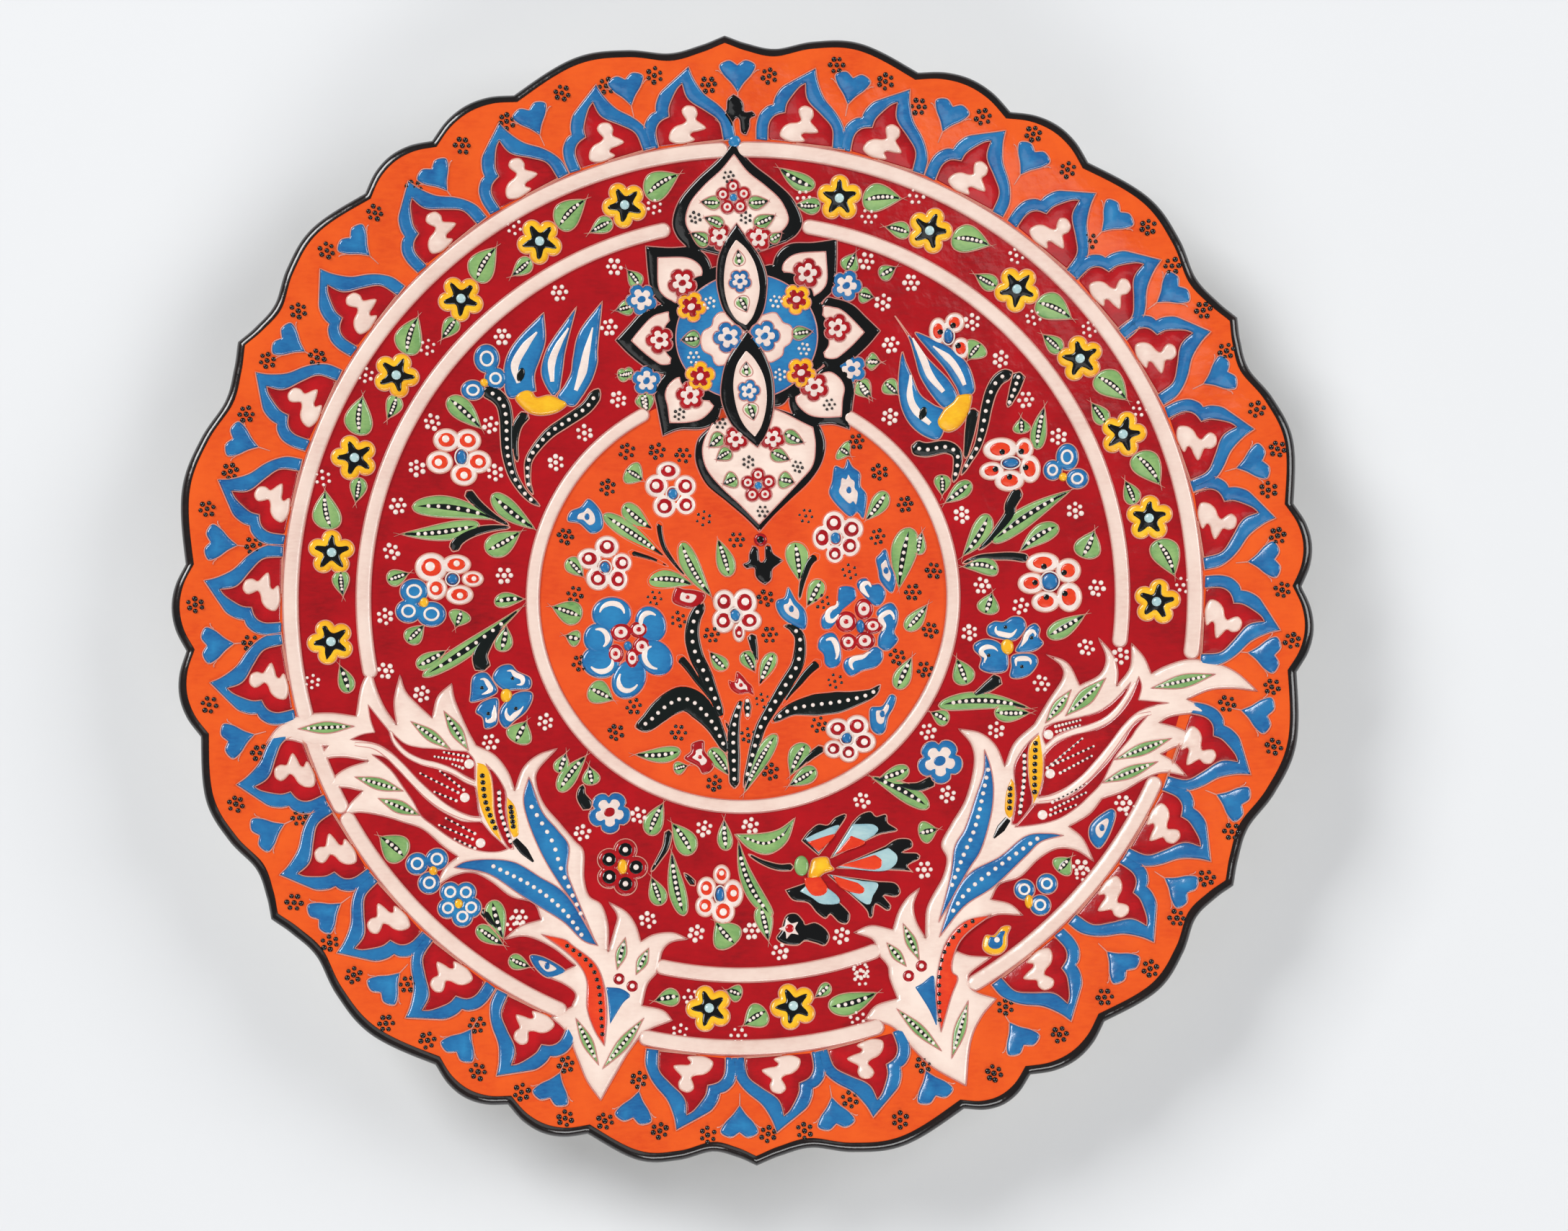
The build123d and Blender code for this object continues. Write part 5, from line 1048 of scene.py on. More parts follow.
MEDALLION_FLOWERS = [
    ((-18.4, 29.1, 1.4, 1.6), [(-19.4, 35.4, 3, 2.4), (-22.7, 31.4, 2.9, 2.9), (-14.9, 31.1, 2.8, 2.8),
                               (-20.7, 25.8, 3, 3), (-14.9, 26, 2.6, 2.6)]),
    ((-37.4, 9.4, 1.4, 1.6), [(-36.7, 15, 3, 2.8), (-41.6, 11.9, 3, 2.6), (-32.8, 10.5, 2.6, 2.6),
                              (-39.3, 6.5, 3, 3), (-34, 6.1, 2.6, 3)]),
    ((-2.3, -4.7, 1.4, 1.6), [(-5.2, -0.9, 2.7, 3), (0.4, -1.3, 3, 3.4), (-5.5, -6.1, 2.8, 3),
                              (1.5, -6.3, 3, 2.6), (-1.4, -9.4, 1.5, 2.4)]),
    ((25.7, 15.5, 1.4, 1.7), [(25.4, 19.5, 3, 3.2), (30.1, 17.7, 3, 3), (22.1, 15.7, 2.6, 3.2),
                              (29.5, 13.2, 2.7, 2.8), (25.4, 11.2, 2.4, 2.5)]),
    ((27, -39.4, 1.4, 1.5), [(24.7, -36.8, 3, 2.6), (29.9, -36.3, 2.9, 2.8), (23.4, -42.2, 2.4, 2.2),
                             (31.5, -40.6, 3, 2.6), (27.4, -43.3, 2.4, 2.4)]),
]
MEDALLION_DOTTED = [
    ([(-10.9, -0.9), (-13.3, -5), (-14.2, -10), (-13.2, -15.5), (-11.2, -20), (-9.3, -25), (-7.8, -29),
      (-6.6, -33)], [3.0, 4.2, 4.0, 2.4], 11),
    ([(-30.2, -34.5), (-27, -33.6), (-23.8, -30.8), (-20.9, -28.6), (-17.4, -27.2), (-14.4, -28.1),
      (-11.8, -30.6), (-9.3, -33.9), (-7.4, -37.6), (-5.4, -42.5)], [3.5, 6.0, 7.2, 6.8, 4.2, 2.0], 14),
    ([(-3.7, -52), (-3.7, -43.9), (-3.7, -38.6), (-3.2, -34.1), (-1.9, -29.6), (-0.8, -27.8)],
     [2.6, 3.5, 3.4, 1.5], 9),
    ([(0.3, -27), (0.4, -30), (0.3, -33.5)], [1.2, 2.6, 1.2], 3),
    ([(-1.2, -52), (0.8, -45.3), (2.2, -40.4), (3.9, -35.4), (6.6, -30.9), (9.2, -26.9), (11.7, -23.1),
      (14.1, -19.2), (15.1, -15), (15, -11), (13, -8.6), (10.8, -8.1)], [1.2, 2.6, 3.2, 4.0, 3.6, 2.0], 17),
    ([(6.8, -34.5), (9.9, -32.3), (13.1, -30.8), (18.9, -30), (23.9, -29.6), (29.2, -28.8), (34.2, -27.4),
      (36.6, -25.1)], [1.6, 3.6, 6.2, 6.0, 3.6, 1.2], 12),
]
MEDALLION_PLAIN = [
    ([(-18.3, -15.3), (-15.8, -18.2), (-13.1, -22.2), (-10.4, -26.2), (-8.6, -29.8)], 2.6),
    ([(-22.3, 21.8), (-22.1, 18.2), (-21, 14.1), (-18.5, 10.1), (-15.6, 6.5)], 2),
    ([(-31, 13.5), (-27.9, 12.6), (-23.9, 11.2), (-20.1, 9.2)], 1.8),
    ([(1.9, -9.9), (2.6, -13.7), (3.3, -17.9)], 2.6),
    ([(20.7, -17.9), (17.1, -20.9), (14.4, -24), (11.7, -27.1), (9.9, -29.8)], 2.8),
    ([(21.2, 11.2), (18.5, 9.2), (16.7, 5.2), (15.8, 1.6), (15.3, -1.1)], 2.4),
    ([(20.7, -41.5), (17.1, -43.9), (14.4, -46.2), (12.6, -48)], 2.4),
]
LEFT_ROSE = [(-35.8, -3.4, 4.6, 4.0), (-25.4, -6.5, 3.6, 4.4), (-24.3, -15.7, 3.8, 4.6),
             (-31.5, -21.3, 4.8, 3.8), (-39.1, -16.4, 3.8, 4.4), (-39.6, -10.1, 3.6, 3.4)]
RIGHT_ROSE = [
    [(25.6, -0.2), (26.1, 2), (28.3, 2.5), (30.6, 1.6), (31, -1.1), (29.2, -2.9), (27, -4.7), (25.6, -7.4),
     (23.4, -9.6), (21.2, -9.2), (20.9, -6.5), (22.5, -4.3), (25.2, -2.9)],
    [(31, 1.6), (31.5, 3.8), (33.7, 4.3), (35.1, 2.5), (37.3, 2.5), (38.9, 0.2), (38.2, -2.5), (36.4, -3.8),
     (34.2, -2.5)],
    [(38.2, -3.4), (40.5, -2.9), (42, -5.2), (41.8, -8.3), (40.9, -11), (41.8, -13.2), (39.1, -15.9),
     (36.4, -15), (36.4, -11.9), (37.8, -9.2), (36, -5.6)],
    [(26.5, -19.1), (27.9, -17.3), (32.4, -16.4), (35.1, -14.6), (37.3, -15.5), (37.5, -18.2), (35.5, -20.4),
     (31.9, -21.3), (28.8, -22.7), (27, -21.3)],
    [(20.3, -11.9), (22.5, -10.3), (24.7, -10.5), (26.1, -13.2), (26.5, -17.3), (25.6, -19.5), (23.4, -20.4),
     (21.6, -19.1), (21.2, -16.4), (19.8, -14.6)],
]
ROSE_HEARTS = [
    ((-31.7, -12.3, 1.2, 1.4), [(-33.5, -8.5, 3, 2.6), (-28.6, -7.9, 2.7, 2.4), (-27.9, -12.6, 2.6, 2.7),
                                (-30.6, -15.7, 1.9, 2.9), (-35.1, -14.4, 2.3, 2.7)]),
    ((31.7, -9, 1.2, 1.9), [(32.8, -4.3, 2.6, 3), (27.9, -7.6, 3, 3), (35.1, -9, 2.6, 2.2),
                            (28.3, -13.2, 2.4, 2.4), (32.8, -13, 2.8, 2.6)]),
]
BUDS = [
    [(12.4, 2.5), (11.3, -0.2), (9.3, -0.9), (8.8, -2.5), (9.9, -5.2), (12.2, -7.4), (16.2, -9.4),
     (17.3, -7), (16.7, -3.8), (14.4, -1.1)],
    [(39.3, 11.9), (37.5, 10.5), (36.4, 9.2), (36.9, 6.1), (37.5, 3), (40.5, -0.2), (41.8, 3.8), (40.5, 7.5)],
    [(26.1, 35.2), (28.5, 34.5), (29.7, 37), (31, 34.8), (33, 32.9), (33, 29.5), (34.6, 26.6), (33.5, 20.4),
     (31.9, 22.2), (30, 21), (27.4, 23.1), (24.3, 27.5), (25.2, 31.1)],
    [(33.3, -33.2), (33.9, -31.2), (36.9, -30.9), (39.1, -28), (40.7, -28.7), (40, -31.4), (38.4, -34.1),
     (37.5, -37.7), (35.7, -38.8), (33.7, -37.2)],
    [(-41.6, 28.3), (-43.6, 26.2), (-46.4, 25), (-47.2, 22.4), (-44, 21.6), (-40.8, 18.8), (-37.8, 20.2),
     (-37.8, 24), (-39.6, 27)],
]
FIELD_BUDS = [
    [(97.2, -61.4), (97.9, -63.2), (95.8, -68.6), (93.1, -71.8), (90.9, -69.5), (90.7, -66.4), (92.2, -64.1),
     (95.4, -61.9)],
    [(-59, -95.5), (-55, -96.2), (-49.5, -100), (-54, -101.6), (-57.5, -99)],
]
YELLOW_BUD = [
    (61.3, -97.1), (62.2, -93.9), (64.4, -93.9), (66.7, -91.7), (68.9, -91.7), (68, -93.9), (67.6, -97.1),
    (65.8, -98.9), (63.1, -98.9),
]
RED_MINI = [
    [(-19.4, -0.2), (-18.3, 3.4), (-16.2, 2.9), (-14, 2.7), (-11.3, 2), (-10.2, 1.1), (-11.3, -1.1),
     (-13.5, -2.5), (-17.1, -1.8)],
    [(-2.3, -20.2), (-0.6, -21.5), (0.4, -22.9), (1.9, -24.5), (2.2, -27.1), (0.8, -26.3), (-1.9, -26.5),
     (-4.1, -24.9), (-4.6, -22.5), (-3, -22.9)],
    [(-14.9, -39.5), (-11.8, -38.8), (-11.5, -41.7), (-9.1, -44.9), (-10, -47.1), (-12.2, -47.8),
     (-13.5, -45.8), (-17.1, -43.5), (-15.3, -41.7)],
]
BLACK_ROSETTES = [
    (-30.6, 41.2), (-22.4, 40.9), (-15.3, 39.6), (-36.2, 31.4), (-10.2, 22.2), (-47.9, 18.2), (-1.2, 16),
    (-45.8, 2.2), (-24.1, 0.7), (6.1, -0.3), (-17.8, -5.4), (-8.8, -9.9), (7, -10.4), (-44.7, -16.6),
    (-30.4, -28.9), (4.5, -28.3), (17.8, 21.8), (37.1, 15.3), (29.2, 6.1), (21.6, -1.8), (46.1, -0.2),
    (52.1, 5.4), (24.3, -23.8), (41.4, -17.7), (48.8, -21.5), (50.5, -10.8), (32.2, 41.7), (38.2, 32.9),
    (44.9, 24), (-35.5, -35.9), (-18.5, -36.3), (-9.1, -50.5), (0.4, -37.7), (6.2, -47.8), (19.6, -35.4),
]


def bud(group, points):
    """Blue bud with a white heart and a dark dot."""
    outline = blob(points)
    contour(group + "_contours", raised(group + "_flowers_blue", [outline], LOW, 0.86, edge=0.8))
    raised(group + "_flowers_white", [smaller(outline, 0.5)], 0.82, 1.02, edge=0.4)
    x, y = np.mean(outline, axis=0)
    raised(group + "_flower_eyes", [ellipse(x, y, 0.75, 1.0)], 0.96, 1.15, edge=0.3)


def build_medallion():
    """Roses, flowers, buds and stems of the orange medallion."""
    for entry in MEDALLION_LEAVES:
        leaf("medallion_leaves_green", *entry)
    for centre, petals in MEDALLION_FLOWERS:
        open_flower("medallion", centre, petals, "crescent")
    for points, width, dots in MEDALLION_DOTTED:
        stem("medallion_stems_black", points, width, dots)
    for points, width in MEDALLION_PLAIN:
        stem("medallion_stems_black", points, width)
    stem("medallion_stems_black", [(-3.2, -37), (-4.8, -35.6), (-5.9, -33.4)], [1.8, 1.2, 0.5])
    petals = [ellipse(x, y, rx * ROSE_PETAL_WIDER, ry * ROSE_PETAL_WIDER, turn=20 * k)
              for k, (x, y, rx, ry) in enumerate(LEFT_ROSE)]
    petals += [blob(petal) for petal in RIGHT_ROSE]
    for index, outline in enumerate(petals):
        lines = raised("medallion_roses_blue", [outline], LOW, 0.84 + 0.05 * (index % 3), edge=1.0)
        contour("medallion_contours", lines)
        line = np.array(smaller(outline, 0.6))
        picked = [line[(5 * index + k) % len(line)] for k in range(len(line) // 2)]
        stroke("medallion_strokes_white", picked, [0.4, 1.5, 1.3, 0.4], 0.84 + 0.05 * (index % 3), 0.2)
    for (x, y, across, tall), hearts in ROSE_HEARTS:
        outlines = [ellipse(*heart) for heart in hearts]
        contour("medallion_contours", raised("medallion_roses_red", outlines, 0.4, 1.0, edge=0.8))
        for hx, hy, rx, ry in hearts:
            raised("medallion_flowers_white", [ellipse(hx, hy, rx * 0.62, ry * 0.62)], 0.95, 1.12, edge=0.4)
            dot("medallion_flowers_red", hx, hy, 0.75, 1.06, 0.25, 10)
        raised("medallion_flower_eyes", [ellipse(x, y, across, tall)], 0.5, 1.35, edge=0.7)
    for points in BUDS:
        bud("medallion", points)
    for points in FIELD_BUDS:
        bud("field", points)
    outline = blob(YELLOW_BUD)
    contour("field_contours", raised("field_flower_yellow", [outline], LOW, 0.86, edge=0.6))
    raised("field_flowers_blue", [smaller(outline, 0.62)], 0.82, 1.02, edge=0.4)
    dot("field_dots_white", *np.mean(outline, axis=0), 0.8, 0.98, 0.25)
    for points in RED_MINI:
        outline = blob(points)
        lines = raised("medallion_flowers_red", [outline], LOW, 0.86, edge=0.7)
        contour("medallion_contours", lines)
        raised("medallion_flowers_white", [smaller(outline, 0.5)], 0.82, 1.02, edge=0.4)
        x, y = np.mean(outline, axis=0)
        dot("medallion_flowers_red", x, y, 0.6, 0.98, 0.2)
    for x, y in BLACK_ROSETTES:
        rosette("medallion_rosettes_black", x, y)


build_medallion()


# ---- pendant ----
DISC = (3.2, 71.3)
UPPER_PANEL = [
    [(-12.3, 95.9), (-15, 99), (-16, 103), (-14, 108.5), (-9, 114), (-3, 119)],
    [(1.5, 124), (6, 118), (12, 113), (17, 108), (19.5, 102), (18, 98.5)],
    [(14.9, 96.4), (1.5, 93)],
]
LOWER_PANEL = [
    [(-8, 47), (-11, 44), (-12, 40), (-11.5, 36), (-9, 31), (-4, 26.5), (1, 22)],
    [(5, 17.8), (9, 22), (14, 26.5), (19, 31), (22.5, 36), (23.8, 41), (23, 45)],
    [(22, 47), (7, 52)],
]
LOWER_INNER = [
    [(-7, 48), (-9.5, 43), (-9.8, 39), (-8.5, 35), (-5, 30.5), (0, 25.5)],
    [(5, 20), (10, 25), (16, 31), (20, 35.5), (21, 41)],
    [(20.5, 46), (7, 52)],
]
# Black outline and cream inside of a petal on the left, and the line that its twin mirrors about.
PETALS = [
    ([[(-23.6, 96.6), (-17, 96), (-11, 96), (-7.5, 94), (-5.8, 90.5)], [(-6, 86), (-16, 79.2), (-20, 81),
      (-22.5, 84), (-23.3, 90)]],
     [[(-20.4, 93.4), (-13, 93.2), (-9.5, 91.5), (-8.4, 89)], [(-10, 86), (-15, 81.4), (-17, 81.8),
      (-19.2, 83.3), (-20.5, 86)]], 2.6),
    ([[(-32.8, 71.4), (-29, 67.3), (-24, 63.3), (-20, 61.8), (-17.2, 62.6)], [(-14, 70), (-17.6, 80.2),
      (-21, 80.6), (-25.5, 78.8), (-29, 75.3)]],
     [[(-28.4, 71.2), (-25, 67.9), (-22, 65.5), (-20, 64.5), (-17, 65.3)], [(-14, 70), (-16.5, 78),
      (-20.5, 78.2), (-23, 77), (-26, 74)]], 3.5),
    ([[(-20.7, 45.0), (-16, 46.6), (-10, 46.6), (-6, 48.5), (-4.4, 54)], [(-8, 58), (-15.5, 63.2),
      (-18.5, 62.8), (-21.5, 60), (-22.6, 57), (-22, 53)]],
     [[(-18.6, 48.6), (-14, 48.6), (-10, 49.4), (-7, 52), (-6.3, 54.5)], [(-8, 57), (-14.6, 60.8),
      (-18, 59.5), (-19.6, 56.5), (-19, 53)]], 4.9),
]
MANDORLAS = [
    ([[(1.5, 102), (-1.5, 98), (-3.8, 93), (-4.5, 88), (-4.3, 84), (-3, 79), (-0.5, 75.5)],
      [(3.3, 72.2), (6.5, 75.5), (8.3, 79), (9.2, 84), (9.2, 88), (7.5, 93), (4.5, 97.5)]],
     [[(1.2, 97.7), (-1.2, 94), (-2.4, 89), (-2.5, 84), (-1.5, 79.5), (0.5, 76)],
      [(3.2, 74.3), (5.3, 77), (7, 82), (7.2, 86), (6.2, 91), (4, 95)]]),
    ([[(3.3, 73.2), (0.5, 69.5), (-2.5, 65), (-4, 60), (-4.4, 55), (-3, 50), (-0.5, 46)],
      [(5.2, 41.0), (7.7, 44.5), (9.4, 49), (10.2, 54), (10, 60), (8.6, 65), (6.3, 69.5)]],
     [[(2.9, 67.7), (0.3, 64), (-0.8, 60), (-0.9, 56), (0, 51), (1.8, 47)],
      [(4.6, 43.8), (6.6, 47), (8, 52), (8.2, 57), (7.2, 61.5), (5, 65.5)]]),
]
FINIAL = [
    [(3, 14.2), (2, 12), (1.8, 10), (0.2, 9.2)],
    [(1.2, 8), (3.3, 8.1), (3.5, 6), (4.5, 4.5)],
    [(6.1, 3.4), (7.8, 4.8), (8.2, 7.5), (9.5, 8.6)],
    [(11.3, 9.9), (10, 10.8), (8.5, 12), (7.8, 14.3), (6.5, 14.2)],
    [(6.3, 10.5), (5.5, 9.6), (4.7, 10.2), (4.4, 13.5)],
]
CLOUD = [
    (3.2, 76), (-3, 78.2), (-5.5, 76.8), (-6.3, 74.5), (-8.5, 73.2), (-9.4, 71), (-8.8, 68), (-6.5, 66.5),
    (-5.8, 64.5), (-3.8, 63.8), (3.2, 66), (8.8, 64.3), (10.5, 64.5), (12.8, 66), (13.3, 68), (15, 69.2),
    (15.9, 71.5), (15.3, 73.8), (13.3, 74.8), (12.3, 76.3), (10.5, 77.6),
]
PENDANT_LEAVES = [
    ((-4.2, 45), (-8.2, 41.6), 3.6, 3), ((-2, 40.4), (-6.2, 38), 3.4, 4), ((-0.6, 33), (-4.6, 31.3), 4.0, 3),
    ((10.6, 32), (15, 31), 4.0, 3), ((12.6, 44.8), (18, 41.8), 3.4, 3), ((8.8, 39.8), (14, 37.3), 3.4, 4),
    ((3.1, 60.4), (2.9, 64.6), 3.0, 2), ((3.0, 53.2), (4.4, 48.4), 3.6, 3),
    ((1.8, 90.4), (1.6, 94.9), 2.9, 2),
    ((1.4, 82.2), (3.5, 77.9), 3.6, 3), ((-9.5, 71.2), (-14.8, 71), 3.9, 3),
    ((15.6, 71.4), (21.3, 72), 3.2, 4),
    ((-2.6, 107.6), (-8.2, 108), 3.2, 4), ((4.8, 107.3), (10.6, 107.6), 3.2, 4),
    ((-2, 101.2), (-7.4, 103.8), 3.0, 4),
    ((6.2, 101.3), (12.2, 103.7), 3.4, 4), ((-6.3, 96.6), (-11.2, 99.8), 3.4, 4),
    ((10.2, 96.9), (13.8, 99), 2.6, 3),
]
SIDE_LEAVES = [
    ((-25.6, 85.8), (-28.8, 90.2), 3.6, 4), ((-27.5, 80.5), (-32.3, 79.5), 3.6, 4),
    ((31.0, 88.0), (33.6, 92.6), 4.4, 4), ((34.2, 81.8), (38.2, 80.6), 3.6, 4),
    ((40, 86), (44.5, 88.3), 3.6, 3),
    ((-25.4, 57.2), (-25.1, 51.2), 3.8, 4), ((33.2, 58.3), (36.6, 53.8), 3.8, 4),
    ((-28, 62.5), (-31.6, 62), 2.8, 4),
    ((35.4, 63), (39.4, 62.8), 3, 3),
]
# Middle, radius and turn of the lobed flowers: red in the petals and panels, blue in the others.
RED_LOBED = [
    (-13.9, 86.4, 4.1, 15), (20.3, 87.8, 4.1, 40), (-20.6, 71.2, 3.9, 0), (28.0, 72.7, 3.9, 35),
    (-12.8, 55.8, 4.0, 60), (21.3, 57.0, 4.0, 10), (-3.3, 98.4, 3.7, 20), (7.4, 97.8, 3.7, 50),
    (-0.7, 43.6, 3.5, 10), (9.4, 43.3, 3.5, 25),
]
BLUE_LOBED = [(-1.8, 71.3, 4.3, 0), (8.1, 71.3, 4.3, 36), (1.9, 86.4, 3.2, 18), (3.3, 56.5, 3.2, 40)]
SIDE_LOBED = [(-25.2, 82.3, 4.4, 10), (30.9, 84, 4.3, 30), (-24.6, 60.2, 4.1, 50), (31.6, 61.4, 4.1, 0)]
YELLOW_LOBED = [(-11.7, 79.9, 4.2, 30), (17.2, 80.9, 4.2, 10), (-9.9, 60.9, 4.2, 50), (17.8, 61.0, 4.2, 20)]


def build_pendant():
    """Black edged pendant that hangs from the top of the rim."""
    scallops = []
    for k in range(240):
        angle = 360 * k / 240
        lobe = 0.955 + 0.045 * abs(math.sin(math.radians(angle * 12)))
        scallops.append(np.array(DISC) + (22.7 * lobe * math.cos(math.radians(angle)),
                                          20.6 * lobe * math.sin(math.radians(angle))))
    petals, insides = [], []
    for outer, inner, middle in PETALS:
        petals += [shape(outer), shape(mirrored(outer, middle))]
        insides += [shape(inner), shape(mirrored(inner, middle))]
    panels = [shape(UPPER_PANEL), shape(LOWER_PANEL)]
    panel_insides = [smaller(panels[0], 0.79), shape(LOWER_INNER)]
    finials = [shape(FINIAL), shape([[(8.0 - x, 139.4 - y) for x, y in s] for s in FINIAL])]
    contour("pendant_contours", raised("pendant_outline_black", panels + petals + [scallops], 0.2, 0.85,
                                       edge=0.8))
    for finial in finials:
        contour("pendant_contours", raised("pendant_outline_black", [finial], LOW, 0.8, edge=0.6))
    for inside_line in panel_insides + insides:
        lines = raised("pendant_panels_cream", [inside_line], 0.78, 0.98, edge=0.5, holes=[scallops])
        contour("pendant_contours", lines, 0.34, 0.24, 0.8)
    disc_line = ellipse(*DISC, 19.4, 17.1, step=0.9)
    contour("pendant_contours", raised("pendant_disc_blue", [disc_line], 0.78, 1.0, edge=0.6), 0.4, 0.26,
            0.82)
    cloud = blob(CLOUD)
    raised("pendant_panels_cream", [cloud], 0.94, 1.14, edge=0.5)
    stroke("pendant_contours", cloud, 0.4, 0.95, 0.24, closed=True)
    for x, y, radius, turn in RED_LOBED:
        lobed_flower("pendant_flowers_red", "pendant_flowers_white", "pendant_flowers_red", x, y, radius,
                     turn, 0.92)
    for x, y, radius, turn in BLUE_LOBED[:2]:
        lobed_flower("pendant_disc_blue", "pendant_flowers_white", "pendant_disc_blue", x, y, radius, turn,
                     1.08)
    for x, y, radius, turn in SIDE_LOBED:
        lobed_flower("pendant_flowers_blue", "pendant_flowers_white", "pendant_flowers_blue", x, y, radius,
                     turn, 0.5)
    for x, y, radius, turn in YELLOW_LOBED:
        lobed_flower("pendant_flowers_yellow", "pendant_flowers_red", "pendant_flowers_white", x, y,
                     radius, turn, 0.94)
    for outer, inner in MANDORLAS:
        lines = raised("pendant_mandorlas_black", [shape(outer)], 0.9, 1.42, edge=0.9)
        contour("pendant_contours", lines, 0.36, 0.5, 0.9)
        raised("pendant_panels_cream", [shape(inner)], 1.36, 1.54, edge=0.5)
    for x, y, radius, turn in BLUE_LOBED[2:]:
        lobed_flower("pendant_disc_blue", "pendant_flowers_white", "pendant_disc_blue", x, y, radius, turn,
                     1.5)
    for cx, cy, out, radius in ((5.1, 30.6, 3.0, 1.9), (0.9, 108.8, 3.0, 1.9)):
        outlines, cores = [], []
        for k in range(5):
            dx, dy = polar(90 + 72 * k, out)
            outlines.append(ellipse(cx + dx, cy + dy, radius, radius))
            cores.append((cx + dx, cy + dy))
        lines = raised("pendant_flowers_red", outlines, 0.92, 1.18, edge=0.5)
        contour("pendant_contours", lines, 0.36, 0.34, 0.92)
        for x, y in cores:
            raised("pendant_flowers_white", [ellipse(x, y, 1.15, 1.15)], 1.12, 1.26, edge=0.3)
            dot("pendant_flowers_red", x, y, 0.55, 1.22, 0.16)
        dot("pendant_disc_blue", cx, cy, 1.0, 1.1, 0.35, 12)
    for entry in PENDANT_LEAVES:
        on_mandorla = -1 < entry[0][0] < 4 and 48 < entry[0][1] < 92
        leaf("pendant_leaves_green", *entry, top=1.72 if on_mandorla else 1.3, tails=False)
    for entry in SIDE_LEAVES:
        leaf("pendant_leaves_green", *entry)
    for x, y in ((2.6, 37.2), (16, 35.4), (6, 23.5), (-4.9, 48.1), (-0.2, 114.4), (-9.8, 103.8), (4.0, 103.3),
                 (-16, 50.8), (25.2, 52)):
        rosette("pendant_rosettes_black", x, y, 1.35, 0.45, low=0.9)
    for x, y in ((-11.5, 66.2), (-6.7, 80.8), (11.6, 80.6), (18.8, 67.4), (12, 60.7)):
        rosette("pendant_dots_white", x, y, 1.4, 0.45, low=0.95)
    dot("pendant_disc_blue", 1.7, 123.6, 1.7, 0.5, 0.6, 16)
    raised("pendant_flowers_red", [ellipse(5.2, 15.8, 1.9, 1.9)], 0.3, 0.95, edge=0.6)
    dot("pendant_rosettes_black", 5.2, 15.8, 1.1, 0.85, 0.35, 14)


build_pendant()


# ---- sprays ----
LEFT_SPRAY = [
    [(-100.7, -17), (-103.2, -22)], [(-104.6, -30), (-112, -29), (-120, -29.8), (-125, -32.8)],
    [(-128, -37), (-122, -36.2), (-116, -38)], [(-112, -38), (-114.3, -40.2)],
    [(-116, -43), (-113, -41.5), (-108, -41)], [(-101.5, -42.2), (-107, -44), (-110.5, -46.5)],
    [(-112.5, -49.8), (-108, -49.2)], [(-103, -50.3), (-106.5, -54)],
    [(-108.5, -58), (-104.5, -56), (-98, -57), (-92, -59), (-87, -61), (-82, -65.5)],
    [(-78, -68.5), (-81.5, -71.5)],
    [(-83.7, -76.5), (-79, -73.6), (-74, -72.9), (-69, -75.5), (-64, -79.5), (-58, -81.5)],
    [(-56, -86), (-61.5, -87.6)], [(-66, -91), (-60, -90.3), (-53, -93.5)], [(-47, -98.5)],
    [(-54, -101.5), (-50, -103.3), (-47, -106)], [(-48, -109.3)],
    [(-53.5, -112), (-49.5, -116), (-46.5, -123), (-44, -129)],
    [(-40.5, -134), (-37, -128), (-33, -121.5), (-28.5, -116.5)], [(-21.5, -113.7), (-24, -111)],
    [(-29.5, -109.6), (-28, -104), (-25.2, -100.5), (-24, -95.5), (-21.5, -93)],
    [(-17, -92.3), (-21, -90.5), (-26, -90.8)], [(-29.6, -92.6), (-31, -88), (-33.5, -84.5)],
    [(-38, -81.8), (-35.8, -85.5), (-36.5, -89)],
    [(-38.3, -95), (-38.3, -88), (-40, -82.5), (-43.3, -80), (-44.6, -75), (-44.6, -68), (-47, -65),
     (-51, -60), (-55, -55), (-57, -49.5), (-56.5, -45.5)],
    [(-51.3, -39.8), (-56.5, -41.5), (-60.5, -45)], [(-62.8, -51), (-64.5, -46), (-68, -41.3)],
    [(-73, -38.5), (-75.5, -33.5), (-78.5, -26)], [(-79.3, -21.5), (-83, -25)],
    [(-84.6, -30.8), (-88.5, -27), (-91.5, -23.5)], [(-93, -19), (-94.6, -26)],
    [(-94, -32.5), (-97, -28), (-99.3, -22.5)],
]
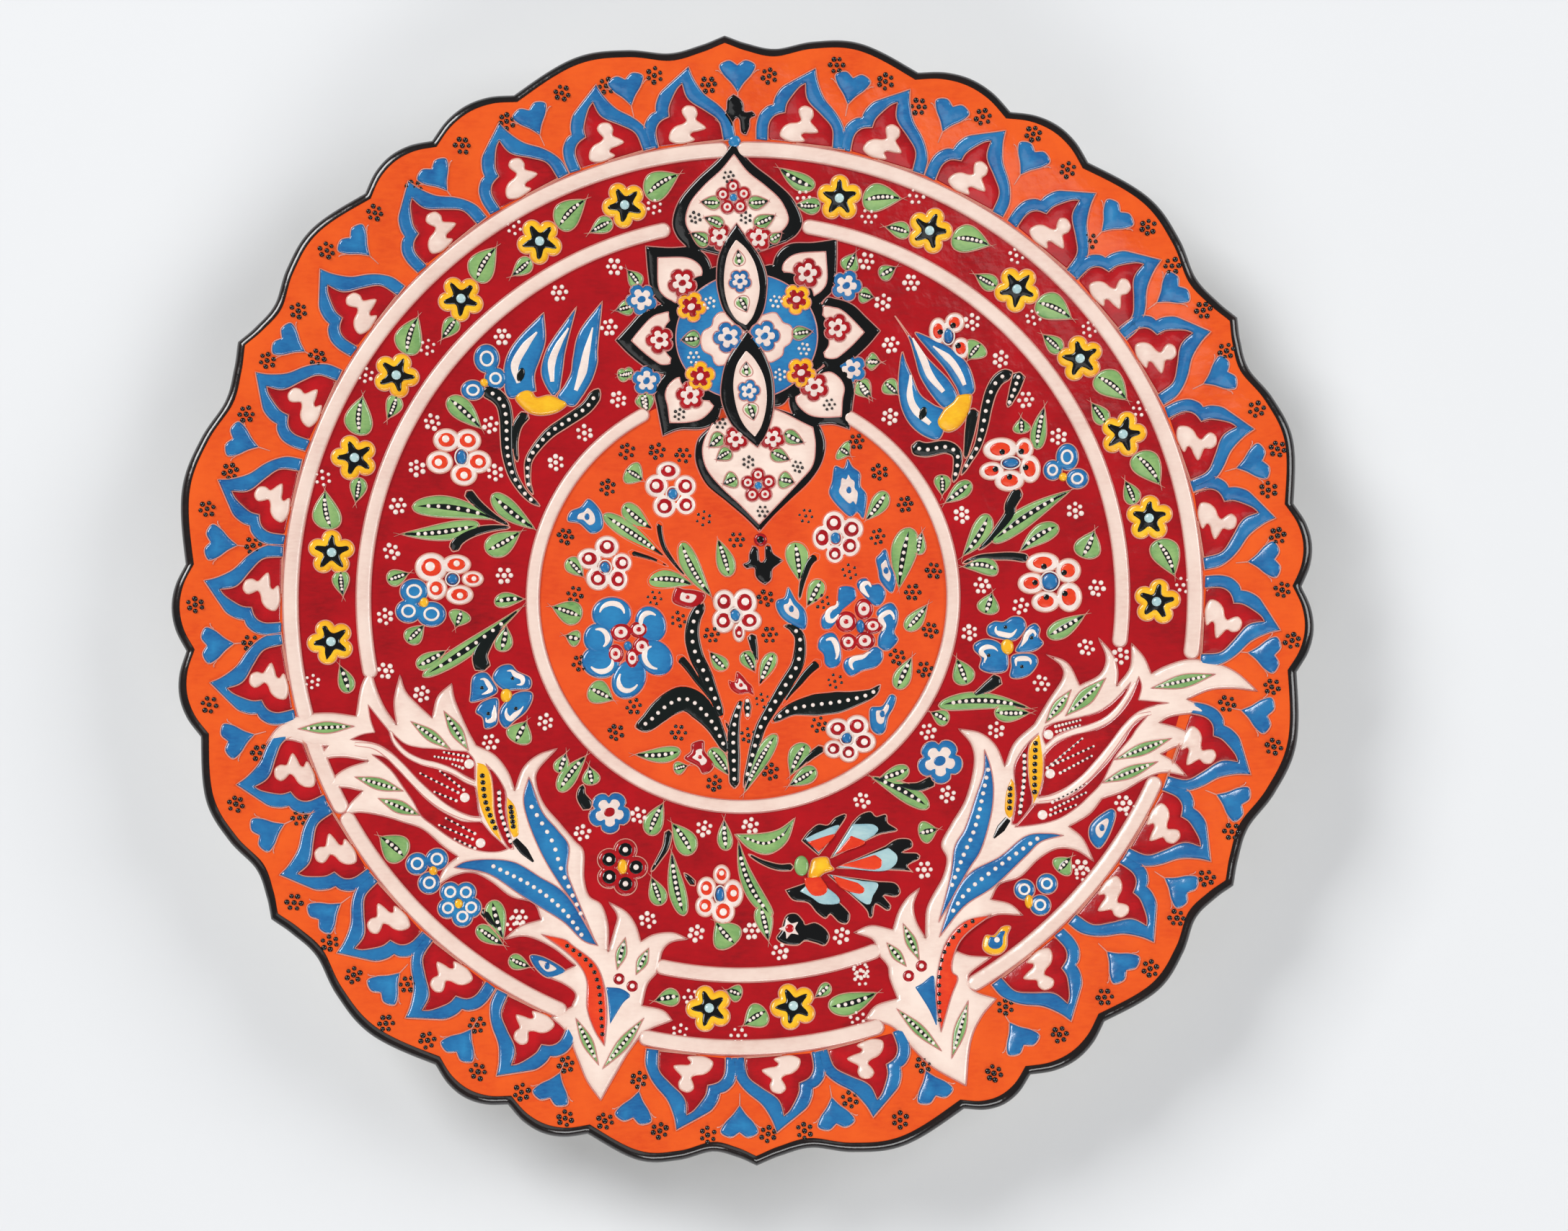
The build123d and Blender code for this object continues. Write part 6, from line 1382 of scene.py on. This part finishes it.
RIGHT_SPRAY = [
    [(104.2, -17), (107.3, -21)], [(109, -25.5), (113, -23.6), (119, -22.2), (125, -23.2), (131, -26.3)],
    [(136.3, -31.7), (130, -30.6), (124, -30.7)], [(118, -32.9), (121.8, -35)],
    [(124, -38), (119, -36.8), (113.5, -37.3)], [(110.5, -38.8), (115, -40.3), (118.5, -42.4)],
    [(121.3, -46), (115, -45.4)], [(110.5, -47.2), (113.8, -49.5)],
    [(117, -53.5), (111, -52.2), (106, -53.6), (100, -56.8)], [(94.5, -58.5), (91, -62.5)],
    [(85.5, -65.6), (89, -69)], [(91.6, -75.2), (87, -72), (82, -71.4), (77, -74), (72, -78.5),
                                 (66.5, -80.3)],
    [(64, -84.3), (69, -85.7)], [(72.3, -88.8), (65, -88.5), (58.5, -92)], [(53.5, -97.3), (57.5, -99)],
    [(63.5, -99.6), (58.5, -103)], [(57.2, -104.5), (58.5, -108.3)],
    [(64.3, -110.6), (60, -115.5), (57, -122)],
    [(55.4, -133), (47, -128), (41, -122), (36.5, -117)], [(29.5, -115), (32.5, -111.5)],
    [(38.3, -109.8), (36.5, -104.5), (36, -101), (33.3, -97.5), (32.3, -94)], [(27.3, -91.9), (32, -90.2)],
    [(37.7, -91.5), (39.5, -86.5), (42, -83)], [(45.2, -80.6), (43.4, -85), (44, -89.5)],
    [(46.3, -94), (46.8, -87), (48.5, -83), (51.5, -78), (52.8, -73), (51.5, -69), (54.5, -63.5),
     (58.5, -57), (61, -48), (60.5, -42.5)],
    [(57.2, -38), (63, -39.4), (67, -43)], [(69.2, -48.7), (72, -42.5)],
    [(77.5, -37.7), (81.5, -31.5), (85.6, -25.5), (85.2, -22)], [(81.5, -18.9), (87, -21.5)],
    [(90, -27.7), (95.5, -25), (97.3, -20.5)], [(95.5, -15), (99, -19.5), (100.2, -24)],
    [(99.8, -28.3), (103.5, -23.5)],
]
SPRAY_RED = [
    [[(-101.5, -27), (-98.8, -30.6), (-95.9, -34.5), (-94.6, -38), (-91.6, -41.3), (-87.6, -43.5),
      (-83.5, -44.7), (-79.5, -46.3), (-75.9, -48.6)], [(-73.2, -49.8), (-72.8, -52.1), (-72.3, -56.6)],
     [(-71.7, -58.0), (-74.6, -57.7), (-78.2, -56.2), (-81.8, -53.9), (-85.3, -50.8), (-88.9, -47.2),
      (-92.5, -43.2), (-95.7, -40), (-99.2, -37.8), (-102.8, -36.9)],
     [(-106.2, -36.4), (-103, -35)], [(-99.8, -34.5), (-100.9, -31)]],
    [[(-95.7, -34.2), (-92, -37.6), (-88, -38.8), (-84, -39.2), (-80, -39.7)], [(-75.3, -40.2), (-73.4, -43)],
     [(-73.3, -48.2), (-75.9, -46.9), (-79.5, -44.7), (-83.5, -43.1), (-87.6, -42), (-91.6, -39.8),
      (-94.4, -36.6)]],
    [[(-100.6, -40.5), (-97, -41.4), (-93.9, -44.5), (-90.3, -48.5), (-87.1, -52.1), (-83.5, -55.3),
      (-80, -57.5), (-76.4, -59.1)], [(-71.7, -59.3), (-69.2, -62.5), (-67.4, -64.2)],
     [(-64.7, -66.9), (-67.4, -67.6), (-71.4, -67.4), (-75.9, -66), (-80.4, -63.3), (-84.4, -60.2),
      (-87.6, -57.5), (-89.8, -53.5), (-92.5, -49.4), (-95.2, -45.4), (-97.9, -42.7)]],
    [[(-70.5, -43.6), (-67.5, -47), (-65.2, -51.5), (-65.2, -56), (-64.5, -61)],
     [(-63.2, -66.9), (-64.7, -66.5), (-67.2, -61.6), (-68.3, -56.6), (-68.5, -52.1), (-69, -47.2)]],
    [[(103.6, -27.6), (100.5, -30.9), (97.6, -33.4), (94.1, -35.3), (89.3, -36.4), (83.4, -37.4)],
     [(80.3, -38.6), (79.6, -41)],
     [(80.3, -43.5), (83.4, -41.0), (87.3, -39.6), (92.2, -38.6), (96.1, -37.1), (99, -34.7),
      (101.8, -31.2)]],
    [[(105.8, -26.1), (106.4, -29)], [(105.4, -32.5), (109, -33)],
     [(113.3, -33.7), (109.7, -34.2), (104.9, -35.9), (101, -39.3), (97.1, -44.1), (93.2, -48.5),
      (89.3, -52.4), (84.9, -55.4), (80.5, -57.1)], [(77.6, -57.5), (79, -53.4), (79.6, -48.5)],
     [(79.7, -46.1), (82.9, -43.2), (87.3, -41.2), (93.2, -40), (97.1, -38.3), (100.5, -35.4),
      (103.4, -31.5)]],
    [[(107.8, -36.6), (104.6, -40.2), (102.9, -42.6), (99, -46.9), (97.1, -50), (94.6, -54.4),
      (91.2, -57.8), (87.8, -60.7), (83.9, -63.1), (80, -64.4), (74.7, -65.1)],
     [(71.2, -65.3), (72.2, -64.2), (75.2, -60.9)],
     [(76.6, -59.2), (80.5, -59), (84.9, -58), (89.3, -55.4), (93.2, -51.9), (97.1, -48), (100.5, -43.7),
      (103.6, -39.2)]],
    [[(78.6, -40.2), (76.1, -43.2), (75.4, -48), (75.6, -53.4), (76.2, -57.8), (75.4, -60.3)],
     [(72.2, -64.4), (70.5, -64.5)],
     [(71, -61.7), (71.7, -57.3), (71.7, -53.9), (71.7, -49), (73.7, -45.1), (76.1, -42.3)]],
]
SPRAY_LINES = [
    ([(-95.6, -34.4), (-94.5, -37.3), (-91.6, -40.5), (-87.6, -42.7), (-83.5, -43.8), (-79.5, -45.4),
      (-75.9, -47.6), (-73.5, -48.8)], 1.2),
    ([(-105, -37.6), (-100, -38.4), (-96.5, -40.6), (-93, -43.9), (-89.5, -47.9), (-86, -51.5), (-82, -54.8),
      (-78, -57.2), (-74.5, -58.5), (-71.8, -58.8)], 1.8),
    ([(104.8, -27.8), (102.4, -31.5), (99.5, -35.2), (96.5, -37.6), (92.5, -39.2), (88, -40.3), (84, -41.8),
      (80.3, -44.6)], 1.5),
    ([(108.5, -36.2), (105, -37), (101.8, -39.9), (98.5, -43.9), (95, -48.1), (91, -52.3), (86.5, -55.7),
      (82, -57.6), (77.8, -58.2)], 1.7),
]
SPRAY_BLUE = [
    ([[(-59, -47.5), (-58, -50), (-55.5, -57), (-51.5, -62), (-48.5, -66.5), (-49, -73), (-47.5, -78)],
      [(-41.5, -93), (-46, -84), (-51.5, -76), (-56, -68), (-59.5, -59), (-60.5, -53)]],
     [(-59, -54.5), (-53, -65), (-50.5, -73), (-45, -86)], 13),
    ([[(-79, -71.5), (-76, -70), (-70, -69.5), (-63, -70.5), (-56.5, -74.5), (-49, -80)],
      [(-41, -93.5), (-45, -92), (-50, -87), (-56, -83), (-62, -79), (-70, -73.5)]],
     [(-69.5, -71), (-58, -77.3), (-50, -84), (-44.8, -91.3)], 16),
    ([[(64, -44), (65.5, -49), (66, -55), (65, -62), (62, -71), (58, -77)],
      [(50, -90), (53.5, -78), (55, -70), (58, -65), (61, -57), (63.5, -50)]],
     [(65, -48.5), (61, -64), (57, -73), (53.5, -81.2)], 16),
    ([[(84, -68), (80, -67.3), (74, -67.8), (67, -73), (59, -77), (54, -83.5)],
      [(50, -94), (57, -86), (65, -81), (74, -73), (78, -69.5)]],
     [(78, -68), (66, -76), (58, -82), (53.3, -88)], 14),
]
SPRAY_WEDGES = [
    [[(-39, -104.5), (-35, -105), (-32.5, -107), (-34.5, -109)], [(-38, -114.5), (-38.5, -108)]],
    [[(43, -107), (45, -106), (48, -104)], [(48.5, -107), (48.8, -112)], [(48.5, -118), (46.5, -113)]],
]
SPRAY_YELLOW = [
    ([[(-72.8, -43.2), (-72.9, -47.6), (-72.6, -52.6), (-71.4, -57.1), (-69.2, -61.6), (-66.5, -64.7)],
      [(-67.2, -61.6), (-68.3, -56.6), (-68.5, -52.1), (-69, -47.2), (-70.5, -44.1)]],
     [(-71.5, -46), (-70.6, -54), (-67.8, -62)], 9),
    ([[(-65, -52.5), (-62.5, -56), (-61.8, -63)], [(-63.2, -64), (-64.5, -61), (-65, -56)]],
     [(-64, -55), (-63.2, -61.5)], 5),
    ([[(78.8, -40.3), (76.1, -43.2), (75.4, -48), (75.6, -53.4), (76.4, -57.8), (75.9, -60)],
      [(77.6, -57.3), (79, -53.4), (79.5, -48.5), (79.3, -44.1)]],
     [(77.8, -42), (77.2, -50), (76.9, -57)], 8),
    ([[(70.8, -52), (69.3, -55.8), (68.7, -60.7), (70, -62.9)], [(71, -61.7), (71.7, -57.3), (71.7, -53.9)]],
     [(70.5, -54), (70, -61)], 4),
]
SPRAY_STRIPES = [
    ([(-67, -50.8), (-66.6, -57), (-63.8, -65.6)], 9), ([(74.6, -45.3), (74.2, -52.6), (72.6, -62.2)], 10),
]
SPRAY_ROWS = [
    ((-84, -41.4), (-76.8, -42.7), 8), ((-81.5, -40.3), (-75.2, -41.6), 6),
    ((-79.3, -43.6), (-76.6, -44.7), 4),
    ((-82.6, -45.4), (-76.4, -50.6), 6), ((-87.8, -45.9), (-77.9, -51.3), 8),
    ((-84.1, -51), (-78.4, -53.5), 5),
    ((-81.1, -58.2), (-73.5, -62.5), 6), ((-82.9, -60), (-74.1, -64), 7), ((-78.8, -63.8), (-73.5, -66.5), 5),
    ((89.8, -37.2), (83.2, -38.6), 8), ((89.6, -38.6), (83.4, -40), 7), ((90.1, -42.2), (80.5, -49.7), 9),
    ((93, -44.4), (82, -49), 9), ((92.4, -47), (83.9, -51.2), 8), ((90.7, -54.4), (81.5, -59), 9),
    ((90.4, -56.8), (81, -61), 9), ((87.6, -60), (80.8, -62.4), 6),
]
SPRAY_BIG_DOTS = [(-74.9, -43.6), (-76.1, -52.7), (-72, -65.1), (81.2, -40.7), (81.2, -51.3), (78.7, -62.3)]
SPRAY_EYES = [
    ((-105.1, -32.8), (-119.9, -33.3), 3.2), ((-92.3, -50.6), (-105.1, -46.5), 3.2),
    ((-87.8, -57.3), (-99, -52.4), 3.4), ((-90.3, -31.7), (-79.7, -39.6), 3.0),
    ((-81.5, -29), (-75, -40), 3.2), ((-33.7, -91.5), (-36, -100), 2.8),
    ((-27.5, -94.5), (-31, -101.5), 2.8), ((-47, -112.5), (-41, -125), 2.8), ((-29, -113), (-40, -126), 3.0),
    ((108.8, -29.5), (125.8, -26.6), 3.6), ((98.3, -48.3), (113.6, -43.2), 3.2),
    ((94.6, -54.4), (109.7, -49.3), 3.2), ((80.5, -37.6), (87.8, -28.8), 3.0),
    ((85.9, -35.9), (97.1, -26.1), 4.2), ((40.5, -90), (44.5, -100), 2.8), ((36, -95), (41, -101.5), 2.6),
    ((38, -112.5), (49.5, -124), 2.8), ((57, -111), (52, -126), 3.0),
]
SPRAY_ORANGE = [
    [[(-56, -90), (-50, -91.5)], [(-48, -93), (-42, -98), (-39.5, -104), (-38.8, -112)],
     [(-39.5, -120), (-42, -116), (-44, -110), (-44, -103), (-46, -98.5), (-50, -94.5)]],
    [[(64, -88.5), (57, -90), (52, -95), (49.5, -102), (48.5, -110)],
     [(49.5, -119), (52.5, -110), (54.5, -105), (53, -103), (54, -98), (57, -93.5)]],
]
ORANGE_DOTS = [
    [(-50, -92.7), (-43.5, -98), (-41, -104), (-40.3, -112), (-40, -118)],
    [(60, -89.5), (55, -92.8), (51.5, -97.5), (49.9, -102.5), (49.4, -109), (49.3, -117)],
]


def build_sprays():
    """The two feathered sprays and what is painted on their cream."""
    for spray in (LEFT_SPRAY, RIGHT_SPRAY):
        lines = raised("sprays_cream", [shape(spray)], 0.2, 0.92, edge=1.1)
        contour("spray_contours", lines)
    for red in SPRAY_RED:
        lines = raised("sprays_red", [shape(red)], ON_CREAM, 1.02, edge=0.5)
        contour("spray_contours", lines, 0.36, 0.26, ON_CREAM)
    for points, width in SPRAY_LINES:
        line = catmull(points, False, 0.8)
        stroke("spray_contours", line, [width * 0.6, width + 0.5, width + 0.5, width * 0.6], 0.95, 0.12)
        stroke("sprays_cream", line, [width * 0.4, width, width, width * 0.4], 1.0, 0.2)
    for blue, dots, count in SPRAY_BLUE:
        lines = raised("sprays_blue", [shape(blue)], ON_CREAM, 1.12, edge=0.8)
        contour("spray_contours", lines, 0.36, 0.36, ON_CREAM)
        dots_along("spray_dots_white", catmull(dots, False, 0.8), count, 0.62, 1.08, 0.36)
    for wedge in SPRAY_WEDGES:
        raised("sprays_blue", [shape(wedge)], ON_CREAM, 1.12, edge=0.6)
    for yellow, dots, count in SPRAY_YELLOW:
        raised("sprays_yellow", [shape(yellow)], ON_CREAM, 1.1, edge=0.6)
        dots_along("spray_strokes_black", catmull(dots, False, 0.8), count, 0.75, 1.04, 0.3)
    for points, count in SPRAY_STRIPES:
        line = catmull(points, False, 0.8)
        stroke("spray_strokes_black", line, 0.9, 0.97, 0.12)
        dots_along("spray_dots_white", line, count, 0.62, 1.02, 0.34)
    for start, end in (((-63, -64.5), (-58, -70.5)), ((69.5, -63), (65.5, -68))):
        stroke("spray_strokes_black", catmull([start, end], False, 0.8), [1.8, 2.4, 0.6], 0.9, 0.25)
    for x, y in SPRAY_BIG_DOTS:
        dot("spray_dots_white", x, y, 1.35, 0.98, 0.4, 16)
    for start, end, count in SPRAY_ROWS:
        start, end = np.array(start), np.array(end)
        row = [start + (end - start) * k / (count - 1) for k in range(count)]
        stroke("spray_strokes_black", row, 0.5, 0.97, 0.1)
        for k, (x, y) in enumerate(row):
            dot("spray_dots_white", x, y, 0.34 + 0.14 * k / (count - 1), 1.0, 0.3, 8)
    for start, end, width in SPRAY_EYES:
        start, end = np.array(start), np.array(end)
        way = (end - start) / np.linalg.norm(end - start)
        side = np.array([-way[1], way[0]])
        middle = (start + end) / 2
        left, right = middle + side * width / 2, middle - side * width / 2
        outline = catmull([start, right, end], False, 0.6) + catmull([end, left, start], False, 0.6)[1:-1]
        lines = raised("sprays_green", [outline], ON_CREAM, 1.08, edge=0.5)
        contour("spray_contours", lines, 0.36, 0.3, ON_CREAM)
        rib = [start + (end - start) * (0.12 + 0.08 * k) for k in range(10)]
        stroke("spray_strokes_black", rib, [0.3, 1.2, 1.2, 0.3], 1.03, 0.12)
        count = int(np.linalg.norm(end - start) * 0.72 / 1.35)
        for k in range(count):
            x, y = start + (end - start) * (0.14 + 0.72 * (k + 0.5) / count)
            dot("spray_dots_white", x, y, 0.5, 1.1, 0.3, 8)
    for orange, dots in zip(SPRAY_ORANGE, ORANGE_DOTS):
        lines = raised("sprays_orange", [shape(orange)], ON_CREAM, 1.1, edge=0.7)
        contour("spray_contours", lines, 0.36, 0.34, 0.88)
        dots_along("spray_strokes_black", catmull(dots, False, 0.8), 14, 0.62, 1.06, 0.26)
    for x, y in ((-35.5, -102.5), (-32, -104.5), (45, -101.5), (41.5, -104)):
        raised("sprays_red", [ellipse(x, y, 1.6, 1.6)], ON_CREAM, 1.1, edge=0.5)
        dot("spray_dots_white", x, y, 0.7, 1.05, 0.25)


build_sprays()


# ---- materials ----
def enamel(name, colour, dark, pooled, rough, mottle, bump):
    """Glossy fired enamel: its colour drifts, darkens where it pools at its edge, and its skin
    ripples."""
    material = bpy.data.materials.new(name)
    material.use_nodes = True
    tree = material.node_tree
    tree.nodes.clear()

    def node(kind, settings=None, **inputs):
        """New node with its settings and inputs. An underscore stands for a space."""
        made = tree.nodes.new("ShaderNode" + kind)
        for key, value in (settings or {}).items():
            setattr(made, key, value)
        for key, value in inputs.items():
            made.inputs[key.replace("_", " ")].default_value = value
        return made

    output = node("OutputMaterial")
    shader = node("BsdfPrincipled", IOR=1.52, Coat_Weight=0.2, Coat_Roughness=0.06)
    place = node("TexCoord")
    # Clouds crossed by slanting streaks, and the pooled edge, turn the colour darker.
    cloud = node("TexNoise", Scale=mottle, Detail=6.0, Roughness=0.62)
    slant = node("Mapping", Scale=(1.0, 3.2, 1.0), Rotation=(0.0, 0.0, 0.6))
    streak = node("TexNoise", Scale=mottle * 5, Detail=4.0)
    spread = node("MapRange", From_Min=0.3, From_Max=0.72, To_Min=0.0, To_Max=1.0)
    drift = node("Math", {"operation": "MULTIPLY"})
    depth = node("Attribute", {"attribute_name": "depth"})
    pool = node("MapRange", To_Min=pooled, To_Max=0.0)
    total = node("Math", {"operation": "ADD", "use_clamp": True})
    blend = node("Mix", {"data_type": "RGBA"}, A=(*colour, 1), B=(*dark, 1))
    gloss = node("MapRange", To_Min=rough * 0.7, To_Max=rough * 1.5)
    # The skin has broad waves with fine ripples on them.
    ripple = node("TexNoise", Scale=420.0, Detail=3.0)
    waves = node("TexNoise", Scale=95.0, Detail=2.0)
    fine = node("Bump", Strength=bump, Distance=0.00025)
    broad = node("Bump", Strength=bump * 1.2, Distance=0.0008)
    links = (
        (place, "Object", cloud, "Vector"), (place, "Object", slant, "Vector"),
        (slant, "Vector", streak, "Vector"), (cloud, "Fac", spread, "Value"),
        (spread, "Result", drift, 0), (streak, "Fac", drift, 1), (depth, "Fac", pool, "Value"),
        (drift, "Value", total, 0), (pool, "Result", total, 1), (total, "Value", blend, "Factor"),
        (blend, "Result", shader, "Base Color"), (streak, "Fac", gloss, "Value"),
        (gloss, "Result", shader, "Roughness"), (place, "Object", ripple, "Vector"),
        (place, "Object", waves, "Vector"), (ripple, "Fac", fine, "Height"),
        (waves, "Fac", broad, "Height"), (broad, "Normal", fine, "Normal"),
        (fine, "Normal", shader, "Normal"), (shader, "BSDF", output, "Surface"),
    )
    for start, outlet, end, inlet in links:
        tree.links.new(start.outputs[outlet], end.inputs[inlet])
    return material


def linear(red, green, blue):
    """Linear colour from 0 to 255 display values."""
    return tuple((c / 255 / 12.92) if c / 255 <= 0.04045 else ((c / 255 + 0.055) / 1.055) ** 2.4
                 for c in (red, green, blue))


# Each glaze or enamel: its colour and its darker colour as display values, how far it darkens at
# its edge, its roughness, the scale of its mottling and the strength of its ripples.
ENAMELS = {
    "bare_clay": ((222, 208, 188), (196, 176, 150), 0.0, 0.7, 90, 0.5),
    "back_glaze": ((232, 224, 208), (214, 203, 182), 0.0, 0.2, 40, 0.3),
    "edge_black": ((14, 14, 14), (42, 20, 14), 0.0, 0.14, 50, 0.25),
    "rim_orange": ((236, 94, 28), (206, 54, 16), 0.0, 0.12, 70, 0.3),
    "medallion_orange": ((232, 86, 30), (198, 44, 16), 0.0, 0.12, 70, 0.3),
    "red_ground": ((178, 8, 20), (104, 2, 10), 0.0, 0.12, 75, 0.3),
    "cream": ((246, 226, 212), (222, 188, 174), 0.55, 0.17, 80, 0.3),
    "white": ((246, 232, 222), (214, 188, 178), 0.4, 0.2, 120, 0.25),
    "blue": ((46, 134, 186), (18, 72, 136), 0.5, 0.14, 110, 0.3),
    "pale_blue": ((190, 216, 212), (124, 170, 184), 0.4, 0.18, 120, 0.25),
    "black": ((4, 5, 5), (1, 2, 2), 0.2, 0.1, 90, 0.25),
    "stem": ((6, 18, 14), (2, 5, 5), 0.3, 0.12, 90, 0.25),
    "green": ((158, 192, 120), (88, 138, 76), 0.5, 0.17, 120, 0.3),
    "yellow": ((249, 202, 40), (230, 146, 16), 0.5, 0.17, 110, 0.3),
    "red": ((192, 14, 24), (118, 3, 12), 0.4, 0.14, 110, 0.3),
    "orange": ((240, 78, 34), (208, 36, 18), 0.4, 0.15, 110, 0.3),
    "pink": ((228, 168, 150), (204, 122, 104), 0.0, 0.2, 160, 0.25),
    "mauve": ((214, 150, 140), (182, 98, 100), 0.0, 0.2, 160, 0.25),
}
MATERIALS = {name: enamel(name, linear(*colour), linear(*dark), *rest)
             for name, (colour, dark, *rest) in ENAMELS.items()}
# Material, the record's slot, the pieces that stand for the CAD node of their own name, and the
# pieces that are painted details with no node.
PAINTED = [
    ("bare_clay", "bare_clay", "clay_body", ""),
    ("back_glaze", "clear_glaze", "back_glaze", ""),
    ("edge_black", "black_glaze", "edge_band_black", ""),
    ("rim_orange", "orange_glaze", "rim_ground_orange", ""),
    ("red_ground", "red_glaze", "border_ground_red field_ground_red", ""),
    ("medallion_orange", "orange_glaze", "medallion_ground_orange", ""),
    ("cream", "cream_enamel",
     "ring_outer_cream ring_middle_cream ring_inner_cream rim_palmettes_cream pendant_panels_cream "
     "sprays_cream",
     ""),
    ("mauve", "cream_enamel", "", "ring_lines pendant_contours spray_contours"),
    ("blue", "blue_enamel",
     "rim_palmettes_blue rim_hearts_blue field_flowers_blue field_flower_eyes tulips_blue "
     "medallion_roses_blue pendant_disc_blue sprays_blue",
     "medallion_flowers_blue medallion_flower_eyes pendant_flowers_blue"),
    ("red", "red_enamel",
     "rim_palmettes_red medallion_flowers_red medallion_roses_red pendant_flowers_red sprays_red",
     "field_flowers_red"),
    ("black", "black_enamel",
     "rim_rosettes_black border_stars_black field_flower_black carnation_black "
     "medallion_rosettes_black pendant_outline_black",
     "field_flower_specks pendant_mandorlas_black pendant_rosettes_black spray_strokes_black"),
    ("pink", "cream_enamel", "", "rim_contours border_contours field_contours medallion_contours"),
    ("yellow", "yellow_enamel",
     "border_flowers_yellow tulip_cups_yellow carnation_calyx_yellow pendant_flowers_yellow "
     "sprays_yellow",
     "field_flower_yellow"),
    ("pale_blue", "pale_blue_enamel", "border_eyes_pale_blue", "carnation_pale"),
    ("green", "green_enamel",
     "border_leaves_green field_leaves_green medallion_leaves_green sprays_green",
     "pendant_leaves_green"),
    ("stem", "black_enamel",
     "field_stems_black medallion_stems_black",
     "border_ribs_black field_ribs_black tulips_dark medallion_ribs_black pendant_ribs_black"),
    ("white", "white_enamel",
     "border_rosettes_white field_rosettes_white field_flowers_white medallion_flowers_white",
     "border_dots_white field_dots_white field_strokes_white tulips_white medallion_dots_white "
     "medallion_strokes_white pendant_flowers_white pendant_dots_white spray_dots_white"),
    ("orange", "orange_enamel", "field_flowers_orange sprays_orange", ""),
    ("orange", "red_enamel", "carnation_red", ""),
]
# The foot ring is turned from the same clay as the body, and is part of its piece.
EXTRA_NODES = {"clay_body": ["foot_ring"]}
PIECES = {}
for material, slot, own, details in PAINTED:
    PIECES.update({name: (material, slot, [name] + EXTRA_NODES.get(name, [])) for name in own.split()})
    PIECES.update({name: (material, slot, []) for name in details.split()})


def build_pieces():
    """Turns the collected surfaces into named objects, each on the plate's body."""
    for name, (verts, polygons, tints) in SHEETS.items():
        material, slot, nodes = PIECES[name]
        mesh = bpy.data.meshes.new("visual_" + name)
        mesh.from_pydata(np.concatenate(verts).tolist(), [], polygons)
        attribute = mesh.attributes.new("depth", "FLOAT", "POINT")
        attribute.data.foreach_set("value", np.concatenate(tints))
        mesh.polygons.foreach_set("use_smooth", [True] * len(mesh.polygons))
        mesh.set_sharp_from_angle(angle=math.radians(50))
        mesh.materials.append(MATERIALS[material])
        mesh.validate()
        piece = bpy.data.objects.new("visual_" + name, mesh)
        bpy.context.scene.collection.objects.link(piece)
        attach(piece, "root")
        if nodes:
            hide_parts(*nodes)


build_pieces()


# ---- floor, light and camera ----
def plain_material(name, colour, rough):
    """Material of one colour and roughness."""
    material = bpy.data.materials.new(name)
    material.use_nodes = True
    shader = material.node_tree.nodes["Principled BSDF"]
    shader.inputs["Base Color"].default_value = (*colour, 1)
    shader.inputs["Roughness"].default_value = rough
    return material


# The floor, the lights and the camera are placed in metres.
FLOOR_REACH = 3
FLOOR_DROP = 0.0003
floor_mesh = bpy.data.meshes.new("floor")
corners = [(x * FLOOR_REACH, y * FLOOR_REACH, -FLOOR_DROP)
           for x, y in ((-1, -1), (1, -1), (1, 1), (-1, 1))]
floor_mesh.from_pydata(corners, [], [(0, 1, 2, 3)])
floor_mesh.materials.append(plain_material("floor", (0.745, 0.755, 0.765), 0.8))
floor = bpy.data.objects.new("floor", floor_mesh)
bpy.context.scene.collection.objects.link(floor)


def area_light(name, place, size, power, target=(0, 0, 0.02)):
    """Soft light that faces the middle of the plate."""
    light = bpy.data.lights.new(name, "AREA")
    light.shape = "RECTANGLE"
    light.size, light.size_y = size
    light.energy = power
    lamp = bpy.data.objects.new(name, light)
    lamp.location = place
    lamp.rotation_mode = "QUATERNION"
    lamp.rotation_quaternion = (Vector(target) - Vector(place)).to_track_quat("-Z", "Y")
    bpy.context.scene.collection.objects.link(lamp)


area_light("key", (-1.4, 1.25, 1.7), (1.0, 1.0), 43)
area_light("fill", (1.7, 0.4, 1.4), (1.1, 1.1), 23)
area_light("low", (0.1, -1.8, 1.2), (1.5, 0.6), 19)
area_light("sheen", (-0.62, -0.55, 1.9), (0.9, 0.9), 2.4)
world = bpy.data.worlds.new("studio")
world.use_nodes = True
world.node_tree.nodes["Background"].inputs["Color"].default_value = (0.93, 0.95, 1.0, 1)
world.node_tree.nodes["Background"].inputs["Strength"].default_value = 0.22
bpy.context.scene.world = world
bpy.context.scene.view_settings.view_transform = "Standard"

# The camera looks down almost square to the face, as the photograph's does.
CAMERA_TURN = {"Z": -1.70, "Y": 1.60, "X": 6.71}
CAMERA_LENS = 77.6
CAMERA_PLACE = (0.0117, -0.0072, 0.9)
CAMERA_PIVOT = (0, 0, 0.033)
view = Matrix.Identity(3)
for axis, degrees in CAMERA_TURN.items():
    view = view @ Matrix.Rotation(math.radians(degrees), 3, axis)
camera = bpy.data.objects.new("camera", bpy.data.cameras.new("camera"))
camera.data.lens = CAMERA_LENS
camera.data.sensor_width = 36.0
camera.data.dof.use_dof = False
camera.location = view @ Vector(CAMERA_PLACE) + Vector(CAMERA_PIVOT)
camera.rotation_mode = "QUATERNION"
camera.rotation_quaternion = view.to_quaternion()
bpy.context.scene.collection.objects.link(camera)
bpy.context.scene.camera = camera
